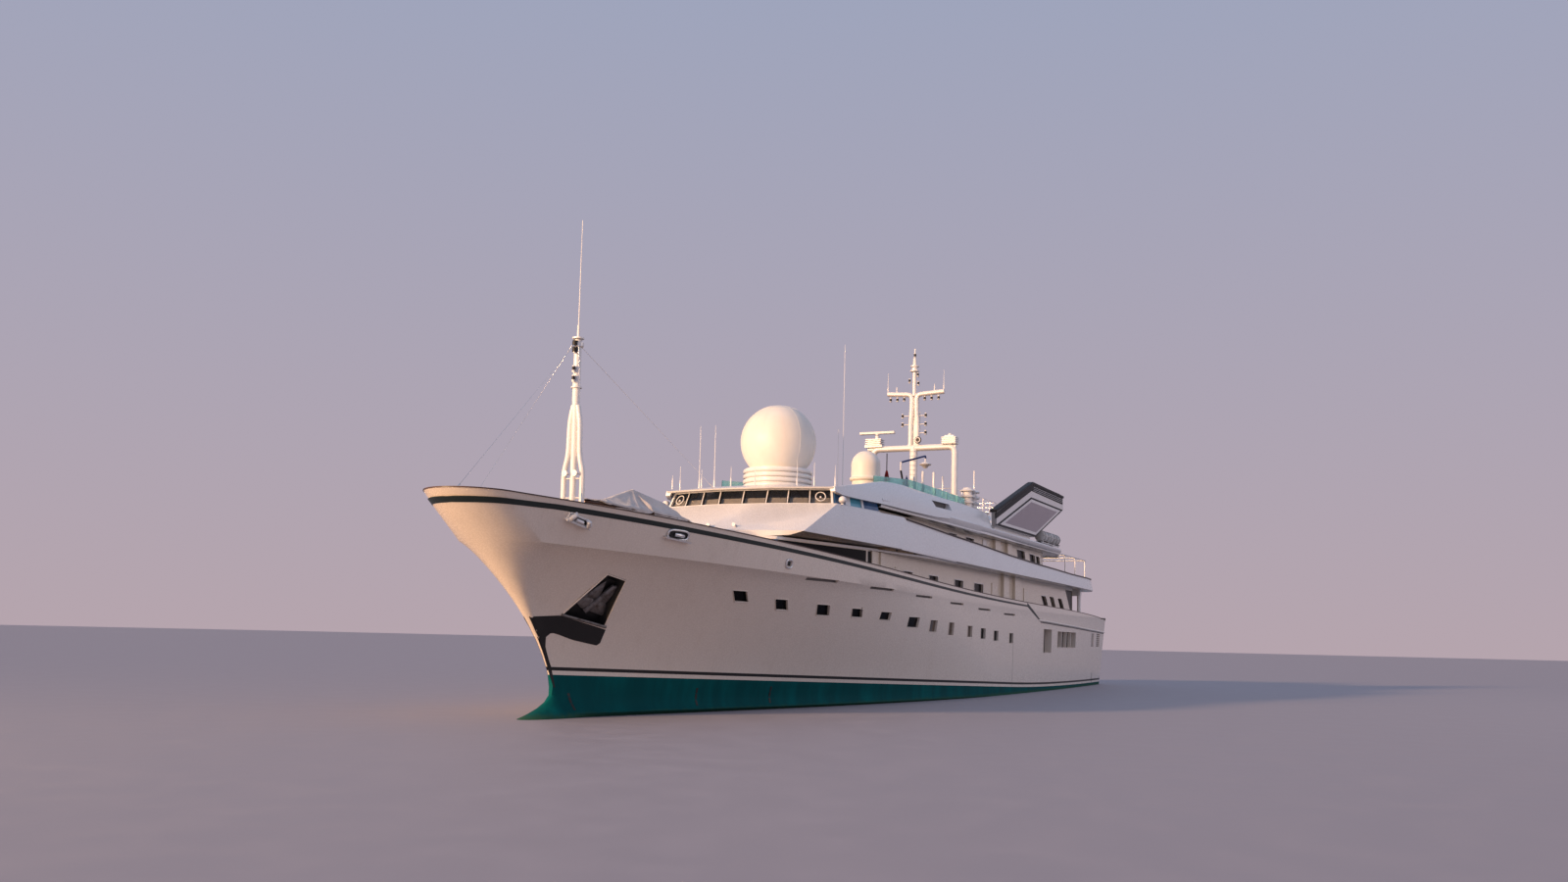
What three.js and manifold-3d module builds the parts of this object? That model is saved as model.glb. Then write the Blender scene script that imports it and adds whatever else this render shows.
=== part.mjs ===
// An 86 m motor yacht of about 1980, as a 1:10 scale model.
// Millimetres, +X towards the bow, +Y to port, +Z up. The origin is on the centreline,
// amidships, at the waterline. Places are written as real metres on the ship; the
// functions box, rod, plate, side, spun, convex and skin turn them into millimetres of the model.

import * as THREE from 'three';
import { mergeVertices } from 'three/addons/utils/BufferGeometryUtils.js';
import { ConvexGeometry } from 'three/addons/geometries/ConvexGeometry.js';
import Module from 'manifold-3d';

const wasm = await Module();
wasm.setup();

// Scale and running gaps
const MM = 100; // millimetres of model for one real metre, at 1:10
const SEAT = 0.004; // gap between pieces that rest on each other, 0.4 mm on the model
const CLEAR = 0.06; // gap beside pieces that move, 6 mm on the model

// Hull
const BOW_X = 43;
const STERN_X = -43.7;
const HALF_BEAM = 6.6;
const WATERLINE_HALF_BEAM = 6.45;
const KEEL_Z = -4.9;
const RUN_START = -18; // where the bottom begins to rise towards the stern
const RUN_RISE = 3.9;
const FLARE_FULLNESS = 0.75; // power of the waterline at the knuckle; at the foot of the stem it is 1
const NOSE = { radius: 1.65, power: 2.5 }; // the bow is round in plan, most at the rail
// The stem's aftmost point above the bulb, its top, and its reach forward by powers of the height between
const STEM = { x: 34.9, z: 1.18, topZ: 8.3, rake: [2.46, 6.8, -2.06], foot: 2.5 };
const BULB = { nose: 38, z: -1.9, halfWidth: 0.95, length: 2.4, chin: 4.6, root: 35.2 };
const TRANSOM_RAKE = 0.16;
const SKEG_HALF = 0.14;

// Bulwark and decks
const BULWARK = 1.1; // height of the bulwark above the deck
const PLATING = 0.15; // thickness of bulwarks and coamings
const UPPER_DECK = { top: 8.3, thickness: 0.2, aft: -37.2 };
const SUN_DECK = { bottom: 10.46, top: 10.95, floor: 11.05, aft: -27.9 };
const HOUSE_Y = 5.2;
const UPPER_HOUSE_Y = 4.9;

// Running gear
const SHAFT = { y: 2.4, z: -3.75, radius: 0.19, start: -24 };
const PROPELLER = { x: -37.4, radius: 1.12, hub: 0.3, length: 0.7, blades: 4, pitch: 0.72 };
const RUDDER = { x: -40.6, y: 2.4, top: -2.05, bottom: -4.75, chord: 2.1, thickness: 0.3, stock: 0.2 };
const FIN = { x: 4.5, y: 5.15, z: -3.55, cant: 35, span: 1.7, chord: 1.7, thickness: 0.24, gap: 0.026 };

// Masts, domes and funnels
const FOREMAST = { x: 33.9, leg: 0.13, post: 0.17, head: 15.6, whip: 20.6 };
const BIG_DOME = { x: 14.2, z: 13.95, radius: 2.05, collar: 1.85, rings: 5 };
const SMALL_DOME = { x: 1.25, z: 14.35, radius: 0.9, collar: 0.62 };
const MAST = { x: -7.65, legY: 2.95, lowArm: 16.65, highArm: 20.4, crown: 22, top: 23.6 };
const SCANNER = { y: -2.7, z: 17.8, half: 1.32, boss: 0.14 };
const FUNNEL = { inner: 3.3, outer: 5.6, foot: 11.3, cant: 0.16 };
const AWNING = { y: 5.35, z: 10.65, tube: 0.06, posts: [-29.5, -33, -36.6] };

// Doors and bridge
const DOOR = { hingeY: 5.33, width: 0.68, thickness: 0.07, low: 8.42, high: 10.3 };
const STERN_DOOR = { halfWidth: 2.2, low: 0.9, high: 3.9, thickness: 0.22, recess: 0.05 };
const BRIDGE_AFT = 12.95;
const BROW_TOP = 10.17;

const WHITE = 0xf1ede4;
const CREAM = 0xe9dfcf;
const STEEL = 0x8d8f90;
const BRONZE = 0x9a7440;
const TEAL = 0x0e5a5c;

// Solid arithmetic
function toSolid(geometry) {
  const bare = geometry.clone();
  for (const name of Object.keys(bare.attributes)) {
    if (name !== 'position') bare.deleteAttribute(name);
  }
  const merged = mergeVertices(bare, 1e-3);
  const index = merged.getIndex().array;
  const kept = [];
  for (let i = 0; i < index.length; i += 3) {
    const [a, b, c] = [index[i], index[i + 1], index[i + 2]];
    if (a !== b && b !== c && c !== a) kept.push(a, b, c);
  }
  const mesh = new wasm.Mesh({
    numProp: 3,
    vertProperties: new Float32Array(merged.getAttribute('position').array),
    triVerts: new Uint32Array(kept),
  });
  return new wasm.Manifold(mesh);
}

function fromSolid(solid) {
  const mesh = solid.getMesh();
  const geometry = new THREE.BufferGeometry();
  geometry.setAttribute('position', new THREE.BufferAttribute(new Float32Array(mesh.vertProperties), 3));
  geometry.setIndex(new THREE.BufferAttribute(new Uint32Array(mesh.triVerts), 1));
  return geometry;
}

const join = (...pieces) => fromSolid(pieces.map(toSolid).reduce((a, b) => a.add(b)));
const cut = (piece, ...tools) => fromSolid(tools.map(toSolid).reduce((a, b) => a.subtract(b), toSolid(piece)));
const common = (a, b) => fromSolid(toSolid(a).intersect(toSolid(b)));
const moved = (piece, x, y, z) => piece.clone().translate(x * MM, y * MM, z * MM);

function mirrored(piece) {
  const copy = piece.index ? piece.toNonIndexed() : piece.clone();
  copy.scale(1, -1, 1);
  const p = copy.getAttribute('position');
  for (let i = 0; i < p.count; i += 3) {
    const [x, y, z] = [p.getX(i), p.getY(i), p.getZ(i)];
    p.setXYZ(i, p.getX(i + 1), p.getY(i + 1), p.getZ(i + 1));
    p.setXYZ(i + 1, x, y, z);
  }
  return fromSolid(toSolid(copy));
}

// Shapes, in real metres
function box(x0, x1, y0, y1, z0, z1) {
  const shape = new THREE.BoxGeometry((x1 - x0) * MM, (y1 - y0) * MM, (z1 - z0) * MM);
  return shape.translate(((x0 + x1) / 2) * MM, ((y0 + y1) / 2) * MM, ((z0 + z1) / 2) * MM);
}

function rod(from, to, radius, sides = 10, endRadius = radius) {
  const a = new THREE.Vector3(...from).multiplyScalar(MM);
  const b = new THREE.Vector3(...to).multiplyScalar(MM);
  const shape = new THREE.CylinderGeometry(endRadius * MM, radius * MM, a.distanceTo(b), sides);
  const along = b.clone().sub(a).normalize();
  const turn = new THREE.Quaternion().setFromUnitVectors(new THREE.Vector3(0, 1, 0), along);
  return shape.applyQuaternion(turn).translate(...a.add(b).multiplyScalar(0.5).toArray());
}

// A bent tube, as straight rods with their ends run a little into each other
function bentTube(points, radius, sides = 10) {
  const rods = [];
  for (let i = 0; i + 1 < points.length; i++) {
    const [from, to] = [points[i], points[i + 1]];
    const length = distance(from, to);
    const lap = i + 2 < points.length ? radius * 0.4 : 0;
    const end = to.map((v, k) => v + ((v - from[k]) * lap) / length);
    rods.push(rod(from, end, radius, sides));
  }
  return join(...rods);
}

function outline(points) {
  return new THREE.Shape(points.map(([u, v]) => new THREE.Vector2(u * MM, v * MM)));
}

// A flat plate: an outline seen from above, between two heights
function plate(points, z0, z1) {
  const shape = new THREE.ExtrudeGeometry(outline(points), { depth: (z1 - z0) * MM, bevelEnabled: false });
  return shape.translate(0, 0, z0 * MM);
}

// A side profile: an outline in X and Z, between two distances to port
function side(points, y0, y1) {
  const shape = new THREE.ExtrudeGeometry(outline(points), { depth: (y1 - y0) * MM, bevelEnabled: false });
  return shape.rotateX(Math.PI / 2).translate(0, y1 * MM, 0);
}

// A body of revolution about a vertical axis, from a profile of radius and height
function spun(x, y, profile, segments = 28) {
  const points = profile.map(([r, z]) => new THREE.Vector2(r * MM, z * MM));
  return new THREE.LatheGeometry(points, segments).rotateX(Math.PI / 2).translate(x * MM, y * MM, 0);
}

// Points of a ball's profile, from a latitude below its middle up to its top
function ballProfile(radius, z, fromDegrees, step) {
  const points = [];
  for (let a = fromDegrees; a < 90; a += step) {
    const angle = THREE.MathUtils.degToRad(a);
    points.push([radius * Math.cos(angle), z + radius * Math.sin(angle)]);
  }
  return [...points, [0, z + radius]];
}

const convex = (points) => new ConvexGeometry(points.map((p) => new THREE.Vector3(...p).multiplyScalar(MM)));
const bothSides = (half) => [...half, ...half.slice().reverse().map(([x, y]) => [x, -y])];
const distance = (p, q) => Math.hypot(p[0] - q[0], p[1] - q[1], p[2] - q[2]);

function tripleProduct([ax, ay, az], [bx, by, bz], [cx, cy, cz]) {
  return ax * (by * cz - bz * cy) + ay * (bz * cx - bx * cz) + az * (bx * cy - by * cx);
}

// A closed skin over rings of equal length, with its faces turned outwards.
// The first and last rings are capped, unless the rings run round in a loop.
function skin(rings, loop = false) {
  const n = rings[0].length;
  const points = rings.flat().map((p) => p.map((v) => v * MM));
  const faces = [];
  const bands = loop ? rings.length : rings.length - 1;
  for (let i = 0; i < bands; i++) {
    const next = (i + 1) % rings.length;
    for (let j = 0; j < n; j++) {
      const a = i * n + j;
      const b = i * n + ((j + 1) % n);
      const c = next * n + ((j + 1) % n);
      const d = next * n + j;
      const shortAC = distance(points[a], points[c]) <= distance(points[b], points[d]);
      faces.push(...(shortAC ? [a, b, c, a, c, d] : [a, b, d, b, c, d]));
    }
  }
  if (!loop) {
    for (const [ring, first] of [[0, true], [rings.length - 1, false]]) {
      const centre = points.length;
      points.push([0, 1, 2].map((k) => (rings[ring].reduce((sum, p) => sum + p[k], 0) / n) * MM));
      for (let j = 0; j < n; j++) {
        const a = ring * n + j;
        const b = ring * n + ((j + 1) % n);
        faces.push(...(first ? [centre, b, a] : [centre, a, b]));
      }
    }
  }
  let volume = 0;
  for (let k = 0; k < faces.length; k += 3) {
    volume += tripleProduct(points[faces[k]], points[faces[k + 1]], points[faces[k + 2]]);
  }
  const geometry = new THREE.BufferGeometry();
  geometry.setAttribute('position', new THREE.BufferAttribute(new Float32Array(points.flat()), 3));
  geometry.setIndex(volume > 0 ? faces : faces.slice().reverse());
  return geometry;
}

// Hull form
const lerp = (a, b, t) => a + (b - a) * t;
const clamp01 = (t) => Math.min(1, Math.max(0, t));
const sheer = (x) => 6.55 + 0.0298 * x + 0.000254 * x * x + 2.2e-7 * x * x * (BOW_X * BOW_X - x * x);
const deck = (x) => sheer(x) - BULWARK;
// The flare widens the bow up to this line; above it the side goes straight up
const knuckle = (x) => 5.85 + 0.0115 * x + 0.00029 * x * x;
const transom = (z) => STERN_X + TRANSOM_RAKE * (6 - z);

function keel(x) {
  const run = clamp01((RUN_START - x) / (RUN_START - STERN_X));
  return KEEL_Z + RUN_RISE * Math.pow(run, 1.6);
}

// How far a height is from the bulb's middle, as a share of the bulb's own height
function bulbShare(z) {
  const half = z > BULB.z ? STEM.z - BULB.z : BULB.z - KEEL_Z;
  return Math.min(1, Math.abs(z - BULB.z) / half);
}

function bulbProfile(z) {
  const reach = z > BULB.z ? BULB.nose - STEM.x : BULB.chin;
  return BULB.nose - reach * (1 - Math.sqrt(1 - bulbShare(z) ** 2));
}

// The raked stem, its hollow foot just above the water, and the bulb's own profile below
function stem(z) {
  if (z >= STEM.z) {
    const k = (z - STEM.z) / (STEM.topZ - STEM.z);
    return STEM.rake.reduce((x, reach, i) => x + reach * Math.pow(k, i + 1), STEM.x);
  }
  if (z > 0) return STEM.x + (bulbProfile(0) - STEM.x) * Math.pow(1 - z / STEM.z, STEM.foot);
  return bulbProfile(z);
}

// Half-breadth of the hull at a place along it and a height
function halfBreadth(x, z) {
  const up = clamp01(z / knuckle(x));
  const flare = lerp(Math.pow(up, 1.2), Math.pow(up, 6), 0.15);
  const reach = z > 0 ? Math.max(BULB.root, Math.min(BOW_X, stem(z))) : BULB.root;
  const u = clamp01((reach - x) / lerp(41, 33, flare));
  const full = lerp(WATERLINE_HALF_BEAM, HALF_BEAM, up);
  let b = full * Math.pow(1 - Math.pow(1 - u, lerp(1.7, 2.5, flare)), lerp(1, FLARE_FULLNESS, flare));
  const round = NOSE.radius * Math.pow(flare, NOSE.power);
  if (round > 0.02) {
    const roundness = round * Math.sqrt(1 - (1 - clamp01((reach - x) / round)) ** 2);
    b = Math.cbrt(b ** 3 + roundness ** 3);
  }
  const aft = clamp01((-8 - x) / 36);
  b *= 1 - lerp(0.2, 0.15, up) * Math.pow(aft, 2.2);
  if (z < 0) {
    const depth = clamp01(z / keel(x));
    const fullness = lerp(1.9, 5, Math.pow(clamp01((26 - x) / 22), 0.8)) * lerp(1, 0.55, aft);
    b *= Math.pow(Math.max(0, 1 - Math.pow(depth, fullness)), 1 / 2.2);
  }
  if (z < STEM.z && x > 26) {
    const nose = clamp01((stem(z) - x) / BULB.length);
    const width = BULB.halfWidth * Math.sqrt(1 - bulbShare(z) ** 2) * Math.sqrt(1 - (1 - nose) ** 2);
    b = Math.cbrt(b ** 3 + width ** 3);
  }
  return b;
}

const STATIONS = [0, 0.03, 0.08, 0.14, 0.2, 0.28, 0.36, 0.44, 0.52, 0.58, 0.64, 0.7, 0.75, 0.8, 0.84,
  0.88, 0.91, 0.935, 0.955, 0.97, 0.982, 0.991, 0.9965, 0.999, 1]; // shares of the length, from the transom to the stem
const BELOW = [1, 0.97, 0.9, 0.78, 0.6, 0.4, 0.2, 0]; // shares of the depth at a station
const ABOVE = [0.09, 0.18, 0.3, 0.42, 0.54, 0.66, 0.78, 0.9, 1]; // shares of the height up to the deck

// The point on the port side at a station, on a line whose height is given by its place along the ship
function sidePoint(station, height) {
  let x = lerp(STERN_X, BOW_X, station);
  let z = height(x);
  for (let i = 0; i < 5; i++) {
    x = lerp(transom(z), stem(z), station);
    z = height(x);
  }
  return [x, station === 1 ? 0 : halfBreadth(x, z), z];
}

function hullSection(station) {
  const bottom = BELOW.map((share) => sidePoint(station, (x) => share * keel(x)));
  const topside = ABOVE.map((share) => sidePoint(station, (x) => share * deck(x)));
  bottom[0][1] = 0;
  const port = [...bottom, ...topside];
  const deckEdge = port[port.length - 1];
  const starboard = port.slice(1).reverse().map(([x, y, z]) => [x, -y, z]);
  return [...port, [deckEdge[0], 0, deckEdge[2]], ...starboard];
}

const fullHull = skin(STATIONS.map(hullSection));

// Anchor pockets: corners of the mouth on the port bow
const POCKET = [[33.24, 1.33, 3.68], [35.41, 0.73, 4.1], [34.51, 2.26, 5.73], [33.48, 2.47, 5.53]];
const POCKET_DEPTH = 0.5;

function anchorPocket() {
  const back = POCKET.map(([x, y, z]) => [x, y - POCKET_DEPTH, z]);
  const mouth = POCKET.map(([x, y, z]) => [x, y + 1.5, z + 0.1]);
  return convex([...back, ...mouth]);
}

function rudderBoss() {
  const { x, y, top } = RUDDER;
  return rod([x, y, top + SEAT], [x, y, -0.6], 0.34, 16);
}

const skeg = side([[-17, -4.6], [-17, KEEL_Z], [-33.5, KEEL_Z], [-35, -3.2], [-35, -2.2], [-24, -3.4]],
  -SKEG_HALF, SKEG_HALF);

function hull() {
  const solid = join(fullHull, rudderBoss(), mirrored(rudderBoss()), skeg);
  const { halfWidth, low, high, thickness, recess } = STERN_DOOR;
  const doorBack = transom(low) + recess + thickness + SEAT;
  const halfOpening = halfWidth + CLEAR;
  const door = box(STERN_X - 2, doorBack, -halfOpening, halfOpening, low - CLEAR, high + CLEAR);
  return cut(solid, anchorPocket(), mirrored(anchorPocket()), door);
}
const hullSolid = hull();
const hullRaised = moved(fullHull, 0, 0, SEAT);
const hullLowered = moved(fullHull, 0, 0, -SEAT);

// The bulwark stands on the deck edge all the way round. It thickens towards the bow.
function bulwarkCorner(station, line, inset, lift) {
  const [x, y, z] = sidePoint(station, line);
  if (!inset) return [x, y, z + lift];
  if (station === 1) return [x - 3 * PLATING, 0, z + lift];
  const lean = 2 * PLATING * station ** 8;
  const forward = station < 0.01 ? PLATING : 0;
  return [x + forward - lean, Math.max(0.02, y - PLATING * (1 + 0.6 * station ** 4)), z + lift];
}

function bulwarkRing(station) {
  return [
    bulwarkCorner(station, deck, false, SEAT),
    bulwarkCorner(station, sheer, false, 0),
    bulwarkCorner(station, sheer, true, 0),
    bulwarkCorner(station, deck, true, SEAT),
  ];
}

function wholeBulwark() {
  const port = STATIONS.map(bulwarkRing);
  const starboard = port.slice(0, -1).reverse().map((ring) => ring.map(([x, y, z]) => [x, -y, z]));
  return cut(skin([...port, ...starboard], true), hullRaised);
}

// Lengths of the bulwark on each side: name, aft end, forward end
const BULWARK_RUNS = [['bow', 24, 44], ['shoulder', 2, 24], ['waist', -26, 2], ['quarter', -43.2, -26]];
const bulwarkSolid = wholeBulwark();

function bulwarkRun(aft, forward) {
  const half = SEAT / 2;
  return common(bulwarkSolid, box(aft + half, forward - half, half, HALF_BEAM + 1, 4, 9));
}

const sternBulwark = () => common(bulwarkSolid, box(STERN_X - 1, BULWARK_RUNS[3][1] - SEAT / 2, -7, 7, 4, 9));

// Anchors lie flat in their pockets, flukes down
function anchor() {
  const shank = rod([33.98, 1.9, 5.2], [34.4, 0.9, 4.1], 0.13, 8);
  const crown = rod([33.8, 0.95, 3.95], [35.1, 0.74, 4.25], 0.17, 8);
  const flukes = [[33.88, 0.93, 4.0], [34.93, 0.76, 4.2]].map(([x, y, z]) => convex([
    [x - 0.2, y - 0.1, z], [x + 0.2, y - 0.1, z + 0.1],
    [x - 0.2, y + 0.1, z], [x + 0.2, y + 0.1, z + 0.1],
    [x - 0.35, y + 0.72, z + 0.85], [x - 0.2, y + 0.8, z + 0.9]]));
  const wall = common(hullSolid, box(32.5, 36.5, 0, 4, 3, 6.5));
  return cut(join(shank, crown, ...flukes), moved(wall, 0, SEAT, 0), moved(wall, 0, SEAT, SEAT));
}

// Foredeck gear
function windlass() {
  const [x, y] = [36.4, 0.8];
  const bed = box(x - 0.8, x + 0.9, -1.5, 1.5, 6.9, 7.45);
  const drums = [-y, y].map((at) => rod([x, at, 7.4], [x, at, 8.2], 0.3, 16));
  const wheels = [-y, y].map((at) => rod([x, at - 0.3, 7.75], [x, at + 0.3, 7.75], 0.42, 16));
  return cut(join(bed, ...drums, ...wheels), hullRaised);
}

// The tender under its cover: place along, half-breadth, height of the ridge
const TENDER = [[22.95, 0.6, 8.9], [23.5, 0.85, 9.38], [24.65, 1, 9.65], [26.8, 1, 9.88],
  [27.55, 1, 9.97], [29, 1, 9.55], [29.8, 0.95, 9.3], [30.8, 0.7, 9.17], [31.6, 0.2, 8.4]];
const TENDER_Y = -1.05;
const GUNWALE_Z = 8;

function coveredTender() {
  const rings = TENDER.map(([x, half, ridge]) => {
    const [port, starboard] = [TENDER_Y + half, TENDER_Y - half];
    const edge = (y) => [[x, y, GUNWALE_Z], [x, y, 6]];
    return [...edge(port).reverse(), [x, TENDER_Y, ridge], ...edge(starboard)];
  });
  return cut(skin(rings), hullRaised);
}

// The foremast is a post between two bent legs: distance from the post, then height
const MAST_LEG = [[0.45, 6], [0.45, 9.97], [0.27, 10.7], [0.24, 12.1], [0.06, 12.8]];

function foremast() {
  const { x, leg, post, head, whip } = FOREMAST;
  const legs = [-1, 1].map((s) => bentTube(MAST_LEG.map(([y, z]) => [x, s * y, z]), leg));
  const bars = [8.9, 9.7].map((z) => rod([x, -0.45, z], [x, 0.45, z], 0.07, 8));
  const pole = rod([x, 0, 6], [x, 0, head], post, 12);
  const cap = rod([x, 0, head - 0.05], [x, 0, head + 0.06], 0.24, 12);
  const aerial = rod([x, 0, head], [x, 0, whip], 0.035, 6, 0.015);
  return cut(join(...legs, ...bars, pole, cap, aerial), hullRaised);
}

function stay(x, y, z) {
  const share = 0.2 / Math.hypot(x - FOREMAST.x, y);
  return rod([lerp(FOREMAST.x, x, share), y * share, 15.3], [x, y, z], 0.02, 5);
}

function foremastStays() {
  const { x, post } = FOREMAST;
  const hole = rod([x, 0, 15], [x, 0, 15.6], post + SEAT, 12);
  const collar = cut(rod([x, 0, 15.18], [x, 0, 15.42], 0.26, 12), hole);
  const feet = [[41.6, 0, 8.27], [37.3, 2.72, 8.17], [37.3, -2.72, 8.17], [18.05, -1.9, 11.12]];
  return join(collar, ...feet.map((foot) => stay(...foot)));
}

// Main deckhouse, under the upper deck
const HOUSE = [[22.4, 0], [22.4, 3.6], [14.2, HOUSE_Y], [-26, HOUSE_Y], [-33.5, HOUSE_Y - 0.2]];

function mainDeckhouse() {
  const ceiling = UPPER_DECK.top - UPPER_DECK.thickness - SEAT;
  return cut(plate(bothSides(HOUSE), 4.3, ceiling), hullRaised);
}

// Coaming of the upper deck: place along, then half-breadth and height of its foot and its top
const COAMING = [
  [12.9, 6.22, 8.3, 5.62, 10.1],
  [10.3, 6.3, 8.27, 5.95, 9.95],
  [7, 6.36, 8.22, 6.1, 9.86],
  [-2.6, 6.4, 8.13, 6.2, 9.55],
  [-17.3, 6.4, 8.08, 6.22, 9.06],
  [-34, 6.3, 8.02, 6.15, 8.98],
  [-37.3, 5.7, 8.0, 5.6, 8.97],
];

function upperDeck() {
  const coaming = skin(COAMING.map(([x, footY, footZ, topY, topZ]) =>
    [[x, footY, footZ], [x, topY, topZ], [x, topY - PLATING, topZ], [x, footY - PLATING - 0.1, footZ]]));
  const stern = box(-37.3, -37.15, -5.62, 5.62, 8.0, 8.97);
  const { top, thickness, aft } = UPPER_DECK;
  const half = [[22.2, 0], [22.2, 3.9], [BRIDGE_AFT - 0.05, 6.1], [7, 6.25], [-34, 6.2], [aft, 5.6]];
  const slab = plate(bothSides(half), top - thickness, top);
  const underBridge = box(BRIDGE_AFT - 0.05, 24, -7, 7, top - 0.05, 9);
  return join(cut(slab, underBridge), coaming, mirrored(coaming), stern);
}

// Bridge: the folded front under the windows and its sides, with the hollow wheelhouse in it
function browHalf() {
  const low = UPPER_DECK.top + SEAT;
  const aft = BRIDGE_AFT;
  const apex = [20.8, 0, 8.68];
  const crease = [18.6, 1.5, BROW_TOP];
  const corner = [17.7, 5.0, BROW_TOP];
  const foot = [21.8, 5.05, 8.48];
  const middle = [[20.7, 0, low], [crease[0], 0, BROW_TOP], [aft, 0, low], [aft, 0, BROW_TOP]];
  const flank = [[21.6, 4.2, low], [aft, 5.6, BROW_TOP], [aft, 6.2, 8.42], [aft, 5.9, low]];
  return convex([apex, crease, corner, foot, ...middle, ...flank]);
}

// The window band on top of the brow: place along and half-breadth at its foot, then at the roof
const BAND = [[18.45, 1.5, 18.15, 1.5], [17.6, 4.9, 17.3, 4.7], [BRIDGE_AFT, 5.5, BRIDGE_AFT, 5.3]];
const PANE = { low: 10.24, high: 10.8, pitch: 1.02, half: 0.45, count: 9 };
const SIDE_PANES = [[13.3, 14.25], [14.4, 15.35], [15.5, 16.45], [16.5, 17.1]]; // aft end, forward end

function windowBand() {
  const roof = SUN_DECK.top - SEAT;
  return convex([-1, 1].flatMap((s) => BAND.flatMap(([footX, footY, roofX, roofY]) =>
    [[footX, s * footY, BROW_TOP - 0.02], [roofX, s * roofY, roof]])));
}

function wheelhouse() {
  const room = convex([-1, 1].flatMap((s) => [8.5, 10.8].flatMap((z) =>
    [[17.7, s * 1.4, z], [17.0, s * 4.55, z], [BRIDGE_AFT + 0.3, s * 5.15, z]])));
  const { low, high, pitch, half, count } = PANE;
  const frontPanes = [];
  for (let i = 0; i < count; i++) {
    const y = (i - (count - 1) / 2) * pitch;
    frontPanes.push(box(16.5, 19.5, y - half, y + half, low, high));
  }
  const sidePanes = SIDE_PANES.map(([aft, forward]) => box(aft, forward, -7, 7, low, high));
  const { hingeY, width } = DOOR;
  const [inner, outer] = [hingeY - width + 0.05, hingeY - 0.05];
  const doorway = box(BRIDGE_AFT - 0.1, BRIDGE_AFT + 0.4, inner, outer, 8.5, DOOR.high - 0.05);
  const shell = join(browHalf(), mirrored(browHalf()), windowBand());
  return cut(shell, room, ...frontPanes, ...sidePanes, doorway, mirrored(doorway));
}

function wheelhouseDoor() {
  const { hingeY, width, thickness, low, high } = DOOR;
  const face = BRIDGE_AFT - SEAT;
  const leaf = box(face - thickness, face, hingeY - width, hingeY, low, high);
  const pane = box(BRIDGE_AFT - 1, BRIDGE_AFT + 1, hingeY - 0.52, hingeY - 0.16, 9.5, 10.1);
  return cut(leaf, pane);
}

function bridgeConsole() {
  const floor = 8.5 + SEAT;
  return convex([-1, 1].flatMap((s) => [
    [17.3, s * 1.3, 9.9], [16.5, s * 3.9, 9.9], [16.0, s * 1.3, 9.75], [15.6, s * 3.9, 9.75],
    [17.3, s * 1.3, floor], [16.5, s * 3.9, floor], [16.2, s * 1.3, floor], [15.8, s * 3.9, floor]]));
}

// Upper deckhouse, between the upper deck and the sun deck
function upperDeckhouse() {
  const front = BRIDGE_AFT - 0.25;
  const half = [[front, 0], [front, 4.3], [11.5, UPPER_HOUSE_Y], [-23.5, UPPER_HOUSE_Y], [-25.5, 4.4]];
  return plate(bothSides(half), UPPER_DECK.top + SEAT, SUN_DECK.bottom - SEAT);
}

// Sun deck: the cambered roof over the bridge, and the slab with the deep edge of its overhang
const ROOF_EDGE = [[18.55, 1.5, 0.08], [17.75, 4.95, 0.06], [12, 5.55, 0.1]]; // along, half-breadth, rise

function sunDeck() {
  const { bottom, top, floor, aft } = SUN_DECK;
  const edge = [-1, 1].flatMap((s) => ROOF_EDGE.flatMap(([x, y, rise]) =>
    [[x, s * y, top], [x - 0.05, s * (y - 0.05), top + rise]]));
  const roof = convex([...edge, [17.6, 0, top + 0.25], [12, 0, top + 0.25]]);
  const front = BRIDGE_AFT - 0.1;
  const half = [[front, 0], [front, 5.6], [7, 5.7], [-4, 5.88], [aft + 1, 5.88], [aft, 5.2]];
  const slab = plate(bothSides(half), bottom, top);
  const planking = plate(bothSides([[12.5, 0], [12.5, 5.4], [aft + 2, 5.4]]), top - 0.1, floor);
  return join(roof, slab, planking);
}

const sunDeckSolid = sunDeck();
const sunDeckRaised = moved(sunDeckSolid, 0, 0, SEAT);
const SUN_FLOOR = SUN_DECK.floor + SEAT;

// Side screens of the sun deck: place along, half-breadth of the foot, half-breadth and height of the top
const SCREEN = [
  [17.3, 5.05, 5.0, 11.1],
  [14.2, 5.35, 5.02, 11.6],
  [11.3, 5.4, 5.0, 12.04],
  [8.1, 5.42, 5.0, 12.2],
  [-3.2, 5.45, 5.0, 12.25],
  [-8.0, 5.45, 5.15, 12.05],
];

function sunDeckScreen() {
  const rings = SCREEN.map(([x, footY, topY, topZ]) =>
    [[x, footY, SUN_FLOOR], [x, topY, topZ], [x, topY - 0.14, topZ], [x, footY - 0.2, SUN_FLOOR]]);
  return cut(skin(rings), sunDeckRaised);
}

function windbreak() {
  const glass = [[11.8, 12.3], [6, 12.75], [-4.5, 12.75]]; // place along, height of the top
  return skin(glass.map(([x, top]) =>
    [[x, 4.7, SUN_FLOOR], [x, 4.65, top], [x, 4.6, top], [x, 4.64, SUN_FLOOR]]));
}

// Domes
const DOME_FOOT = BIG_DOME.z - BIG_DOME.radius * 0.72;

function bigDome() {
  const { x, z, radius } = BIG_DOME;
  const [, ...ball] = ballProfile(radius, z, -46, 8.5);
  return spun(x, 0, [[0, DOME_FOOT], [radius * 0.69, DOME_FOOT], ...ball], 32);
}

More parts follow.
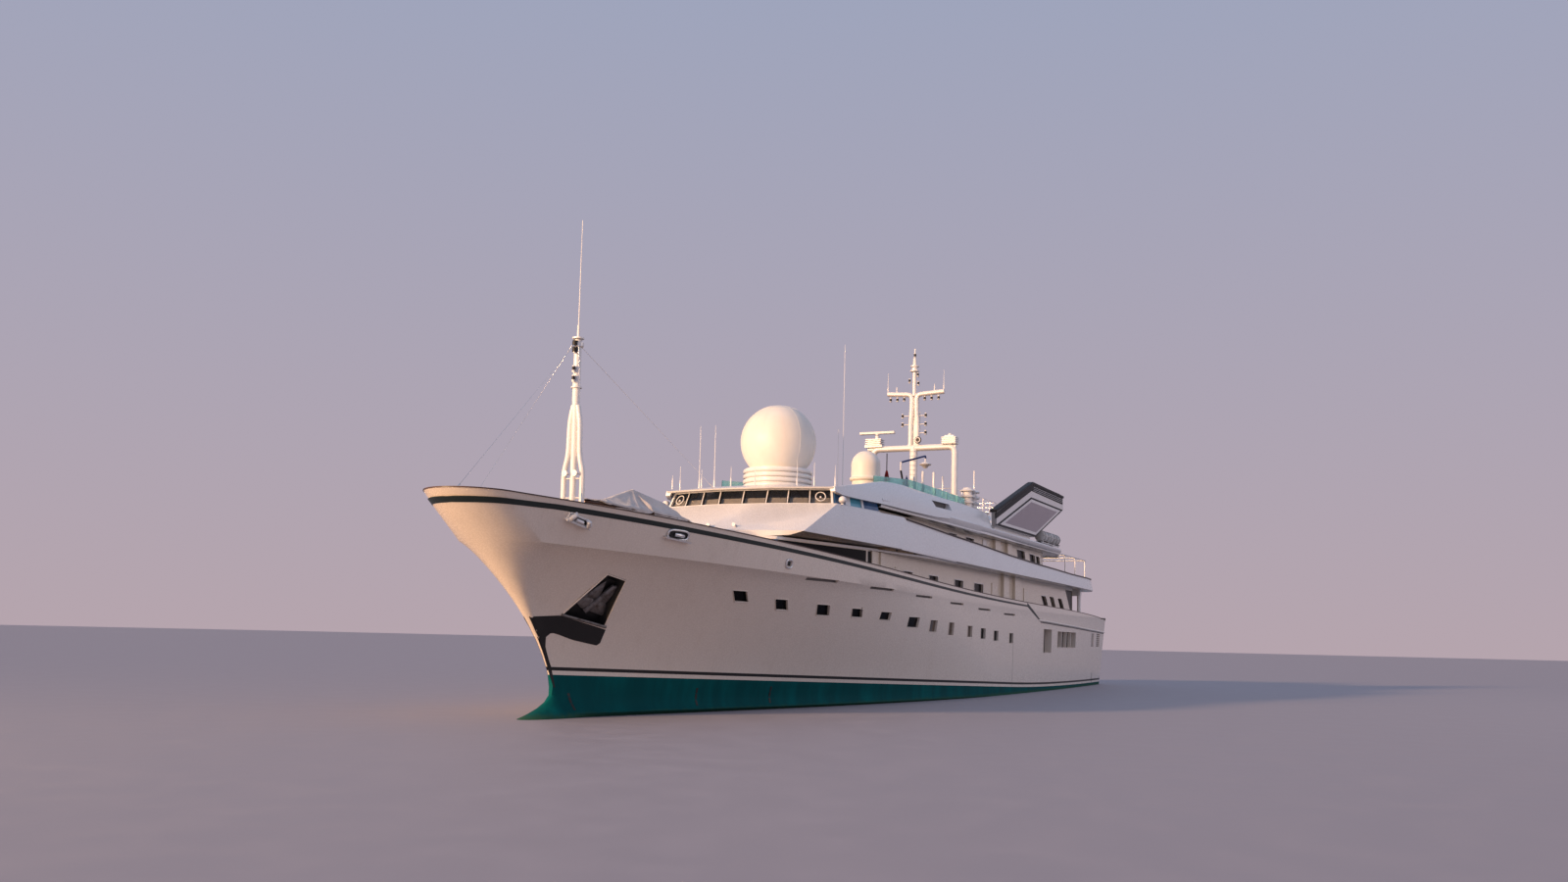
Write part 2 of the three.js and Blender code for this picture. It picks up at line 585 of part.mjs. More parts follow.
function domeCollar() {
  const { x, collar, rings } = BIG_DOME;
  const top = DOME_FOOT - SEAT;
  const foot = 11.1;
  const profile = [];
  for (let i = 0; i < rings; i++) {
    const low = lerp(foot, top, i / rings);
    const high = lerp(foot, top, (i + 1) / rings);
    profile.push([collar + 0.03, low], [collar + 0.03, high - 0.06], [collar - 0.05, high - 0.04]);
    profile.push([collar - 0.05, high]);
  }
  return cut(spun(x, 0, [[0, foot], ...profile, [0, top]]), sunDeckRaised);
}

function smallDome() {
  const { x, z, radius, collar } = SMALL_DOME;
  const pedestal = [[0, SUN_FLOOR], [0.9, SUN_FLOOR], [0.9, 12.9], [collar, 13.1]];
  return spun(x, 0, [...pedestal, ...ballProfile(radius, z, -50, 14)], 20);
}

// The main mast: a goalpost with a middle post, twin tubes and two arms
function mainMast() {
  const { x, legY, lowArm, highArm, crown, top } = MAST;
  const legs = [-1, 1].map((s) => rod([x, s * legY, SUN_FLOOR], [x, s * legY, lowArm + 0.1], 0.2, 10));
  const arm = box(x - 0.2, x + 0.2, -3.4, 3.1, lowArm - 0.15, lowArm + 0.15);
  const post = rod([x, 0, SUN_FLOOR], [x, 0, lowArm], 0.26, 12);
  const twin = [-1, 1].map((s) => rod([x, s * 0.26, lowArm - 0.1], [x, s * 0.22, 19.2], 0.13, 8));
  const steps = [17.4, 18.2, 19.1].map((z) => box(x - 0.1, x + 0.1, -0.3, 0.3, z - 0.06, z + 0.06));
  const neck = rod([x, 0, 19.0], [x, 0, crown], 0.13, 8);
  const high = box(x - 0.1, x + 0.1, -1.95, 2.15, highArm - 0.07, highArm + 0.07);
  const lamps = rod([x, 0, crown], [x, 0, crown + 0.7], 0.32, 10, 0.24);
  const tip = rod([x, 0, crown + 0.6], [x, 0, top], 0.09, 8);
  const whips = [-1.95, 2.12].map((y) => rod([x, y, highArm], [x, y, highArm + 1.6], 0.03, 6));
  const gearbox = box(x - 0.35, x + 0.35, SCANNER.y - 0.8, SCANNER.y + 0.45, lowArm + 0.1, 17.4);
  const { y, z, boss } = SCANNER;
  const pin = rod([x, y, 17.35], [x, y, z - boss - 0.05 - SEAT], 0.15, 12);
  return join(...legs, arm, post, ...twin, ...steps, neck, high, lamps, tip, ...whips, gearbox, pin);
}

function scanner() {
  const { y, z, half, boss } = SCANNER;
  const bar = box(MAST.x - 0.14, MAST.x + 0.14, y - half, y + half, z - 0.1, z + 0.12);
  return join(bar, rod([MAST.x, y, z - boss - 0.05], [MAST.x, y, z], boss, 12));
}

function radarUnit() {
  return box(MAST.x - 0.35, MAST.x + 0.35, 2.1, 3.1, MAST.lowArm + 0.15 + SEAT, 17.45);
}

// Funnels lean aft and outwards from the sun deck
function funnel() {
  const { inner, outer, foot, cant } = FUNNEL;
  const profile = [[-8.8, foot], [-18.9, foot], [-26, 14.0], [-25.1, 14.9], [-16, 15.0], [-8.1, 12.3]];
  const outwards = new THREE.Matrix4().makeShear(0, 0, 0, 0, 0, 0);
  outwards.elements[9] = cant; // distance to port gained for each unit of height
  outwards.elements[13] = -cant * foot * MM;
  const body = side(profile, inner, outer).applyMatrix4(outwards);
  return join(body, box(-18.6, -9.2, inner, 5.3, SUN_FLOOR, foot + 0.1));
}

function casing() {
  return plate(bothSides([[-8.9, 0], [-8.9, 2.6], [-19.4, 2.6]]), SUN_FLOOR, 12.9);
}

function ventilators() {
  const y = 4.3;
  const bed = box(-7.9, -5.8, 3.7, 4.85, SUN_FLOOR, 12.2);
  const stacks = [-7.35, -6.35].flatMap((x) => {
    const plates = [12.3, 12.7, 13.1, 13.5].map((z) => rod([x, y, z - 0.12], [x, y, z], 0.45, 12));
    return [rod([x, y, 12.1], [x, y, 13.5], 0.3, 12), ...plates];
  });
  return join(bed, ...stacks);
}

function lifeRafts() {
  const y = 5.3;
  const rack = box(-26.6, -21.2, 5.05, 5.45, SUN_FLOOR, 11.25);
  const rafts = [-25.7, -23.9, -22.1].flatMap((x) => [
    rod([x - 0.75, y, 11.6], [x + 0.75, y, 11.6], 0.42, 14),
    box(x - 0.1, x + 0.1, 5.05, 5.45, 11.1, 11.4)]);
  return join(rack, ...rafts);
}

function awningFrame() {
  const { y, z, tube, posts } = AWNING;
  const uprights = posts.flatMap((x) => [-y, y].map((at) =>
    rod([x, at, UPPER_DECK.top + SEAT], [x, at, z + 0.05], tube, 8)));
  const rails = [-y, y].map((at) => rod([-36.7, at, z], [-28.2, at, z], tube, 8));
  const beams = posts.map((x) => rod([x, -y, z], [x, y, z], tube * 0.8, 8));
  return join(...uprights, ...rails, ...beams);
}

function aftColumns() {
  const [x, y, half] = [-36.4, 4.9, 0.3];
  const ceiling = UPPER_DECK.top - UPPER_DECK.thickness;
  const posts = [-y, y].map((at) => box(x - half, x + half, at - 0.15, at + 0.15, 4, ceiling - 0.25));
  const beam = box(x - half, x + half, -y - 0.15, y + 0.15, ceiling - 0.5, ceiling - SEAT);
  return cut(join(...posts, beam), hullRaised);
}

function sternDoor() {
  const { halfWidth, low, high, thickness, recess } = STERN_DOOR;
  const face = (z) => transom(z) + recess;
  const outside = [[face(high), high], [face(low), low]];
  const inside = [[face(low) + thickness, low], [face(high) + thickness, high]];
  return side([...outside, ...inside], -halfWidth, halfWidth);
}

// Running gear
function shaftLine() {
  const { y, z, radius, start } = SHAFT;
  const [strutAft, strutFore] = [-36.7, -36.1];
  const tube = rod([start, y, z], [PROPELLER.x + PROPELLER.length / 2 + SEAT * 2, y, z], radius, 12);
  const barrel = rod([strutAft - 0.2, y, z], [strutFore + 0.2, y, z], 0.3, 12);
  const struts = [y - 0.9, y + 0.9].map((rootY) => convex([strutAft, strutFore].flatMap((x) =>
    [-0.07, 0.07].flatMap((half) => [[x, rootY + half, -1.5], [x, y + half, z]]))));
  return cut(join(tube, barrel, ...struts), hullLowered, moved(skeg, 0, 0, -SEAT));
}

function propeller() {
  const { x, radius, hub, length, blades, pitch } = PROPELLER;
  const body = rod([x - length / 2, 0, 0], [x + length / 2, 0, 0], hub, 16);
  const leafRadius = radius * 0.42 * MM;
  const leaves = [];
  for (let i = 0; i < blades; i++) {
    const leaf = new THREE.CylinderGeometry(leafRadius, leafRadius, 0.07 * MM, 18);
    leaf.rotateZ(Math.PI / 2).scale(1, 0.85, 1).translate(0, radius * 0.6 * MM, 0).rotateY(pitch);
    leaf.rotateX((i * 2 * Math.PI) / blades).translate(x * MM, 0, 0);
    leaves.push(leaf);
  }
  return moved(join(body, ...leaves), 0, SHAFT.y, SHAFT.z);
}

// A symmetric foil section: the leading edge, thickest part, run and trailing edge
function foil(front, chord, thickness) {
  const half = [[front, 0], [front - 0.17 * chord, thickness / 2], [front - 0.6 * chord, thickness / 3]];
  const other = half.slice(1).reverse().map(([u, v]) => [u, -v]);
  return [...half, [front - chord, 0], ...other];
}

function rudder() {
  const { x, y, top, bottom, chord, thickness, stock } = RUDDER;
  const section = foil(0.65, chord, thickness).map(([u, v]) => [x + u, y + v]);
  return join(plate(section, bottom, top - 0.25), rod([x, y, top - 0.5], [x, y, top], stock, 14));
}

function stabiliserFin() {
  const { x, y, z, cant, span, chord, thickness, gap } = FIN;
  const blade = plate(foil(chord * 0.3, chord, thickness), 0.2, 0.2 + span);
  const stock = rod([0, 0, gap], [0, 0, 0.5], 0.11, 12);
  const outwards = -THREE.MathUtils.degToRad(90 + cant);
  return moved(join(blade, stock).rotateX(outwards), x, y, z);
}

// The scene
const boat = new THREE.Group();

function add(name, geometry, color, roughness = 0.35, metalness = 0) {
  const mesh = new THREE.Mesh(geometry, new THREE.MeshStandardMaterial({ color, roughness, metalness }));
  mesh.name = name;
  boat.add(mesh);
}

function addPair(name, geometry, ...finish) {
  add(`${name}_port`, geometry, ...finish);
  add(`${name}_starboard`, mirrored(geometry), ...finish);
}

add('hull', hullSolid, CREAM, 0.3);
for (const [name, aft, forward] of BULWARK_RUNS) {
  addPair(`bulwark_${name}`, bulwarkRun(aft, forward), CREAM, 0.3);
}
add('bulwark_stern', sternBulwark(), CREAM, 0.3);
addPair('anchor', anchor(), STEEL, 0.5, 0.8);
add('windlass', windlass(), STEEL, 0.4, 0.8);
add('covered_tender', coveredTender(), 0x9a8f8d, 0.9);
add('foremast', foremast(), WHITE, 0.4);
add('foremast_stays', foremastStays(), STEEL, 0.4, 0.9);
add('main_deckhouse', mainDeckhouse(), WHITE);
add('upper_deck', upperDeck(), WHITE);
add('wheelhouse', wheelhouse(), WHITE);
addPair('wheelhouse_door', wheelhouseDoor(), WHITE);
add('bridge_console', bridgeConsole(), 0x3a322b, 0.5);
add('upper_deckhouse', upperDeckhouse(), WHITE);
add('sun_deck', sunDeckSolid, WHITE);
addPair('sun_deck_screen', sunDeckScreen(), WHITE);
addPair('windbreak', windbreak(), 0x2f9a9c, 0.1);
add('dome_collar', domeCollar(), WHITE);
add('big_dome', bigDome(), WHITE, 0.45);
add('small_dome', smallDome(), WHITE, 0.45);
add('main_mast', mainMast(), WHITE);
add('radar_scanner', scanner(), WHITE);
add('radar_unit', radarUnit(), WHITE);
addPair('funnel', funnel(), WHITE);
add('casing', casing(), WHITE);
addPair('ventilators', ventilators(), WHITE);
addPair('life_rafts', lifeRafts(), 0xb9b8b4, 0.5);
add('awning_frame', awningFrame(), STEEL, 0.2, 0.9);
add('aft_columns', aftColumns(), WHITE);
add('stern_door', sternDoor(), CREAM);
addPair('shaft', shaftLine(), BRONZE, 0.4, 0.9);
addPair('propeller', propeller(), BRONZE, 0.3, 0.9);
addPair('rudder', rudder(), TEAL, 0.5);
addPair('stabiliser_fin', stabiliserFin(), TEAL, 0.5);

export default boat;
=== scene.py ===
# %% [markdown]
# # A motor yacht, 1:10
#
# This lesson dresses the bare model of a classic motor yacht, 86 m long. The solids come in
# already built, at a tenth of the real size. We keep their places, and give each one the finer
# form, paint, glass, teak or canvas that it has on the real ship. Every place below is written
# in real metres on the ship: X runs forward from amidships, Y to port, Z up from the waterline.

# %% Load the frame
import math
import random
import bmesh
import bpy
from mathutils import Matrix, Vector


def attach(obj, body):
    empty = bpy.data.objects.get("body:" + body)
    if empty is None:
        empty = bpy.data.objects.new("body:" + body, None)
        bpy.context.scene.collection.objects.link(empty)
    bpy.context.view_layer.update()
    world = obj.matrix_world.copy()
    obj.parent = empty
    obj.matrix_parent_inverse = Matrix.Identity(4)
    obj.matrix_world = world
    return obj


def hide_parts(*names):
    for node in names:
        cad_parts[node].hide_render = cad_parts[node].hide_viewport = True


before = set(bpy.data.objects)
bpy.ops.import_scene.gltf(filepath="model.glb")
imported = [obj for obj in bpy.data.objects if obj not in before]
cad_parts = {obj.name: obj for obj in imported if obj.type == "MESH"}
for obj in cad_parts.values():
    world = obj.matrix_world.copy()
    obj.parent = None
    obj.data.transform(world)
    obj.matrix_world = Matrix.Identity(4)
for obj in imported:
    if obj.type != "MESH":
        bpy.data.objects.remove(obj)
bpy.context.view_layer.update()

SCALE = 0.1  # model metres for one real metre
UPPER_DECK_TOP, BRIDGE_FLOOR, SUN_DECK_TOP = 8.304, 8.504, 11.054  # heights in real metres
scene = bpy.context.scene
random.seed(7)

# %% [markdown]
# ## The camera
#
# The photograph was taken about 3.3 m above the water, 25 degrees off the bow on the port side. A
# camera can be fitted to a picture by its vanishing lines: the long lines of the decks give the
# direction, and the height of the horizon gives the tilt. We set those angles directly. The camera
# was held 1.3 degrees off level, and the frame is a slightly shifted crop.

# %% Camera
FOCAL_PX = 1400  # focal length in pixels of a picture 1600 wide
PICTURE_WIDTH = 1600
CAMERA_PLACE = Vector((8.107, 3.160, 0.330))
CAMERA_YAW, CAMERA_PITCH, CAMERA_ROLL = (math.radians(a) for a in (25, 5.5, 1.3))


def aim_camera():
    """A camera that looks aft along the port side, tilted up a little."""
    data = bpy.data.cameras.new("camera")
    camera = bpy.data.objects.new("camera", data)
    scene.collection.objects.link(camera)
    data.sensor_width = 36
    data.lens = data.sensor_width * FOCAL_PX / PICTURE_WIDTH
    data.shift_y = 0.0425
    data.clip_end = 400
    level = Vector((-math.cos(CAMERA_YAW), -math.sin(CAMERA_YAW), 0))
    ahead = level * math.cos(CAMERA_PITCH) + Vector((0, 0, math.sin(CAMERA_PITCH)))
    right = Vector((-math.sin(CAMERA_YAW), math.cos(CAMERA_YAW), 0))
    turn = Matrix((right, right.cross(ahead), -ahead)).transposed() @ Matrix.Rotation(CAMERA_ROLL, 3, "Z")
    camera.matrix_world = Matrix.Translation(CAMERA_PLACE) @ turn.to_4x4()
    scene.camera = camera
    return camera


camera = aim_camera()
print("camera at", tuple(round(v, 3) for v in camera.location))

# %% [markdown]
# ## Light
#
# The sun stands low and warm on the starboard bow, so that the port side lies in soft shade.
# A sun lamp with a wide angle makes that key light. The sky is a plain world colour that turns
# from a pale lilac at the horizon to a cooler tone overhead; it fills the shade. A low warm panel ahead
# stands for the glint of the sun off the water, which lights the bow from below, and a big soft panel
# off the port side for the light that comes back from the pale ground there.

# %% Sun, sky and fill
SUN_FROM = Vector((0.875, -0.427, 0.225))


def pale_sky():
    """A world with a soft vertical gradient."""
    world = bpy.data.worlds.new("studio sky")
    world.use_nodes = True
    scene.world = world
    nodes, links = world.node_tree.nodes, world.node_tree.links
    place = nodes.new("ShaderNodeTexCoord")
    split = nodes.new("ShaderNodeSeparateXYZ")
    ramp = nodes.new("ShaderNodeValToRGB")
    links.new(place.outputs["Generated"], split.inputs[0])
    links.new(split.outputs["Z"], ramp.inputs["Fac"])
    links.new(ramp.outputs["Color"], nodes["Background"].inputs["Color"])
    tones = ramp.color_ramp.elements
    tones[0].position, tones[0].color = 0.0, (0.62, 0.50, 0.56, 1)
    tones[1].position, tones[1].color = 0.55, (0.42, 0.50, 0.70, 1)
    nodes["Background"].inputs["Strength"].default_value = 0.75


def lamp(name, kind, energy, color, towards, place=(0, 0, 0), size=None):
    """A lamp that shines from `place` towards the direction given."""
    data = bpy.data.lights.new(name, kind)
    data.energy, data.color = energy, color
    obj = bpy.data.objects.new(name, data)
    scene.collection.objects.link(obj)
    obj.location = place
    obj.rotation_euler = Vector(towards).to_track_quat("-Z", "Y").to_euler()
    if kind == "SUN":
        data.angle = size
    else:
        data.shape, data.size = "DISK", size
    return obj


pale_sky()
lamp("low sun", "SUN", 3.7, (1.0, 0.62, 0.36), -SUN_FROM, size=math.radians(4))
lamp("glint off the water", "AREA", 470, (1.0, 0.64, 0.34), (-0.86, 0.40, 0.10), place=(9.4, -2.5, 0.14),
     size=2.2)
lamp("bounce from the port side", "AREA", 60, (1.0, 0.86, 0.80), (0.1, -1, 0.0), place=(-1, 9, 2.2), size=4)
scene.view_settings.view_transform = "Standard"

# %% [markdown]
# ## Forms
#
# Nearly everything on a ship is a skin over frames, a tube, a turned form or a plate. A small
# class collects corners and faces of these kinds, in real metres. One call then turns the
# collection into a mesh with smooth faces and crisp edges, gives it its finishes, and lets it
# ride on its body.


# %% A collector of corners and faces
class Shape:
    """Corners and faces of one piece, in real metres on the ship."""

    def __init__(self):
        self.corners, self.faces, self.finishes = [], [], []

    def put(self, corners, faces, finish=0):
        base = len(self.corners)
        self.corners += [tuple(c) for c in corners]
        self.faces += [tuple(base + i for i in f) for f in faces]
        self.finishes += [finish] * len(faces)
        return self

    def box(self, x, y, z, finish=0):
        """A box between the low and high value of each axis."""
        corners = [(a, b, c) for a in x for b in y for c in z]
        faces = [(0, 1, 3, 2), (4, 6, 7, 5), (0, 4, 5, 1), (2, 3, 7, 6), (0, 2, 6, 4), (1, 5, 7, 3)]
        return self.put(corners, faces, finish)

    def loft(self, rings, finish=0, loop=True, caps=True):
        """A skin over rings of equal length; `finish` may be a list with one value for each row."""
        n = len(rings[0])
        rows = n if loop else n - 1
        tone = finish if isinstance(finish, (list, tuple)) else [finish] * rows
        for j in range(rows):
            k = (j + 1) % n
            strip = [c for ring in rings for c in (ring[j], ring[k])]
            quads = [(2 * i, 2 * i + 1, 2 * i + 3, 2 * i + 2) for i in range(len(rings) - 1)]
            self.put(strip, quads, tone[j])
        if caps:
            self.put(rings[0], [tuple(reversed(range(n)))], tone[0])
            self.put(rings[-1], [tuple(range(n))], tone[0])
        return self

    def tube(self, path, radius, sides=12, finish=0, caps=True):
        """A round bar along a path; `radius` may be a list with one value for each point."""
        points = [Vector(p) for p in path]
        radii = radius if isinstance(radius, (list, tuple)) else [radius] * len(points)
        rings, across = [], None
        for i, p in enumerate(points):
            before = p - points[i - 1] if i else points[1] - p
            after = points[i + 1] - p if i + 1 < len(points) else before
            along = (before.normalized() + after.normalized()).normalized()
            if across is None:
                across = along.orthogonal()
            across = (across - along * across.dot(along)).normalized()
            third = along.cross(across)
            turns = [2 * math.pi * k / sides for k in range(sides)]
            rings.append([p + (across * math.cos(t) + third * math.sin(t)) * radii[i] for t in turns])
        return self.loft(rings, finish, caps=caps)

    def spin(self, centre, profile, steps=48, finish=0, axis="Z"):
        """A turned form: radius and height pairs, spun about an axis through `centre`."""
        turn = {"Z": lambda r, s, h: (r[0] * s, r[1] * s, h), "X": lambda r, s, h: (h, r[0] * s, r[1] * s),
                "Y": lambda r, s, h: (r[1] * s, h, r[0] * s)}[axis]
        rings = []
        for k in range(steps):
            t = 2 * math.pi * k / steps
            around = (math.cos(t), math.sin(t))
            rings.append([Vector(centre) + Vector(turn(around, r, h)) for r, h in profile])
        rings.append(rings[0])
        return self.loft(rings, finish, loop=False, caps=False)

    def slab(self, outline, low, high, finish=0):
        """A plate: an outline seen from above, between two heights."""
        return self.loft([[(x, y, low) for x, y in outline], [(x, y, high) for x, y in outline]], finish)

    def profile(self, outline, y0, y1, finish=0):
        """A side view: an outline in X and Z, between two places across the ship."""
        return self.loft([[(x, y0, z) for x, z in outline], [(x, y1, z) for x, z in outline]], finish)

    def mirror(self):
        """Adds the same form on the other side of the centreline."""
        corners = [(x, -y, z) for x, y, z in self.corners]
        faces = [tuple(reversed(f)) for f in self.faces]
        tones = list(self.finishes)
        self.put(corners, faces)
        self.finishes[-len(tones):] = tones
        return self

    def copy(self, dx=0, dy=0, dz=0):
        """The same form moved, as a new collection."""
        other = Shape()
        other.put([(x + dx, y + dy, z + dz) for x, y, z in self.corners], self.faces)
        other.finishes = list(self.finishes)
        return other

    def join(self, other):
        self.put(other.corners, other.faces)
        self.finishes[-len(other.faces):] = other.finishes
        return self


# %% From corners to a piece that rides on the ship
pieces = {}


def make(name, shape, finishes, body="root", replaces=(), sharp=32, bevel=0.0, merge=True):
    """A piece from a collection of corners; `bevel` rounds its edges, in real metres."""
    mesh = bpy.data.meshes.new(name)
    mesh.from_pydata([tuple(v * SCALE for v in c) for c in shape.corners], [], shape.faces)
    for finish in finishes:
        mesh.materials.append(finish)
    for face, tone in zip(mesh.polygons, shape.finishes):
        face.material_index = tone
    if merge:
        work = bmesh.new()
        work.from_mesh(mesh)
        bmesh.ops.remove_doubles(work, verts=work.verts, dist=2e-5)
        bmesh.ops.dissolve_degenerate(work, edges=work.edges, dist=1e-6)
        bmesh.ops.recalc_face_normals(work, faces=work.faces)
        work.to_mesh(mesh)
        work.free()
    mesh.shade_smooth()
    mesh.set_sharp_from_angle(angle=math.radians(sharp))
    obj = bpy.data.objects.new(name, mesh)
    scene.collection.objects.link(obj)
    if bevel:
        round_edges = obj.modifiers.new("rounded edges", "BEVEL")
        round_edges.width = bevel * SCALE
        round_edges.segments = 2
        round_edges.limit_method = "ANGLE"
        round_edges.angle_limit = math.radians(40)
        round_edges.harden_normals = True
    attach(obj, body)
    if replaces:
        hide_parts(*replaces)
    pieces[name] = obj
    return obj


def pair(name):
    return [f"{name}_port", f"{name}_starboard"]


def lerp(a, b, t):
    return a + (b - a) * t


def clamp(t):
    return min(1.0, max(0.0, t))


print("the forms are ready")
# %% [markdown]
# ## Finishes
#
# Ship's paint is never one flat colour: plates are a little wavy, rain leaves faint streaks,
# and the gloss is uneven. These effects are shared by many finishes, so each is a node group,
# made once, with its own colours and amounts in every material. All of them are placed by the
# object's own coordinates in metres, so a streak runs on from one piece to the next.
# The plate paint also darkens the faces that look down, as painted shade.


# %% Short words for wiring nodes
class Wiring:
    """Places and joins nodes in one node tree."""

    def __init__(self, tree):
        self.tree = tree

    def node(self, kind, values=None, **settings):
        made = self.tree.nodes.new(kind)
        for label, value in settings.items():
            setattr(made, label, value)
        for label, value in (values or {}).items():
            self.feed(value, made.inputs[label])
        return made

    def feed(self, value, socket):
        if isinstance(value, bpy.types.NodeSocket):
            self.tree.links.new(value, socket)
        else:
            socket.default_value = value

    def math(self, operation, a, b=0.0):
        return self.node("ShaderNodeMath", {0: a, 1: b}, operation=operation).outputs[0]

    def span(self, value, low, high, to_low=0.0, to_high=1.0):
        """Maps a range of values to another, and keeps within it."""
        values = {"Value": value, "From Min": low, "From Max": high, "To Min": to_low, "To Max": to_high}
        return self.node("ShaderNodeMapRange", values).outputs[0]

    def mix(self, share, a, b):
        return self.node("ShaderNodeMix", {0: share, 6: a, 7: b}, data_type="RGBA").outputs[2]

    def place(self, scale=(1, 1, 1)):
        """The place on the object in metres, stretched by a factor along each axis."""
        here = self.node("ShaderNodeTexCoord").outputs["Object"]
        return self.node("ShaderNodeVectorMath", {0: here, 1: scale}, operation="MULTIPLY").outputs[0]

    def noise(self, vector, scale, detail=2.0, roughness=0.5):
        values = {"Vector": vector, "Scale": scale, "Detail": detail, "Roughness": roughness}
        return self.node("ShaderNodeTexNoise", values).outputs[0]

    def part_of(self, vector, axis):
        return self.node("ShaderNodeSeparateXYZ", {0: vector}).outputs[axis]


def new_group(name, inputs):
    """An empty group whose inputs are numbers or colours; it puts out colour, roughness and height."""
    group = bpy.data.node_groups.new(name, "ShaderNodeTree")
    for label, value in inputs.items():
        kind = "NodeSocketColor" if isinstance(value, tuple) else "NodeSocketFloat"
        group.interface.new_socket(name=label, in_out="INPUT", socket_type=kind).default_value = value
    for label, kind in (("Colour", "NodeSocketColor"), ("Roughness", "NodeSocketFloat"),
                        ("Height", "NodeSocketFloat")):
        group.interface.new_socket(name=label, in_out="OUTPUT", socket_type=kind)
    wiring = Wiring(group)
    return group, wiring, group.nodes.new("NodeGroupInput").outputs


def put_out(wiring, colour, roughness, height):
    """Joins the results of a group to its outputs."""
    end = wiring.tree.nodes.new("NodeGroupOutput")
    for socket, value in zip(end.inputs, (colour, roughness, height)):
        wiring.feed(value, socket)


# %% Painted plate: waves, tone, rain streaks and painted shade on faces that look down
def painted_plate():
    group, w, given = new_group("painted plate", {
        "Colour": (0.8, 0.8, 0.8, 1), "Grime": (0.4, 0.35, 0.3, 1), "Streaks": 0.2, "Gloss": 0.25,
        "Painted underside shade": 0.0})
    broad = w.noise(w.place(), 1.7, 2)
    rain = w.noise(w.place((1, 1, 0.09)), 26, 3, 0.6)
    dust = w.noise(w.place(), 160, 3, 0.7)
    streak = w.math("MULTIPLY", w.span(rain, 0.52, 0.75), given["Streaks"])
    soil = w.math("ADD", streak, w.math("MULTIPLY", w.span(broad, 0.35, 0.75),
                                        w.math("MULTIPLY", given["Streaks"], 0.35)))
    # Painted shade: faces that look down are darkened towards a dark brown, as the shade under the flare
    # and overhangs.
    facing = w.part_of(w.node("ShaderNodeTexCoord").outputs["Normal"], 2)
    underside_shade = w.math("MULTIPLY", w.span(facing, -0.12, -0.7), given["Painted underside shade"])
    colour = w.mix(underside_shade, w.mix(soil, given["Colour"], given["Grime"]), (0.11, 0.085, 0.075, 1))
    rough = w.math("ADD", given["Gloss"], w.math("MULTIPLY", w.math("ADD", soil, w.span(dust, 0.4, 0.8)),
                                                 0.16))
    wave = w.math("ADD", w.noise(w.place((1, 1, 0.6)), 5.5, 1), w.math("MULTIPLY", dust, 0.02))
    put_out(w, colour, rough, wave)
    return group


# %% Antifouling: brushed paint with a pale line of weed at the water
def bottom_coat():
    group, w, given = new_group("bottom coat", {
        "Colour": (0, 0.1, 0.12, 1), "Faded": (0.1, 0.3, 0.3, 1), "Weed": (0.2, 0.22, 0.12, 1),
        "Gloss": 0.5})
    height = w.part_of(w.place(), 2)
    brushed = w.noise(w.place((1, 1, 0.16)), 9, 4, 0.6)
    patches = w.noise(w.place(), 3.2, 2)
    faded = w.math("MULTIPLY", w.span(brushed, 0.42, 0.7), w.span(patches, 0.3, 0.7, 0.15, 0.75))
    ragged = w.math("ADD", height, w.math("MULTIPLY", w.noise(w.place((1, 1, 0.3)), 40, 3), -0.022))
    weed = w.span(ragged, 0.012, -0.006)
    colour = w.mix(weed, w.mix(faded, given["Colour"], given["Faded"]), given["Weed"])
    rough = w.math("ADD", given["Gloss"], w.math("MULTIPLY", faded, 0.2))
    put_out(w, colour, rough, brushed)
    return group


# %% Teak: planks along the ship, with black caulking between them
def teak_planks():
    group, w, given = new_group("teak planks", {
        "Light": (0.45, 0.30, 0.18, 1), "Dark": (0.28, 0.17, 0.09, 1), "Plank": 0.009, "Caulk": 0.10})
    here = w.place()
    across = w.math("DIVIDE", w.part_of(here, 1), given["Plank"])
    inside = w.math("FRACT", across)
    number = w.math("FLOOR", across)
    along = w.math("ADD", w.part_of(here, 0), w.math("MULTIPLY", number, 0.137))
    butt = w.math("FRACT", w.math("MULTIPLY", along, 2.2))
    board = w.node("ShaderNodeCombineXYZ",
                   {0: number, 1: w.math("FLOOR", w.math("MULTIPLY", along, 2.2))}).outputs[0]
    tone = w.node("ShaderNodeTexWhiteNoise", {"Vector": board}, noise_dimensions="3D").outputs["Value"]
    grain = w.noise(w.place((1, 14, 14)), 60, 4, 0.6)
    seam = w.math("MAXIMUM", w.math("LESS_THAN", inside, given["Caulk"]), w.math("LESS_THAN", butt, 0.006))
    wood = w.mix(w.math("ADD", w.math("MULTIPLY", tone, 0.6), w.math("MULTIPLY", grain, 0.4)),
                 given["Dark"], given["Light"])
    colour = w.mix(seam, wood, (0.02, 0.018, 0.016, 1))
    height = w.math("SUBTRACT", w.math("MULTIPLY", grain, 0.25), seam)
    put_out(w, colour, w.math("ADD", 0.5, w.math("MULTIPLY", grain, 0.2)), height)
    return group


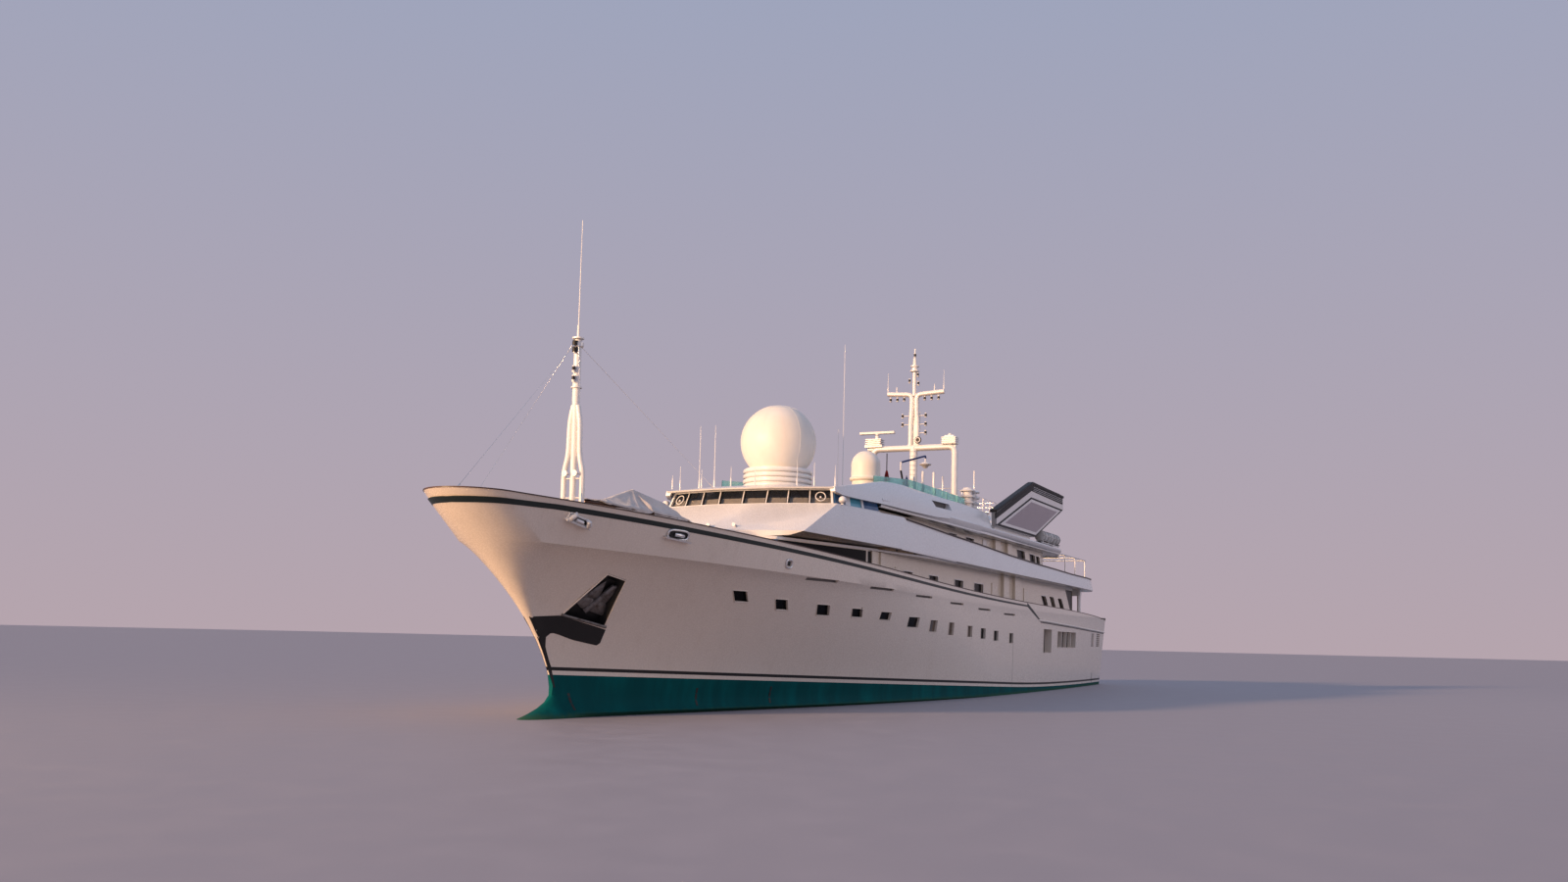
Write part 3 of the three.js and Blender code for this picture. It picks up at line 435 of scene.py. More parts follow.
# %% Canvas: two threads that cross, with soft stains
def canvas_weave():
    group, w, given = new_group("canvas weave", {
        "Colour": (0.5, 0.5, 0.5, 1), "Stain": (0.3, 0.3, 0.3, 1), "Thread": 0.0016, "Stains": 0.5})
    here = w.place()
    size = w.math("DIVIDE", 6.2832, given["Thread"])
    warp = w.math("SINE", w.math("MULTIPLY", w.math("ADD", w.part_of(here, 0),
                                                    w.math("MULTIPLY", w.part_of(here, 2), 0.5)), size))
    weft = w.math("SINE", w.math("MULTIPLY", w.math("ADD", w.part_of(here, 1),
                                                    w.math("MULTIPLY", w.part_of(here, 2), 0.5)), size))
    weave = w.math("ADD", w.math("MULTIPLY", w.math("ABSOLUTE", warp), 0.5),
                   w.math("MULTIPLY", w.math("ABSOLUTE", weft), 0.5))
    cloud = w.math("MULTIPLY", w.span(w.noise(w.place(), 9, 4, 0.6), 0.4, 0.75), given["Stains"])
    colour = w.mix(w.math("ADD", cloud, w.math("MULTIPLY", w.math("SUBTRACT", 1.0, weave), 0.12)),
                   given["Colour"], given["Stain"])
    put_out(w, colour, w.math("ADD", 0.75, w.math("MULTIPLY", cloud, 0.2)), weave)
    return group


# %% Metal and moulded shells
def handled_metal():
    group, w, given = new_group("handled metal", {
        "Colour": (0.6, 0.6, 0.6, 1), "Dull": (0.3, 0.3, 0.3, 1), "Wear": 0.4, "Gloss": 0.25})
    spots = w.span(w.noise(w.place(), 34, 5, 0.65), 0.45, 0.72)
    lines = w.noise(w.place((1, 1, 5)), 120, 2)
    worn = w.math("MULTIPLY", spots, given["Wear"])
    rough = w.math("ADD", given["Gloss"], w.math("ADD", w.math("MULTIPLY", worn, 0.35),
                                                 w.math("MULTIPLY", lines, 0.08)))
    put_out(w, w.mix(worn, given["Colour"], given["Dull"]), rough, lines)
    return group


def moulded_shell():
    group, w, given = new_group("moulded shell", {
        "Colour": (0.8, 0.8, 0.8, 1), "Chalk": (0.7, 0.7, 0.68, 1), "Peel": 0.5, "Gloss": 0.4})
    cloud = w.span(w.noise(w.place((1, 1, 0.5)), 6, 4, 0.6), 0.4, 0.7)
    peel = w.math("MULTIPLY", w.noise(w.place(), 420, 2), given["Peel"])
    colour = w.mix(w.math("MULTIPLY", cloud, 0.6), given["Colour"], given["Chalk"])
    put_out(w, colour, w.math("ADD", given["Gloss"], w.math("MULTIPLY", cloud, 0.15)), peel)
    return group


PLATE, BOTTOM, TEAK = painted_plate(), bottom_coat(), teak_planks()
CANVAS, METAL, SHELL = canvas_weave(), handled_metal(), moulded_shell()
print("effects:", [g.name for g in bpy.data.node_groups if g.bl_idname == "ShaderNodeTree"][-6:])


# %% The finishes themselves
def tone(red, green, blue):
    """A colour as a painter would name it, from 0 to 255, turned into linear light."""
    straight = [v / 255 for v in (red, green, blue)]
    return tuple(v / 12.92 if v <= 0.04045 else ((v + 0.055) / 1.055) ** 2.4 for v in straight) + (1.0,)


def finish(name, effect, values, bump=0.0, depth=0.002, **plain):
    """A material: an effect for what changes over the surface, and plain values for the rest."""
    made = bpy.data.materials.new(name)
    made.use_nodes = True
    w = Wiring(made.node_tree)
    shader = made.node_tree.nodes["Principled BSDF"]
    for label, value in plain.items():
        shader.inputs[label.replace("_", " ")].default_value = value
    painted = w.node("ShaderNodeGroup", node_tree=effect)
    for label, value in values.items():
        painted.inputs[label].default_value = value
    w.feed(painted.outputs["Colour"], shader.inputs["Base Color"])
    w.feed(painted.outputs["Roughness"], shader.inputs["Roughness"])
    if bump:
        relief = w.node("ShaderNodeBump", {"Strength": bump, "Distance": depth,
                                           "Height": painted.outputs["Height"]})
        w.feed(relief.outputs[0], shader.inputs["Normal"])
    made.diffuse_color = values.get("Colour", values.get("Light", (0.5, 0.5, 0.5, 1)))
    return made


def paint(name, colour, grime, streaks=0.2, gloss=0.22, bump=0.25, coat=0.35, underside_shade=0.0):
    return finish(name, PLATE, {"Colour": tone(*colour), "Grime": tone(*grime), "Streaks": streaks,
                                "Gloss": gloss,
                                "Painted underside shade": underside_shade},
                  bump=bump, depth=0.0012, Coat_Weight=coat, Coat_Roughness=0.08)


# The last value of each paint sets its painted shade on faces that look down.
ivory = paint("ivory hull paint", (238, 224, 208), (178, 156, 130), 0.14, bump=0.22, underside_shade=0.2)
white = paint("white deckhouse paint", (240, 238, 236), (186, 176, 164), 0.16, underside_shade=0.55)
cream = paint("cream wall paint", (238, 226, 208), (186, 166, 140), 0.2, underside_shade=0.25)
black = paint("black paint", (9, 9, 11), (40, 37, 34), 0.25, 0.5, coat=0.0)
stripe_green = paint("dark green stripe paint", (6, 27, 24), (30, 44, 40), 0.2, 0.42, coat=0.08)
# Grey for the plating seam, and painted shade at the back of recesses, slots and louvres.
shadow_grey = paint("grey seam paint and painted recess shade", (96, 92, 90), (60, 56, 52), 0.4, 0.5, coat=0.0)
antifouling = finish("teal antifouling", BOTTOM, {
    "Colour": tone(0, 74, 76), "Faded": tone(4, 112, 110), "Weed": tone(44, 84, 66), "Gloss": 0.7},
    bump=0.4,
    Specular_IOR_Level=0.08)
deck_teak = finish("deck teak", TEAK, {"Light": tone(176, 148, 116), "Dark": tone(134, 106, 78)}, bump=0.5,
                   depth=0.0008)
rail_teak = finish("varnished rail teak", TEAK, {
    "Light": tone(78, 48, 32), "Dark": tone(46, 26, 17), "Plank": 0.05, "Caulk": 0.0}, bump=0.2,
    depth=0.0005,
    Coat_Weight=0.3, Coat_Roughness=0.2)
canvas = finish("grey-white canvas", CANVAS, {
    "Colour": tone(214, 206, 202), "Stain": tone(150, 140, 134), "Stains": 0.45}, bump=0.6, depth=0.0006,
    Sheen_Weight=0.3)
steel = finish("polished steel", METAL, {"Colour": tone(232, 230, 228), "Dull": tone(176, 170, 164)},
               bump=0.15,
               depth=0.0004, Metallic=1.0)
galvanised = finish("grey anchor steel", METAL, {"Colour": tone(128, 124, 122), "Dull": tone(78, 62, 50),
                                                 "Wear": 0.8,
                    "Gloss": 0.45}, bump=0.5, depth=0.0008, Metallic=0.8)
bronze = finish("propeller bronze", METAL, {"Colour": tone(186, 142, 78), "Dull": tone(104, 92, 62),
                                            "Gloss": 0.28},
                bump=0.3, depth=0.0006, Metallic=1.0)
dome_white = finish("dome shell", SHELL, {"Colour": tone(242, 238, 230), "Chalk": tone(226, 218, 206)},
                    bump=0.2,
                    depth=0.0004)
raft_white = finish("raft canister shell", SHELL, {"Colour": tone(214, 212, 208),
                                                   "Chalk": tone(180, 176, 170)},
                    bump=0.3, depth=0.0006)
rubber = finish("black rubber", SHELL, {"Colour": tone(24, 24, 25), "Chalk": tone(52, 50, 48),
                                        "Gloss": 0.6}, bump=0.4)
dark_glass = finish("dark window glass", SHELL, {"Colour": tone(8, 8, 10), "Chalk": tone(15, 16, 19),
                                                 "Peel": 0.0,
                    "Gloss": 0.2}, Specular_IOR_Level=0.06)
warm_glass = finish("window with drawn curtains", SHELL, {"Colour": tone(96, 78, 62),
                                                          "Chalk": tone(58, 46, 38),
                    "Peel": 0.0, "Gloss": 0.08}, Coat_Weight=0.2, Coat_Roughness=0.04)
blue_glass_and_sky_reflection = finish("blue-tinted glass and painted sky reflection", SHELL, {"Colour": tone(40, 92, 140), "Chalk": tone(26, 58, 96),
                                                 "Peel": 0.0,
                    "Gloss": 0.06}, Coat_Weight=0.3, Coat_Roughness=0.04)
clear_glass = finish("bridge glass", SHELL, {"Colour": tone(34, 44, 58), "Chalk": tone(24, 32, 44),
                                             "Peel": 0.0,
                     "Gloss": 0.03}, Alpha=0.3, Coat_Weight=0.3, Coat_Roughness=0.03)
teal_glass = finish("teal-tinted glass", SHELL, {"Colour": tone(84, 168, 190), "Chalk": tone(56, 120, 150),
                                                 "Peel": 0.0,
                    "Gloss": 0.06}, Coat_Weight=0.3, Coat_Roughness=0.04)
sea_glass = finish("turquoise windbreak glass", SHELL, {"Colour": tone(150, 232, 226),
                                                        "Chalk": tone(120, 214, 208),
                   "Peel": 0.0, "Gloss": 0.05}, Transmission_Weight=0.9, IOR=1.45)
joinery_wood = finish("varnished joinery", TEAK, {"Light": tone(150, 98, 56), "Dark": tone(104, 62, 32),
                                                  "Plank": 0.04,
                      "Caulk": 0.02}, bump=0.2, depth=0.0004, Coat_Weight=0.5)
# The funnel grey is a paint colour, darkened also as painted shade of the leaning panel.
funnel_grey_with_painted_shade = paint("grey funnel paint with painted shade", (158, 146, 154), (140, 126, 128), 0.15, 0.3, coat=0.15)
buff = paint("buff boat paint", (214, 172, 150), (160, 122, 100), 0.25, 0.35, coat=0.2)
signal_red = finish("red canvas", CANVAS, {"Colour": tone(150, 26, 22), "Stain": tone(104, 20, 18),
                                           "Stains": 0.4},
                    bump=0.5, depth=0.0005)
signal_blue = finish("blue canvas", CANVAS, {"Colour": tone(44, 66, 120), "Stain": tone(28, 44, 84),
                                             "Stains": 0.4},
                     bump=0.5, depth=0.0005)
print("finishes:", len(bpy.data.materials))
# %% [markdown]
# ## The floor
#
# The model floats, so the plain floor stands for the water: it lies at the waterline, and hides
# what is below it. It is a stage, not a part of the ship. It is much wider than the ship, so that
# its edge is far off and the sky tone meets it softly.

# %% Floor at the waterline
def pale_floor():
    mesh = bpy.data.meshes.new("floor")
    reach = 150
    mesh.from_pydata([(-reach, -reach, 0), (reach, -reach, 0), (reach, reach, 0), (-reach, reach, 0)], [],
                     [(0, 1, 2, 3)])
    floor = bpy.data.objects.new("floor", mesh)
    scene.collection.objects.link(floor)
    mesh.materials.append(finish("pale floor", SHELL, {"Colour": tone(160, 154, 160),
                                                       "Chalk": tone(170, 164, 170),
                                                       "Gloss": 0.55}))
    return floor


pale_floor()
print("floor at the waterline")
# %% [markdown]
# ## The lines of the hull
#
# A hull is drawn by its lines: the sheer is the curve of the rail seen from the side, the stem
# is the profile of the bow, and each height has its own half-breadth. Short formulas for these
# lines give a fair surface at any place, so that stripes, windows and fittings can be laid on
# the hull exactly, whatever the fineness of the mesh. A flare widens the bow up to a knuckle;
# above it the side goes straight up to the rail.

# %% Sheer, keel, stem and half-breadths
BOW_X, STERN_X = 43.0, -43.7
KEEL_Z, BULWARK, PLATING = -4.9, 1.1, 0.15
STEM_FOOT, STEM_TOP = 1.18, 8.3
BULB_NOSE, BULB_Z = 37.6, -1.9


def sheer(x):
    line = 6.55 + 0.0298 * x + 0.000254 * x * x + 2.2e-7 * x * x * (BOW_X * BOW_X - x * x)
    return line + 0.16 * clamp((x - 28) / 13) ** 1.5


def deck(x):
    return sheer(x) - BULWARK - 0.16 * clamp((x - 28) / 13) ** 1.5


def knuckle(x):
    return 5.85 + 0.0115 * x + 0.00029 * x * x


def keel(x):
    return KEEL_Z + 3.9 * clamp((-18 - x) / 25.7) ** 1.6


def transom(z):
    return STERN_X + 0.16 * (6 - z)


def bulb_share(z):
    half = STEM_FOOT - BULB_Z if z > BULB_Z else BULB_Z - KEEL_Z
    return min(1.0, abs(z - BULB_Z) / half)


def bulb_profile(z):
    reach = 3.1 if z > BULB_Z else 4.6
    return BULB_NOSE - reach * (1 - math.sqrt(1 - bulb_share(z) ** 2))


def stem(z):
    """The raked stem, its hollow foot just above the water, and the bulb below."""
    if z >= STEM_FOOT:
        k = (min(z, STEM_TOP + 0.04) - STEM_FOOT) / (STEM_TOP - STEM_FOOT)
        return 34.9 + 2.46 * k + 6.8 * k**2 - 2.06 * k**3
    if z > 0:
        return 34.9 + (bulb_profile(0) - 34.9) * (1 - z / STEM_FOOT) ** 2.5
    return bulb_profile(z)


def half_breadth(x, z):
    """Distance from the centreline to the side, at a place along the ship and a height."""
    up = clamp(z / knuckle(x))
    flare = lerp(up**1.2, up**6, 0.15)
    reach = max(35.2, min(BOW_X, stem(z))) if z > 0 else 35.2
    entry = clamp((reach - x) / lerp(41, 33, flare))
    wide = lerp(6.45, 6.6, up) * (1 - (1 - entry) ** lerp(1.7, 2.5, flare)) ** lerp(1, 0.75, flare)
    nose = 1.65 * flare**2.5
    if nose > 0.02:
        nose *= math.sqrt(1 - (1 - clamp((reach - x) / nose)) ** 2)
        wide = (wide**3 + nose**3) ** (1 / 3)
    aft = clamp((-8 - x) / 36)
    wide *= 1 - lerp(0.2, 0.15, up) * aft**2.2
    below = knuckle(x) - z
    if below > 0 and z > 0:  # a hollow just under the knuckle sharpens the fold there
        wide -= 0.075 * clamp((x - 6) / 14) * clamp(wide
                                                    / 1.6) * (below / 0.42) * math.exp(1 - below / 0.42)
    if z < 0:
        depth = clamp(z / keel(x))
        fullness = lerp(1.9, 5, clamp((26 - x) / 22) ** 0.8) * lerp(1, 0.55, aft)
        wide *= max(0.0, 1 - depth**fullness) ** (1 / 2.2)
    if z < STEM_FOOT and x > 26:
        tip = clamp((stem(z) - x) / 2.4)
        bulb = 0.95 * math.sqrt(1 - bulb_share(z) ** 2) * math.sqrt(1 - (1 - tip) ** 2)
        wide = (wide**3 + bulb**3) ** (1 / 3)
    return wide


def side_point(station, height):
    """The point of the port side at a share of the length, on a line given by its height."""
    x = lerp(STERN_X, BOW_X, station)
    for _ in range(6):
        z = height(x)
        x = lerp(transom(z), stem(z), station)
    return x, 0.0 if station == 1 else half_breadth(x, z), z


def on_side(x, z, out=0.0):
    """A point on the port side, moved outwards by a distance along the surface's own normal."""
    step = 0.02
    y = half_breadth(x, z)
    slope_x = (half_breadth(x + step, z) - half_breadth(x - step, z)) / (2 * step)
    slope_z = (half_breadth(x, z + step) - half_breadth(x, z - step)) / (2 * step)
    return Vector((x, y, z)) + Vector((-slope_x, 1, -slope_z)).normalized() * out


def side_patch(x0, x1, low, high, inside, outside, finish=0, columns=2, rows=2, face=None):
    """A plate bent to the port side; `low` and `high` are heights or lines, `face` its outer finish."""
    at = lambda line, x: line(x) if callable(line) else line
    patch = Shape()
    sheets = []
    for out in (inside, outside):
        sheets.append([[on_side(lerp(x0, x1, i / (columns - 1)),
                                lerp(at(low, lerp(x0, x1, i / (columns - 1))),
                                     at(high, lerp(x0, x1, i / (columns - 1))), j / (rows - 1)), out)
                        for j in range(rows)] for i in range(columns)])
    ring = ([(i, 0) for i in range(columns)] + [(columns - 1, j) for j in range(1, rows)]
            + [(i, rows - 1) for i in range(columns - 2, -1, -1)]
            + [(0, j) for j in range(rows - 2, 0, -1)])
    for sheet, shade in zip(sheets, (finish if face is None else face, finish)):
        flat = [c for column in sheet for c in column]
        quads = [(i * rows + j, (i + 1) * rows + j, (i + 1) * rows + j + 1, i * rows + j + 1)
                 for i in range(columns - 1) for j in range(rows - 1)]
        patch.put(flat, quads, shade)
    patch.loft([[sheets[0][i][j] for i, j in ring], [sheets[1][i][j] for i, j in ring]], finish, caps=False)
    return patch


print("length", round(stem(STEM_TOP) - transom(6), 1), "beam", round(2 * half_breadth(0, 6), 2))

# %% [markdown]
# ## The hull as one skin
#
# The hull is one closed skin from the keel to the rail, over the bulwark and across the deck.
# Its rows follow the painted lines, so each strip of faces can have its own finish and the
# edges of the stripes are as sharp as masking tape leaves them. Windows, hawse slots, the
# anchor pockets and the openings aft are cut out of it afterwards with one boolean; the
# inner face of each cutter carries the finish of the glass, and the backs of the slots,
# louvres and doorway carry grey painted shade.

# %% Rows of the hull and its stripes
STATIONS = [1 - (1 - i / 140) ** 1.8 for i in range(141)]
UNDER = [1, 0.99, 0.965, 0.92, 0.86, 0.78, 0.68, 0.57, 0.45, 0.33, 0.21, 0.1]


def boot_top(x):
    """Upper edge of the black boot stripe; the ship floats a little down by the stern."""
    return 1.07 + 0.027 * x if x > -10 else 0.54 + 0.26 * math.exp((x + 10) * 0.104)


def hull_rows():
    """Height lines from the keel to the rail, each with the finish of the strip above it."""
    rows = [(lambda x, s=s: s * keel(x), 1) for s in UNDER]
    rows += [(lambda x, s=s: s * (boot_top(x) - 0.31), 1) for s in (0.0, 0.1, 0.22, 0.36, 0.52, 0.75)]
    rows += [(lambda x: boot_top(x) - 0.31, 0), (lambda x: boot_top(x) - 0.14, 2)]
    rows += [(lambda x, k=k: lerp(boot_top(x), knuckle(x), k / 9), 0) for k in range(8)]
    rows += [(lambda x, d=d: knuckle(x) - d, 0) for d in (0.55, 0.35, 0.18, 0.07)]
    rows += [(lambda x, k=k: lerp(knuckle(x), sheer(x), k / 3), 0) for k in range(3)]
    return rows + [(sheer, 0)]


def inner_point(station, height):
    """The inner face of the bulwark, which thickens towards the bow."""
    x, y, z = side_point(station, height)
    if station == 1:
        return x - 3 * PLATING, 0.0, z
    forward = PLATING if station == 0 else 0.0
    return x + forward - 2 * PLATING * station**8, max(0.02, y - PLATING * (1 + 0.6 * station**4)), z


def hull_skin():
    rows = hull_rows()
    tones = [shade for _, shade in rows[:-1]] + [0, 0, 3, 3, 3]
    skin = Shape()
    lines = []
    for s in STATIONS:
        line = [side_point(s, height) for height, _ in rows]
        line[0] = (line[0][0], 0.0, line[0][2])
        foot = inner_point(s, deck)
        line += [inner_point(s, sheer), foot]
        line += [(foot[0], foot[1] * share, foot[2] + 0.07 * (1 - share**2)) for share in (0.66, 0.33, 0.0)]
        lines.append(line)
    for side in (1, -1):
        ring = [[(x, side * y, z) for x, y, z in line] for line in lines]
        skin.loft(ring, tones, loop=False, caps=False)
    for j in range(len(rows) + 1):
        (ax, ay, az), (bx, by, bz) = lines[0][j], lines[0][j + 1]
        skin.put([(ax, ay, az), (bx, by, bz), (bx, -by, bz), (ax, -ay, az)], [(0, 1, 2, 3)], tones[j])
    return skin


hull = make("hull_shell", hull_skin(), [ivory, antifouling, black, deck_teak],
            replaces=["hull", "bulwark_stern"] + [n for part in ("bow", "shoulder", "waist", "quarter")
                                                  for n in pair(f"bulwark_{part}")])
for edge in hull.data.edges:
    ends = [hull.data.vertices[v].co / SCALE for v in edge.vertices]
    if all(9 < p.x < 39 and abs(p.z - knuckle(p.x)) < 0.004 and abs(p.y) > 0.2 for p in ends):
        edge.use_edge_sharp = True
print("hull faces:", len(hull.data.polygons))
# %% [markdown]
# ## Openings in the hull
#
# The side has a row of small cabin windows that follows the sheer, a row of narrow hawse slots
# above it, a boarding doorway, a long opening on the quarter and two stacks of louvres. A cutter
# is bent to the side for each of them, so that every recess is square to the plating.

# %% Cutting with one boolean
def carve(obj, cutter, finishes, sharp=32):
    """Cuts a closed form out of a piece; the new faces take the cutter's own finishes."""
    mesh = bpy.data.meshes.new("cutter")
    mesh.from_pydata([tuple(v * SCALE for v in c) for c in cutter.corners], [], cutter.faces)
    for made in finishes:
        mesh.materials.append(made)
    for face, shade in zip(mesh.polygons, cutter.finishes):
        face.material_index = shade
    work = bmesh.new()
    work.from_mesh(mesh)
    bmesh.ops.remove_doubles(work, verts=work.verts, dist=1e-5)
    bmesh.ops.recalc_face_normals(work, faces=work.faces)
    work.to_mesh(mesh)
    work.free()
    tool = bpy.data.objects.new("cutter", mesh)
    scene.collection.objects.link(tool)
    cut = obj.modifiers.new("cut", "BOOLEAN")
    cut.object, cut.solver, cut.operation, cut.material_mode = tool, "EXACT", "DIFFERENCE", "TRANSFER"
    cut.use_self = True
    result = bpy.data.meshes.new_from_object(obj.evaluated_get(bpy.context.evaluated_depsgraph_get()))
    obj.modifiers.remove(cut)
    bpy.data.objects.remove(tool)
    before = len(obj.data.polygons)
    obj.data = result
    result.shade_smooth()
    result.set_sharp_from_angle(angle=math.radians(sharp))
    print(obj.name, "cut:", before, "to", len(result.polygons), "faces")


# %% Windows, slots and doors of the hull
RAKED_HULL_WINDOWS = [  # aft end, forward end, sill, head, lean of the sides
    (25.9, 26.85, 4.92, 5.42, 0.55), (22.8, 23.75, 4.66, 5.16, 0.45), (19.2, 20.35, 4.5, 5.04, 0.35),
    (16.0, 17.1, 4.5, 4.95, 0.25)]
HULL_WINDOWS = [  # aft end, forward end, sill, head
    (12.85, 14.1, 4.45, 4.86), (9.0, 10.5, 4.14, 4.69), (6.2, 7.3, 3.94, 4.59), (3.3, 4.2, 3.8, 4.53),
    (-0.29, 0.63, 3.73, 4.4), (-3.1, -2.1, 3.65, 4.3), (-6.0, -5.0, 3.55, 4.19), (-9.6, -8.7, 3.42, 4.08)]
HAWSE_SLOTS = [(19.9, 22.8, 6.15), (13.4, 16.3, 6.02), (7.5, 10.1, 5.85), (1.7, 4.2, 5.66),
               (-4.0, -1.4, 5.48),
               (-9.9, -7.2, 5.32)]
DOORWAY = (-20.6, -18.1, 2.8, 4.5)
QUARTER_OPENING = (-29.5, -22.7, 3.2, 4.4)
LOUVRES = [(-38.0, -36.7), (-41.2, -39.4)]


def hull_cutters():
    """Recesses: finish 0 is the reveal, 1 dark glass, 2 curtained glass, 3 grey painted shade for the dark
    inside.
    """
    tools = Shape()
    for x0, x1, low, high, lean in RAKED_HULL_WINDOWS:
        outline = [(x0, low), (x1, low), (x1 + lean, high), (x0 + lean, high)]
        inner, outer = ([on_side(x, z, out) for x, z in outline] for out in (-0.12, 0.4))
        tools.loft([inner, outer], 0, caps=False).put(inner, [(0, 1, 2, 3)],
                                                      1).put(outer, [(3, 2, 1, 0)], 0)
    for k, (x0, x1, low, high) in enumerate(HULL_WINDOWS):
        tools.join(side_patch(x0, x1, low, high, -0.12, 0.4, 0, columns=3, face=2 if k in (2, 3, 4) else 1))
    for x0, x1, z in HAWSE_SLOTS:
        spots = [lerp(x0, x1, k / 3) for k in range(4)]
        corners = ((-0.14, -0.06), (0.4, -0.06), (0.4, 0.06), (-0.14, 0.06))
        tools.loft([[(x, half_breadth(x, z) + out, z + up) for out, up in corners] for x in spots],
                   [0, 0, 0, 3])
    x0, x1, low, high = DOORWAY
    tools.join(side_patch(x0, x1, low, high, -0.5, 0.4, 0, face=3))
    x0, x1, low, high = QUARTER_OPENING
    tools.join(side_patch(x0, x1, low, high, -0.5, 0.4, 0, columns=6, face=1))
    for x0, x1 in LOUVRES:
        for k in range(7):
            z = 3.34 + 0.165 * k
            tools.join(side_patch(x0, x1, z, z + 0.09, -0.1, 0.4, 0, face=3))
    return tools.mirror()


carve(hull, hull_cutters(), [ivory, dark_glass, warm_glass, shadow_grey])

# %% [markdown]
# ## Anchor pockets and the stern opening
#
# The anchors lie in deep dark pockets cut into the flare, and the paint below them is black
# where the flukes scrape. The pocket is a simple wedge behind four corners on the hull. At the
# stern a wide recess holds the door that drops to make a bathing platform.

# %% Pockets and recess
# place along and height of the mouth's corners
POCKET = [(33.24, 3.68), (35.41, 4.1), (34.51, 5.73), (33.48, 5.53)]


def pocket_cutter():
    tool = Shape()
    back = [on_side(x, z) - Vector((0, 0.5, 0)) for x, z in POCKET]
    mouth = [on_side(x, z) + Vector((0, 1.5, 0.1)) for x, z in POCKET]
    return tool.loft([back, mouth], 0)


def stern_recess():
    back = transom(0.9) + 0.05 + 0.22 + 0.004
    return Shape().box((STERN_X - 2, back), (-2.26, 2.26), (0.84, 3.96), 1)


# The stern recess is lined with grey painted shade.
carve(hull, pocket_cutter().mirror().join(stern_recess()), [black, shadow_grey])

# %% Rudder bosses and the skeg, under water
def rudder_bosses():
    form = Shape()
    for y in (-2.4, 2.4):
        form.spin((-40.6, y, 0), [(0.0, -2.046), (0.30, -2.046), (0.34, -2.0), (0.36, -1.4), (0.42, -0.7)],
                  28)
    return form


def skeg():
    return Shape().profile([(-16, -4.5), (-17, -4.9), (-33.5, -4.9), (-34.3, -4.5), (-35, -3.2),
                            (-35, -2.0),
                            (-24, -3.2)], -0.14, 0.14)


make("rudder_bosses", rudder_bosses(), [antifouling])
make("skeg", skeg(), [antifouling], bevel=0.05)
print("underwater fittings made")

# %% [markdown]
# ## Stripes, rail cap and rubbing ledge
#
# A varnished teak cap closes the bulwark. Below it runs a narrow dark green stripe, which
# steps down on the quarter; aft of the step the same dark paint runs on as a painted shadow
# under a moulded ledge. Each of them is a thin strip bent to the side; a painted stripe stands
# only a centimetre proud.

# %% Cap of the rail
def rail_cap():
    """A section carried round the whole sheer, from the stem to the middle of the transom."""
    cap = Shape()
    stations = STATIONS[:-1]
    rings = []
    for s in stations:
        x, y, z = side_point(s, sheer)
        xi, yi, _ = inner_point(s, sheer)
        slope = (half_breadth(x + 0.05, z) - half_breadth(x - 0.05, z)) / 0.1
        out = Vector((-slope, 1, 0)).normalized() * 0.025
        outer, inner = Vector((x, y, z)) + out, Vector((xi, max(0.0, yi), z)) - out
        rings.append([outer + Vector((0, 0, -0.01)), outer + Vector((0, 0, 0.035)),
                      inner + Vector((0, 0, 0.035)),
                      inner + Vector((0, 0, -0.01))])
    x = stem(sheer(42.1)) - 0.02
    z = sheer(x)
    rings.append([Vector((x + 0.045, 0, z + h)) for h in (-0.01, 0.035)]
                 + [Vector((x - 0.48, 0, z + h)) for h in (0.035, -0.01)])
    cap.loft(rings).mirror()
    aft = transom(sheer(STERN_X))
    end = rings[0][0].y
    return cap.box((aft - 0.012, aft + 0.17), (-end, end), (sheer(aft) - 0.01, sheer(aft) + 0.035))


make("teak_rail_cap", rail_cap(), [rail_teak])


# %% Green stripe, its step on the quarter, and the ledge
LEDGE = [(-16.4, 5.11), (-22.8, 4.98), (-30.1, 4.85), (-34.2, 4.76), (-43.4, 4.61)]


def along(points, x):
    """Height at a place along the ship on a line given by a few points."""
    ordered = sorted(points)
    if x <= ordered[0][0]:
        return ordered[0][1]
    for (xa, za), (xb, zb) in zip(ordered, ordered[1:]):
        if x <= xb:
            return lerp(za, zb, (x - xa) / (xb - xa))
    return ordered[-1][1]


def bent_strip(points, inside, outside, finish=0):
    """A strip between pairs of heights: (x, low, high) at each place, bent to the side."""
    rings = [[on_side(x, low, inside), on_side(x, low, outside), on_side(x, high, outside),
              on_side(x, high, inside)]
             for x, low, high in points]
    return Shape().loft(rings, finish)


def stripe_width(x):
    return lerp(0.12, 0.19, clamp((x + 13) / 50))


def proud_of_side(station, height, out=0.01):
    """A point on a height line, a little outside the plating; at the stem it lies ahead of it."""
    x, _, z = side_point(station, height)
    return Vector((x + out, 0, z)) if station == 1 else on_side(x, z, out)


def stripe_drop(x):
    return 0.18 + 0.12 * clamp((x - 38.5) / 3.5)


def green_stripe():
    upper = lambda x: sheer(x) - stripe_drop(x)
    lower = lambda x: sheer(x) - stripe_drop(x) - stripe_width(x)
    rings = []
    for s in STATIONS:
        if lerp(STERN_X, BOW_X, s) < -13:
            continue
        top, foot = proud_of_side(s, upper), proud_of_side(s, lower)
        rings.append([foot, top, proud_of_side(s, upper, -0.02), proud_of_side(s, lower, -0.02)])
    step = [(lerp(-17.0, -13.0, k / 10), lerp(5.0, sheer(-13.0) - 0.30, k / 10),
             lerp(5.11, sheer(-13.0) - 0.02, k / 10)) for k in range(11)]
    return Shape().loft(rings).join(bent_strip(step, -0.02, 0.008)).mirror()


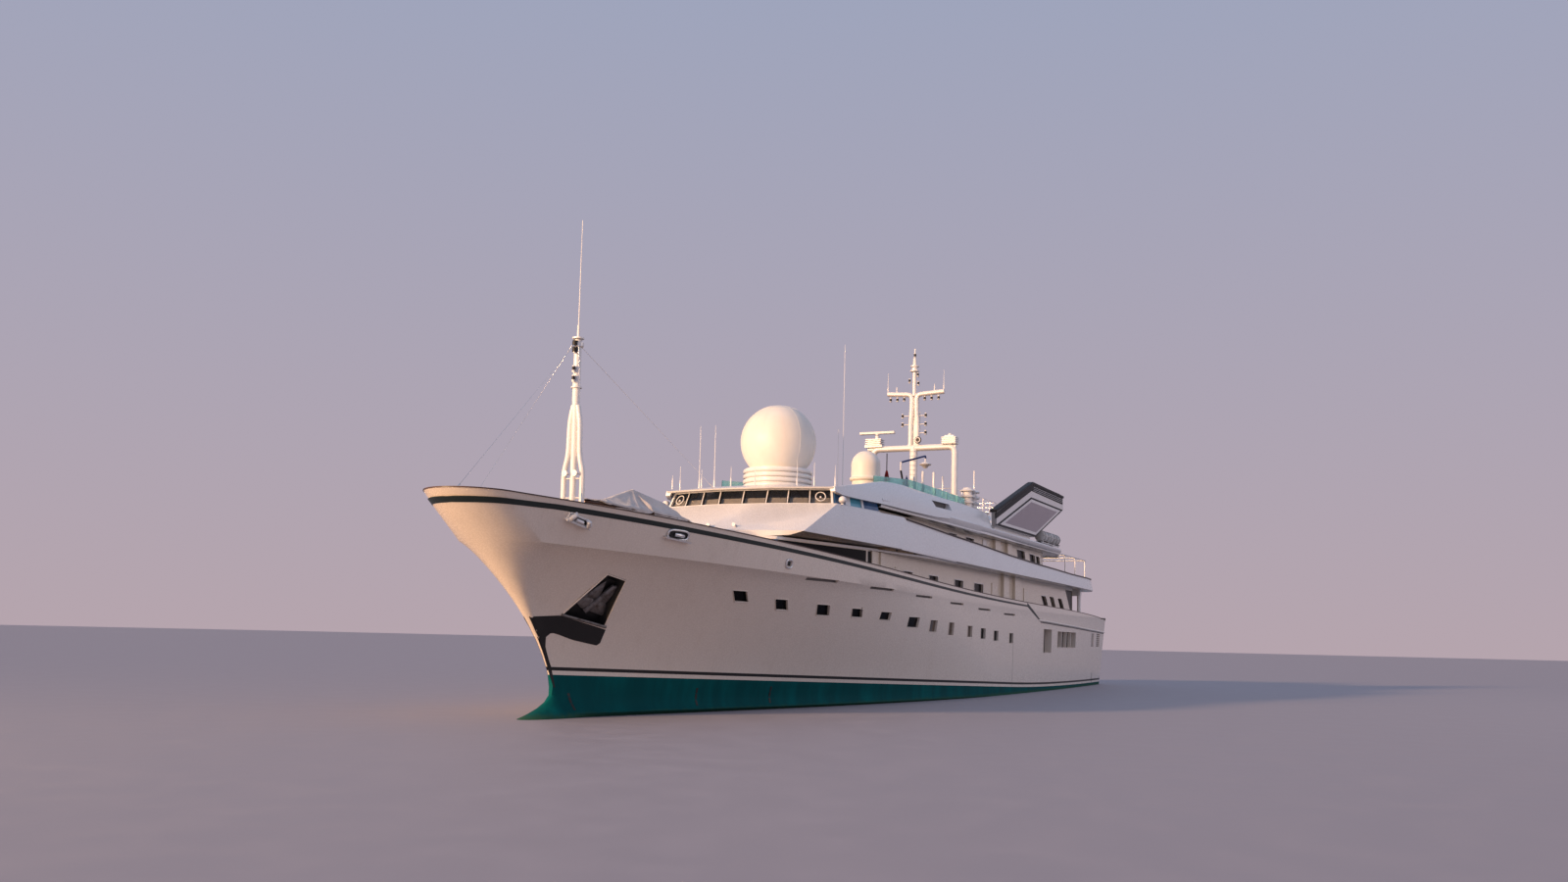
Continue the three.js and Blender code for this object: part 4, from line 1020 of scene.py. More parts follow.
def rubbing_ledge():
    places = [lerp(-43.3, -16.4, k / 40) for k in range(41)]
    rings = []
    for x in places:
        z = along(LEDGE, x)
        fade = min(1.0, (-16.4 - x) / 1.2 + 0.15)
        rings.append([on_side(x, z - 0.07, -0.03), on_side(x, z - 0.05, 0.08 * fade),
                      on_side(x, z, 0.11 * fade),
                      on_side(x, z + 0.05, 0.08 * fade), on_side(x, z + 0.09, -0.03)])
    return Shape().loft(rings).mirror()


# The stripe's dark green carried on under the ledge as a painted shadow.
def ledge_shadow_line():
    run = [(x, along(LEDGE, x) - 0.15, along(LEDGE, x) - 0.075)
           for x in [lerp(-43.3, -17.0, k / 40) for k in range(41)]]
    return bent_strip(run, -0.02, 0.008).mirror()


make("green_sheer_stripe", green_stripe(), [stripe_green])
make("rubbing_ledge", rubbing_ledge(), [ivory], sharp=60)
make("ledge_painted_shadow", ledge_shadow_line(), [stripe_green])


# %% Window rims, door rims and the plating seam
def rims():
    """A thin raised rim round every recess of the side."""
    form = Shape()
    spots = HULL_WINDOWS + [DOORWAY, QUARTER_OPENING]
    for x0, x1, low, high in spots:
        w = 0.05
        for a, b, c, d in ((x0 - w, x1 + w, high, high + w), (x0 - w, x1 + w, low - w, low),
                           (x0 - w, x0, low, high),
                           (x1, x1 + w, low, high)):
            form.join(side_patch(a, b, c, d, -0.02, 0.016, 0, columns=3))
    for x0, x1, low, high, lean in RAKED_HULL_WINDOWS:
        corners = [(x0, low), (x1, low), (x1 + lean, high), (x0 + lean, high), (x0, low)]
        form.tube([on_side(x, z, 0.005) for x, z in corners], 0.03, 6)
    return form.mirror()


def quarter_mullions():
    form = Shape()
    x0, x1, low, high = QUARTER_OPENING
    for k in range(1, 4):
        x = lerp(x0, x1, k / 4)
        form.join(side_patch(x - 0.06, x + 0.06, low, high, -0.3, -0.05))
    return form.mirror()


make("window_rims", rims(), [ivory], bevel=0.008)
make("quarter_mullions", quarter_mullions(), [ivory])
make("plating_seams", side_patch(-9.72, -9.69, 0.56, 3.51, -0.01, 0.004).mirror(), [shadow_grey])


# %% Draft-mark slits and the black wear patch under the pocket
WEAR_TOP = [(33.1, 3.54), (35.5, 4.06), (36.7, 3.98)]  # place along and height, above the black
WEAR_FOOT = [(33.11, 3.0), (33.16, 2.92), (33.26, 2.9), (34.46, 3.1), (35.25, 3.32), (35.45, 3.36),
             (35.6, 3.34),
             (35.7, 3.2)]
# height, place of its aft edge
STEM_STRIP = [(1.2, 34.82), (1.96, 35.04), (2.23, 35.22), (2.81, 35.58), (3.2, 35.7)]


def wear_patch():
    """The black area: a broad band from the pocket's foot to the stem, and a strip down the stem."""
    form = Shape()
    columns = [lerp(33.11, 35.7, k / 20) for k in range(21)]
    columns += [lerp(35.7, stem(3.98) - 0.03, k / 6) for k in range(1, 7)]
    rings = []
    for x in columns:
        low = along(WEAR_FOOT, x) if x <= 35.7 else max(3.2, stem_height(x + 0.03))
        rings.append([on_side(x, lerp(low, along(WEAR_TOP, x), j / 4), 0.012) for j in range(5)])
    form.loft(rings, loop=False, caps=False)
    strip = []
    for z in [lerp(1.2, 3.2, k / 16) for k in range(17)]:
        aft, fore = along(STEM_STRIP, z), stem(z) - 0.015
        strip.append([on_side(lerp(aft, fore, j / 4), z, 0.012) for j in range(5)])
    return form.loft(strip, loop=False, caps=False).mirror()


def stem_height(x):
    """Height at which the stem reaches a place along the ship."""
    low, high = STEM_FOOT, STEM_TOP
    for _ in range(30):
        middle = (low + high) / 2
        low, high = (middle, high) if stem(middle) < x else (low, middle)
    return low


def draft_slits():
    """Plain slits where the draft marks stand; they carry no figures."""
    form = Shape()
    for x in (34.2, 26.85, 21.62, -38.0):
        for k in range(3):
            z = 0.30 + 0.27 * k
            form.join(side_patch(x - 0.06, x + 0.06, z, z + 0.24, -0.01, 0.008))
    return form.mirror()


make("black_wear_patch", wear_patch(), [black])
make("draft_mark_slits", draft_slits(), [black])


# %% [markdown]
# ## Anchors and fairleads
#
# A stockless anchor has a shank, and a crown with two pointed flukes and palms that rest on the
# plating. The fairleads are rounded openings framed in polished steel, through which ropes are
# led. Both are small, but bright or dark spots on a pale side draw the eye.

# %% Anchors
# The outer faces of the crown and of its two arms, which lie in the mouth of the pocket
CROWN = [(34.75, 0.95, 4.6), (34.41, 0.95, 4.39), (33.07, 1.27, 4.06), (33.28, 1.43, 4.43),
         (33.44, 1.49, 4.61),
         (33.84, 1.39, 4.7), (34.42, 1.24, 4.83), (34.67, 1.09, 4.76)]
ARM_FORE = [(34.67, 1.09, 4.76), (34.3, 1.27, 4.82), (33.84, 1.39, 4.7), (33.94, 1.72, 5.28),
            (34.01, 1.85, 5.5), (34.1, 1.76, 5.42)]
ARM_AFT = [(33.84, 1.39, 4.7), (33.44, 1.49, 4.61), (33.25, 1.95, 5.25), (33.3, 2.1, 5.46),
           (33.4, 2.06, 5.44)]


def anchor():
    """Shank, crown and two broad arms of a stockless anchor."""
    form = Shape()
    form.tube([(33.6, 1.95, 5.3), (33.95, 1.4, 4.7), (34.2, 0.95, 4.3)], [0.10, 0.13, 0.16], 10)
    inward = Vector((-0.32, -0.788, 0.527)) * 0.22
    for outline in CROWN, ARM_FORE, ARM_AFT:
        face = [Vector(p) for p in outline]
        middle = sum(face, Vector()) / len(face)
        ridge = [middle + (p - middle) * 0.6 - inward * 0.3 for p in face]
        form.loft([[p + inward for p in face], face, ridge])
    return form


def pocket_lip():
    """A rounded lip along the foot of the pocket."""
    foot = [on_side(lerp(33.18, 35.45, k / 12), lerp(3.66, 4.1, k / 12), 0.02) for k in range(13)]
    return Shape().tube(foot, 0.06, 10)


def pocket_rim():
    """The bright worn edge round the mouth of the pocket."""
    rim = [on_side(x, z, 0.0) for x, z in [POCKET[1], POCKET[2], POCKET[3], POCKET[0]]]
    return Shape().tube(rim, 0.03, 8)


for side, name in ((1, "port"), (-1, "starboard")):
    form = anchor()
    form.corners = [(x, side * y, z) for x, y, z in form.corners]
    make(f"stockless_anchor_{name}", form, [galvanised], replaces=[f"anchor_{name}"],
         sharp=40)
make("anchor_pocket_lips", pocket_lip().mirror(), [galvanised], sharp=60)
make("anchor_pocket_rims", pocket_rim().mirror(), [ivory], sharp=60)


# %% Fairleads in the bulwark
def ring_on_side(x0, x1, z, height, thick, proud):
    """An oval ring of round section, laid on the side."""
    middle, half = (x0 + x1) / 2, (x1 - x0) / 2
    tilt = 0.03
    path = []
    for k in range(33):
        t = 2 * math.pi * k / 32
        cx, sz = math.cos(t), math.sin(t)
        square = lambda v: math.copysign(abs(v) ** 0.6, v)
        path.append(on_side(middle + half * square(cx), z + tilt * half * square(cx) + height / 2
                            * square(sz), proud))
    return Shape().tube(path, thick, 8, caps=False)


def fairleads():
    form = ring_on_side(31.84, 32.98, 7.46, 0.36, 0.05, 0.04)
    form.join(side_patch(31.7, 33.15, lambda x: 7.18 + 0.1 * (x - 31.7), lambda x: 7.24 + 0.1 * (x - 31.7),
                         -0.02, 0.2, columns=4))
    form.join(ring_on_side(24.4, 24.86, 6.74, 0.36, 0.05, 0.03))
    form.tube([on_side(32.1, 7.42, 0.02), on_side(32.35, 7.46, 0.09), on_side(32.6, 7.46, 0.02)], 0.08, 10)
    return form.mirror()


# Black plates inside the fairlead rings stand for the dark seen through the openings: painted shade.
def fairlead_hole_shade():
    form = side_patch(31.88, 32.94, 7.31, 7.61, -0.02, 0.014, columns=4)
    return form.join(side_patch(24.5, 24.76, 6.64, 6.84, -0.02, 0.012)).mirror()


def bow_roller():
    """The white casting at the shoulder of the bow: a lip round a black plate painted as the shade of its
    opening, a roller and two rounded horns.
    """
    low, high = lambda x: 7.36 + 0.24 * (x - 36.8), lambda x: 7.64 + 0.24 * (x - 36.8)
    form = side_patch(36.9, 37.95, low, high, -0.1, 0.10, columns=5, rows=3)
    form.join(side_patch(36.85, 38.0, lambda x: low(x) - 0.03, lambda x: low(x) + 0.05, -0.05, 0.2,
                         columns=5))
    # The black plate stands for the dark inside the opening: painted shade.
    form.join(side_patch(37.05, 37.8, lambda x: low(x) + 0.08, lambda x: high(x) - 0.05, 0.05, 0.115, 1,
                         columns=4))
    for x, lean in ((36.98, 0.1), (37.88, -0.12)):
        foot, top = low(x), high(x)
        form.tube([on_side(x, foot, 0.12), on_side(x + lean * 0.3, foot + 0.16, 0.22),
                   on_side(x + lean * 0.8, top - 0.03, 0.24),
                   on_side(x + lean * 1.6, top + 0.03, 0.12)], [0.08, 0.11, 0.10, 0.05], 12)
    form.tube([on_side(37.25, low(37.25) + 0.12, 0.14), on_side(37.6, low(37.6) + 0.12, 0.14)], 0.08, 12)
    return form.mirror()


make("steel_fairleads", fairleads(), [steel], sharp=50)
make("fairlead_painted_shade", fairlead_hole_shade(), [black])
make("bow_rope_castings", bow_roller(), [white, black], bevel=0.02)
print("hull pieces:", len(pieces))
# %% [markdown]
# ## Deckhouses
#
# Two tiers of houses stand on the hull. The walls are flat plating painted white, with small
# windows set in flush frames, raised pilasters that hide ducts, and a dark wrap-round window
# under the bridge. Each house is one closed plan drawn up to the deck above; its windows are cut
# in from the side, so that the glass lies behind the wall.

# %% Cutters for windows in a side wall
HOUSE_Y, UPPER_HOUSE_Y = 5.2, 4.9


def recess(outline, y, depth=0.09, glass=1):
    """A cutter through a wall that faces sideways: an outline in X and Z, glass at its back."""
    inner = [(x, y - depth, z) for x, z in outline]
    outer = [(x, y + 0.6, z) for x, z in outline]
    turn = tuple(range(len(outline)))
    return Shape().loft([inner, outer], 0, caps=False).put(inner, [turn], glass).put(outer, [turn], 0)


def upright(x0, x1, low, high):
    return [(x0, low), (x1, low), (x1, high), (x0, high)]


def raked(x0, x1, low, high, lean):
    """A window whose upper edge lies further forward than its sill."""
    return [(x0, low), (x1, low), (x1 + lean, high), (x0 + lean, high)]


def frame_round(outline, y, width=0.05, proud=0.02):
    """A thin raised frame on a side wall, round an outline."""
    cx = sum(x for x, _ in outline) / len(outline)
    cz = sum(z for _, z in outline) / len(outline)
    grow = lambda x, z: (x + math.copysign(width, x - cx), z + math.copysign(width, z - cz))
    rings = []
    for x, z in outline + outline[:1]:
        gx, gz = grow(x, z)
        rings.append([(x, y - 0.01, z), (x, y + proud, z), (gx, y + proud, gz), (gx, y - 0.01, gz)])
    return Shape().loft(rings, caps=False)


def both(half):
    return half + [(x, -y) for x, y in reversed(half) if y]


# %% Main deckhouse
MAIN_WINDOWS = [upright(6.9, 8.38, 6.45, 7.3), upright(2.34, 3.97, 6.4, 7.29),
                upright(-2.63, -0.91, 6.35, 7.27),
                upright(-7.03, -5.04, 6.3, 7.24)]
RAKED_WINDOWS = [raked(-24.75, -23.45, 6.11, 7.09, 1.1), raked(-27.35, -26.05, 6.13, 7.12, 1.1),
                 raked(-30.4, -29.0, 6.12, 7.09, 1.2)]
WEDGE = [(-33.4, 6.1), (-32.7, 6.1), (-30.6, 7.9), (-33.4, 7.9)]
HOUSE_PLAN = [(22.4, 0), (22.4, 3.3), (22.15, 3.75), (14.6, 5.12), (14.0, 5.2), (-26, 5.2), (-33.4, 5.02),
              (-33.5, 4.9)]


# The dark band round the front of the deckhouse, seen from above
LOUNGE_LINE = [(13.5, 5.2), (14.6, 5.12), (22.15, 3.75), (22.4, 3.3), (22.4, 0)]

house = make("main_deckhouse_walls", Shape().slab(both(HOUSE_PLAN), 4.6, 8.096), [cream],
             replaces=["main_deckhouse"])
cutters = Shape()
for outline in MAIN_WINDOWS + RAKED_WINDOWS + [WEDGE]:
    cutters.join(recess(outline, HOUSE_Y - (0.05 if outline[0][0] > -26 else 0.13)))
carve(house, cutters.mirror(), [cream, dark_glass])


# %% Dark window band under the bridge, with its mullions
def wall_strip(path, low, high, out, thick, finish=0):
    """A plate standing along a line of walls, seen from above, `out` in front of them."""
    rings = []
    for i, (x, y) in enumerate(path):
        before = Vector(path[max(0, i - 1)])
        after = Vector(path[min(len(path) - 1, i + 1)])
        along_wall = (after - before).normalized()
        normal = Vector((along_wall.y, -along_wall.x))
        if normal.y < 0 or (abs(normal.y) < 0.01 and normal.x < 0):
            normal = -normal
        a, b = Vector((x, y)) + normal * out, Vector((x, y)) + normal * (out + thick)
        rings.append([(a.x, a.y, low), (b.x, b.y, low), (b.x, b.y, high), (a.x, a.y, high)])
    return Shape().loft(rings, finish)


def lounge_glass():
    return wall_strip(LOUNGE_LINE, 5.9, 8.05, 0.0, 0.03).mirror()


def lounge_corner_posts():
    """The rounded posts at the two front corners, painted blue as a painted reflection of the sky."""
    return wall_strip([(22.1, 3.78), (22.22, 3.66), (22.34, 3.44)], 5.9, 8.06, 0.02, 0.05).mirror()


make("lounge_window_band", lounge_glass(), [dark_glass])
# The corner posts carry the blue of the sky as a painted reflection.
make("lounge_corner_posts", lounge_corner_posts(), [blue_glass_and_sky_reflection], sharp=70)
frames = Shape()
for outline in MAIN_WINDOWS + RAKED_WINDOWS:
    frames.join(frame_round(outline, HOUSE_Y if outline[0][0] > -26 else HOUSE_Y - 0.1))
make("main_deck_window_frames", frames.mirror(), [white])


# %% Pilasters, doors and rails along the main deck walls
def pilasters():
    form = Shape()
    for x0, x1 in ((-12.5, -11.3), (-15.6, -14.2)):
        form.box((x0, x1), (5.1, 5.42), (5.0, 8.1))
    for x0, x1 in ((12.9, 13.5), (11.6, 12.2)):
        form.box((x0, x1), (5.1, 5.3), (5.2, 8.1))
    form.box((10.2, 11.0), (5.1, 5.45), (5.2, 7.35))
    return form.mirror()


def side_doors(y, places, low, high):
    """Flush weather doors: a raised leaf with a lever and two hinges."""
    form = Shape()
    for x in places:
        form.box((x - 0.4, x + 0.4), (y - 0.02, y + 0.05), (low, high))
        form.tube([(x + 0.3, y + 0.05, (low + high) / 2), (x + 0.3, y + 0.12, (low + high) / 2),
                   (x + 0.14, y + 0.12, (low + high) / 2)], 0.02, 6, finish=1)
        for z in (low + 0.3, high - 0.3):
            form.tube([(x - 0.42, y + 0.05, z - 0.08), (x - 0.42, y + 0.05, z + 0.08)], 0.03, 8, finish=1)
    return form.mirror()


make("main_deck_pilasters", pilasters(), [cream], bevel=0.03)
make("main_deck_doors", side_doors(5.2, (-9.4, -17.6, 9.4), 5.45, 7.45), [cream, steel],
     bevel=0.015)

# %% [markdown]
# ## Upper deck and its coaming
#
# The edge of the upper deck is a tall band of plating that leans in and sweeps from the corner
# of the bridge to the stern. Its foot turns under in a rounded lip. The band is a loft: one
# cross-section with the lip and the thickness in it, carried along nine places.

# %% Coaming of the upper deck
COAMING = [  # place along, half-breadth and height of the foot, half-breadth and height of the top
    (11.6, 6.26, 8.28, 5.80, 10.12), (10.46, 6.30, 8.27, 5.95, 10.11), (10.16, 6.31, 8.26, 5.97, 10.0),
    (7.0, 6.36, 8.22, 6.10, 9.86), (2.5, 6.38, 8.17, 6.16, 9.70),
    (-2.6, 6.40, 8.13, 6.20, 9.56), (-10, 6.40, 8.10, 6.21, 9.32), (-17.3, 6.40, 8.08, 6.22, 9.16),
    (-22, 6.38, 8.06, 6.21, 9.10), (-28, 6.35, 8.04, 6.19, 9.00), (-34, 6.30, 8.02, 6.15, 8.98),
    (-35.8, 6.15, 8.01, 6.02, 8.975), (-36.8, 5.90, 8.00, 5.80, 8.97), (-37.3, 5.45, 8.00, 5.38, 8.97),
    (-37.45, 4.9, 8.00, 4.85, 8.97), (-37.5, 0, 8.0, 0, 8.97)]


def coaming_band():
    """The band, whose first ring lies along the corner of the bridge front."""
    foot, top, inward = Vector((21.79, 5.065, 8.47)), Vector((17.7, 5.015, 10.17)), Vector((-0.8, -0.6, 0))
    rings = [[tuple(p) for p in (foot + Vector((0, 0, 0.02)), top, top + inward * 0.04, top + inward * 0.16
                                 - Vector((0, 0, 0.03)),
                                 foot + inward * 0.2 + Vector((0, 0, 0.08)), foot + inward * 0.28,
                                 foot + inward * 0.1 - Vector((0, 0, 0.02)), foot - Vector((0, 0, 0.01)))]]
    for x, foot_y, foot_z, top_y, top_z in COAMING:
        lip = 0.10 * clamp((3.5 - x) / 3)
        inward = Vector((0, -1, 0)) if x > -34 else Vector((0.9, -0.4,
                                                            0)) if x > -37.4 else Vector((1, 0, 0))
        foot, top = Vector((x, foot_y, foot_z)), Vector((x, top_y, top_z))
        section = [foot - inward * lip * 0.9 + Vector((0, 0, 0.13)), top, top + inward * 0.06
                   + Vector((0, 0, 0.03)),
                   top + inward * 0.16, foot + inward * 0.2 + Vector((0, 0, 0.12)), foot + inward * 0.28,
                   foot + Vector((0, 0, -0.02)), foot - inward * lip + Vector((0, 0, 0.02))]
        rings.append([(p.x, max(0.0, p.y), p.z) for p in section])
    return Shape().loft(rings).mirror()


def upper_deck_plate():
    half = [(22.3, 0), (22.3, 3.3), (22.05, 3.72), (14.6, 5.09), (12.95, 5.4), (7, 6.1), (-34, 6.1),
            (-36.6, 5.6), (-37.2, 4.9), (-37.3, 0)]
    form = Shape().slab(both(half), 8.1, 8.22)
    deck_half = [(12.9, 0), (12.9, 5.8), (7, 6.0), (-34, 6.0), (-36.4, 5.5), (-37.1, 4.8), (-37.15, 0)]
    return form.slab(both(deck_half), 8.2, 8.3, 1)


make("upper_deck_coaming", coaming_band(), [white], replaces=["upper_deck"], sharp=28)
make("upper_deck_planks", upper_deck_plate(), [white, deck_teak])


def coaming_trim():
    """A teak rail on the coaming aft of the bridge."""
    rail = [(x, top_y + 0.03, top_z + 0.04) for x, _, _, top_y, top_z in COAMING if x < 10.3][:-1]
    form = Shape().tube(rail, 0.045, 8)
    return form.mirror()


make("coaming_handrail", coaming_trim(), [rail_teak])

# %% Upper deckhouse
UPPER_WINDOWS = [upright(1.37, 3.03, 9.2, 10.2), upright(-2.14, -0.55, 9.15, 10.18),
                 upright(-5.8, -4.1, 9.1, 10.18),
                 raked(-19.0, -16.9, 9.2, 10.22, 0.5), raked(-21.9, -20.4, 9.15, 10.12, 0.45),
                 raked(-23.3, -22.3, 9.15, 10.08, 0.45)]
UPPER_PLAN = [(12.7, 0), (12.7, 4.2), (11.5, 4.9), (-23.2, 4.9), (-24.6, 4.75), (-25.45, 4.3), (-25.5, 4.0)]
upper_house = make("upper_deckhouse_walls", Shape().slab(both(UPPER_PLAN), 8.302, 10.456), [cream],
                   replaces=["upper_deckhouse"])
cutters = Shape()
for outline in UPPER_WINDOWS:
    cutters.join(recess(outline, UPPER_HOUSE_Y - 0.02))
aft_panes = Shape()
for k in range(6):
    y0 = -3.7 + k * 1.25
    aft_panes.box((-26.5, -25.42), (y0, y0 + 1.12), (8.5, 10.2), 1)
carve(upper_house, cutters.mirror().join(aft_panes), [cream, dark_glass])
frames = Shape()
for outline in UPPER_WINDOWS:
    frames.join(frame_round(outline, UPPER_HOUSE_Y))
make("upper_deck_window_frames", frames.mirror(), [white])


def upper_pilasters():
    form = Shape()
    for x0, x1 in ((-11.4, -10.2), (-14.4, -13.3)):
        form.box((x0, x1), (4.8, 5.12), (8.31, 10.45))
    return form.mirror()


make("upper_deck_pilasters", upper_pilasters(), [cream], bevel=0.03)
make("upper_deck_doors", side_doors(4.9, (-8.2, 8.6), 8.45, 10.3), [white, steel],
     bevel=0.015)
print("houses made:", len(pieces))
# %% [markdown]
# ## The bridge
#
# The front of the bridge is folded from flat plates like paper: two panels meet at a low point
# on the centreline, and the corners are cut back to the sides. On top of it stands the band of
# raked windows of the wheelhouse. The wheelhouse is hollow, and one can see its console and its
# back wall through the panes, so it is built as a shell with real openings.

# %% The folded front
BROW_TOP, BRIDGE_AFT, ROOF_LOW = 10.17, 12.95, 10.946
APEX, CREASE, CORNER, FOOT = (20.8, 0, 8.68), (18.6, 1.5,
                                               BROW_TOP), (17.7, 5.0, BROW_TOP), (21.8, 5.05, 8.48)


def folded_front():
    """The outer skin of the front and sides, folded along its creases, with a thin plate behind it."""
    form = Shape()
    for s in (1, -1):
        turn = lambda p: (p[0], s * p[1], p[2])
        apex, crease, corner, foot = (turn(p) for p in (APEX, CREASE, CORNER, FOOT))
        ridge, low_mid = (CREASE[0], 0, BROW_TOP), (20.7, 0, UPPER_DECK_TOP)
        low_foot = turn((21.6, 4.2, UPPER_DECK_TOP))
        aft_top, aft_side, aft_low = (turn(p) for p in ((BRIDGE_AFT, 5.53, BROW_TOP),
                                                        (BRIDGE_AFT, 5.97, 8.44),
                                                        (BRIDGE_AFT, 5.75, UPPER_DECK_TOP)))
        form.put([apex, crease, ridge], [(0, 1, 2)])
        form.put([apex, foot, corner, crease], [(0, 1, 2, 3)])
        form.put([foot, aft_side, aft_top, corner], [(0, 1, 2, 3)])
        form.put([foot, low_foot, aft_low, aft_side], [(0, 1, 2, 3)])
        form.put([apex, low_mid, low_foot, foot], [(0, 1, 2, 3)])
        form.put([ridge, crease, corner, aft_top, (BRIDGE_AFT, 0, BROW_TOP)], [(0, 1, 2, 3, 4)])
        form.put([(BRIDGE_AFT, 0, UPPER_DECK_TOP), (BRIDGE_AFT, 0, BROW_TOP), aft_top, aft_side, aft_low],
                 [(0, 1, 2, 3, 4)])
        form.put([low_mid, (BRIDGE_AFT, 0, UPPER_DECK_TOP), aft_low, low_foot], [(0, 1, 2, 3)])
    return form


def room():
    """The space inside the wheelhouse."""
    plan = [(17.7, 1.4), (17.0, 4.55), (BRIDGE_AFT + 0.3, 5.15)]
    half = plan + [(x, -y) for x, y in reversed(plan)]
    return Shape().slab(half, 8.5, 10.9)


def doorways():
    form = Shape()
    for s in (1, -1):
        form.box((BRIDGE_AFT - 0.1, BRIDGE_AFT + 0.4), sorted((s * 4.7, s * 5.28)), (8.5, 10.25))
    return form


brow = make("folded_bridge_front", folded_front(), [white, joinery_wood],
            replaces=["wheelhouse"],
            sharp=12)
carve(brow, room().join(doorways()), [joinery_wood], sharp=12)

# %% [markdown]
# ## Wheelhouse windows
#
# The windows lean forward at the top on many ships, but here they lean back with the roof. The
# band has a sill, a head and slim mullions, with a pane between each pair; two of the panes have
# round clear-view screens, which spin to throw off spray.

# %% Window band
BAND_FOOT = [(18.45, 0.0), (18.45, 1.5), (18.2, 2.7), (17.6, 4.9), (BRIDGE_AFT, 5.5)]
BAND_HEAD = [(18.15, 0.0), (18.15, 1.5), (17.92, 2.65), (17.3, 4.7), (BRIDGE_AFT, 5.3)]


def on_band(share, height, out=0.0):
    """A point of the band: `share` runs from the centreline to the aft end on the port side."""
    lengths = [0.0]
    for (ax, ay), (bx, by) in zip(BAND_FOOT, BAND_FOOT[1:]):
        lengths.append(lengths[-1] + math.hypot(bx - ax, by - ay))
    if share < 0:
        mirrored = on_band(-share, height, out)
        return Vector((mirrored.x, -mirrored.y, mirrored.z))
    target = share * lengths[-1]
    for k in range(len(lengths) - 1):
        if target <= lengths[k + 1] + 1e-9:
            t = (target - lengths[k]) / (lengths[k + 1] - lengths[k])
            foot = Vector(BAND_FOOT[k]).lerp(Vector(BAND_FOOT[k + 1]), t)
            head = Vector(BAND_HEAD[k]).lerp(Vector(BAND_HEAD[k + 1]), t)
            way = (Vector(BAND_FOOT[k + 1]) - Vector(BAND_FOOT[k])).normalized()
            normal = Vector((-way.y, way.x))
            if normal.x < 0 and k < 3 or normal.y < 0:
                normal = -normal
            v = (height - BROW_TOP) / (ROOF_LOW - BROW_TOP)
            p = foot.lerp(head, v) + normal * out
            return Vector((p.x, p.y, height))
    return Vector((*BAND_FOOT[-1], height))


def band_bar(share0, share1, low, high, inside, outside, finish=0, steps=6):
    rings = []
    for k in range(steps + 1):
        s = lerp(share0, share1, k / steps)
        rings.append([on_band(s, low, inside), on_band(s, low, outside), on_band(s, high, outside),
                      on_band(s, high, inside)])
    return Shape().loft(rings, finish)


FRONT_BARS = [0.14, 0.257, 0.376]  # shares of the band on each side of the middle bar
FRONT_END, SIDE_START, SIDE_END = 0.49, 0.502, 0.995
SIDE_BARS = [(0.618, 0.668), (0.795, 0.815)]  # white posts between the side panes
SILL, HEAD = 10.21, 10.90


def window_frames():
    """Sill, head, slim dark bars in front and broad white posts at the sides (finishes 0 and 1)."""
    form = band_bar(0.0, 1.0, BROW_TOP - 0.02, SILL, -0.14, 0.0, steps=40)
    form.join(band_bar(0.0, 1.0, HEAD, ROOF_LOW, -0.14, 0.0, steps=40))
    for m in [0.0] + FRONT_BARS:
        form.join(band_bar(m - 0.007, m + 0.007, SILL, HEAD, -0.13, 0.0, 1, steps=1))
        form.join(band_bar(m - 0.0025, m + 0.0025, SILL, HEAD, -0.02, 0.014, steps=1))
    for start, end in [(FRONT_END, SIDE_START)] + SIDE_BARS:
        form.join(band_bar(start, end, SILL, HEAD, -0.13, 0.015, steps=2))
    return form.mirror()


def window_panes():
    """Front panes one can look through, then blue, teal and blue panes at the side."""
    form = band_bar(0.0, FRONT_END, SILL, HEAD, -0.07, -0.05, steps=24)
    form.join(band_bar(SIDE_START, SIDE_BARS[0][0], SILL, HEAD, -0.07, -0.05, 1, steps=8))
    form.join(band_bar(SIDE_BARS[0][1], SIDE_BARS[1][0], SILL, HEAD, -0.07, -0.05, 2, steps=8))
    return form.join(band_bar(SIDE_BARS[1][1], SIDE_END, SILL, HEAD, -0.07, -0.05, 1, steps=12)).mirror()


make("wheelhouse_window_frames", window_frames(), [white, black], sharp=25)
make("wheelhouse_panes", window_panes(), [clear_glass, blue_glass_and_sky_reflection, teal_glass], sharp=25)


# %% Clear-view screens and wipers
def clear_view():
    form = Shape()
    share = 0.435
    centre = on_band(share, 10.56, 0.0)
    way = (on_band(share + 0.01, 10.56) - on_band(share - 0.01, 10.56)).normalized()
    up = (on_band(share, 10.8) - on_band(share, 10.3)).normalized()
    ring = [centre + (way * math.cos(t) + up * math.sin(t)) * 0.25
            for t in [2 * math.pi * k / 28 for k in range(29)]]
    form.tube(ring, 0.028, 8, caps=False)
    return form.tube([centre, centre + up * -0.1], 0.05, 8).mirror()


def wipers():
    form = Shape()
    for share in (0.02, 0.16, 0.28):
        form.tube([on_band(share + 0.02, HEAD, 0.03), on_band(share + 0.05, 10.6, 0.04),
                   on_band(share + 0.06, 10.46, 0.03)],
                  [0.012, 0.01, 0.018], 6)
    return form.mirror()


make("clear_view_screens", clear_view(), [white])
make("window_wipers", wipers(), [black])


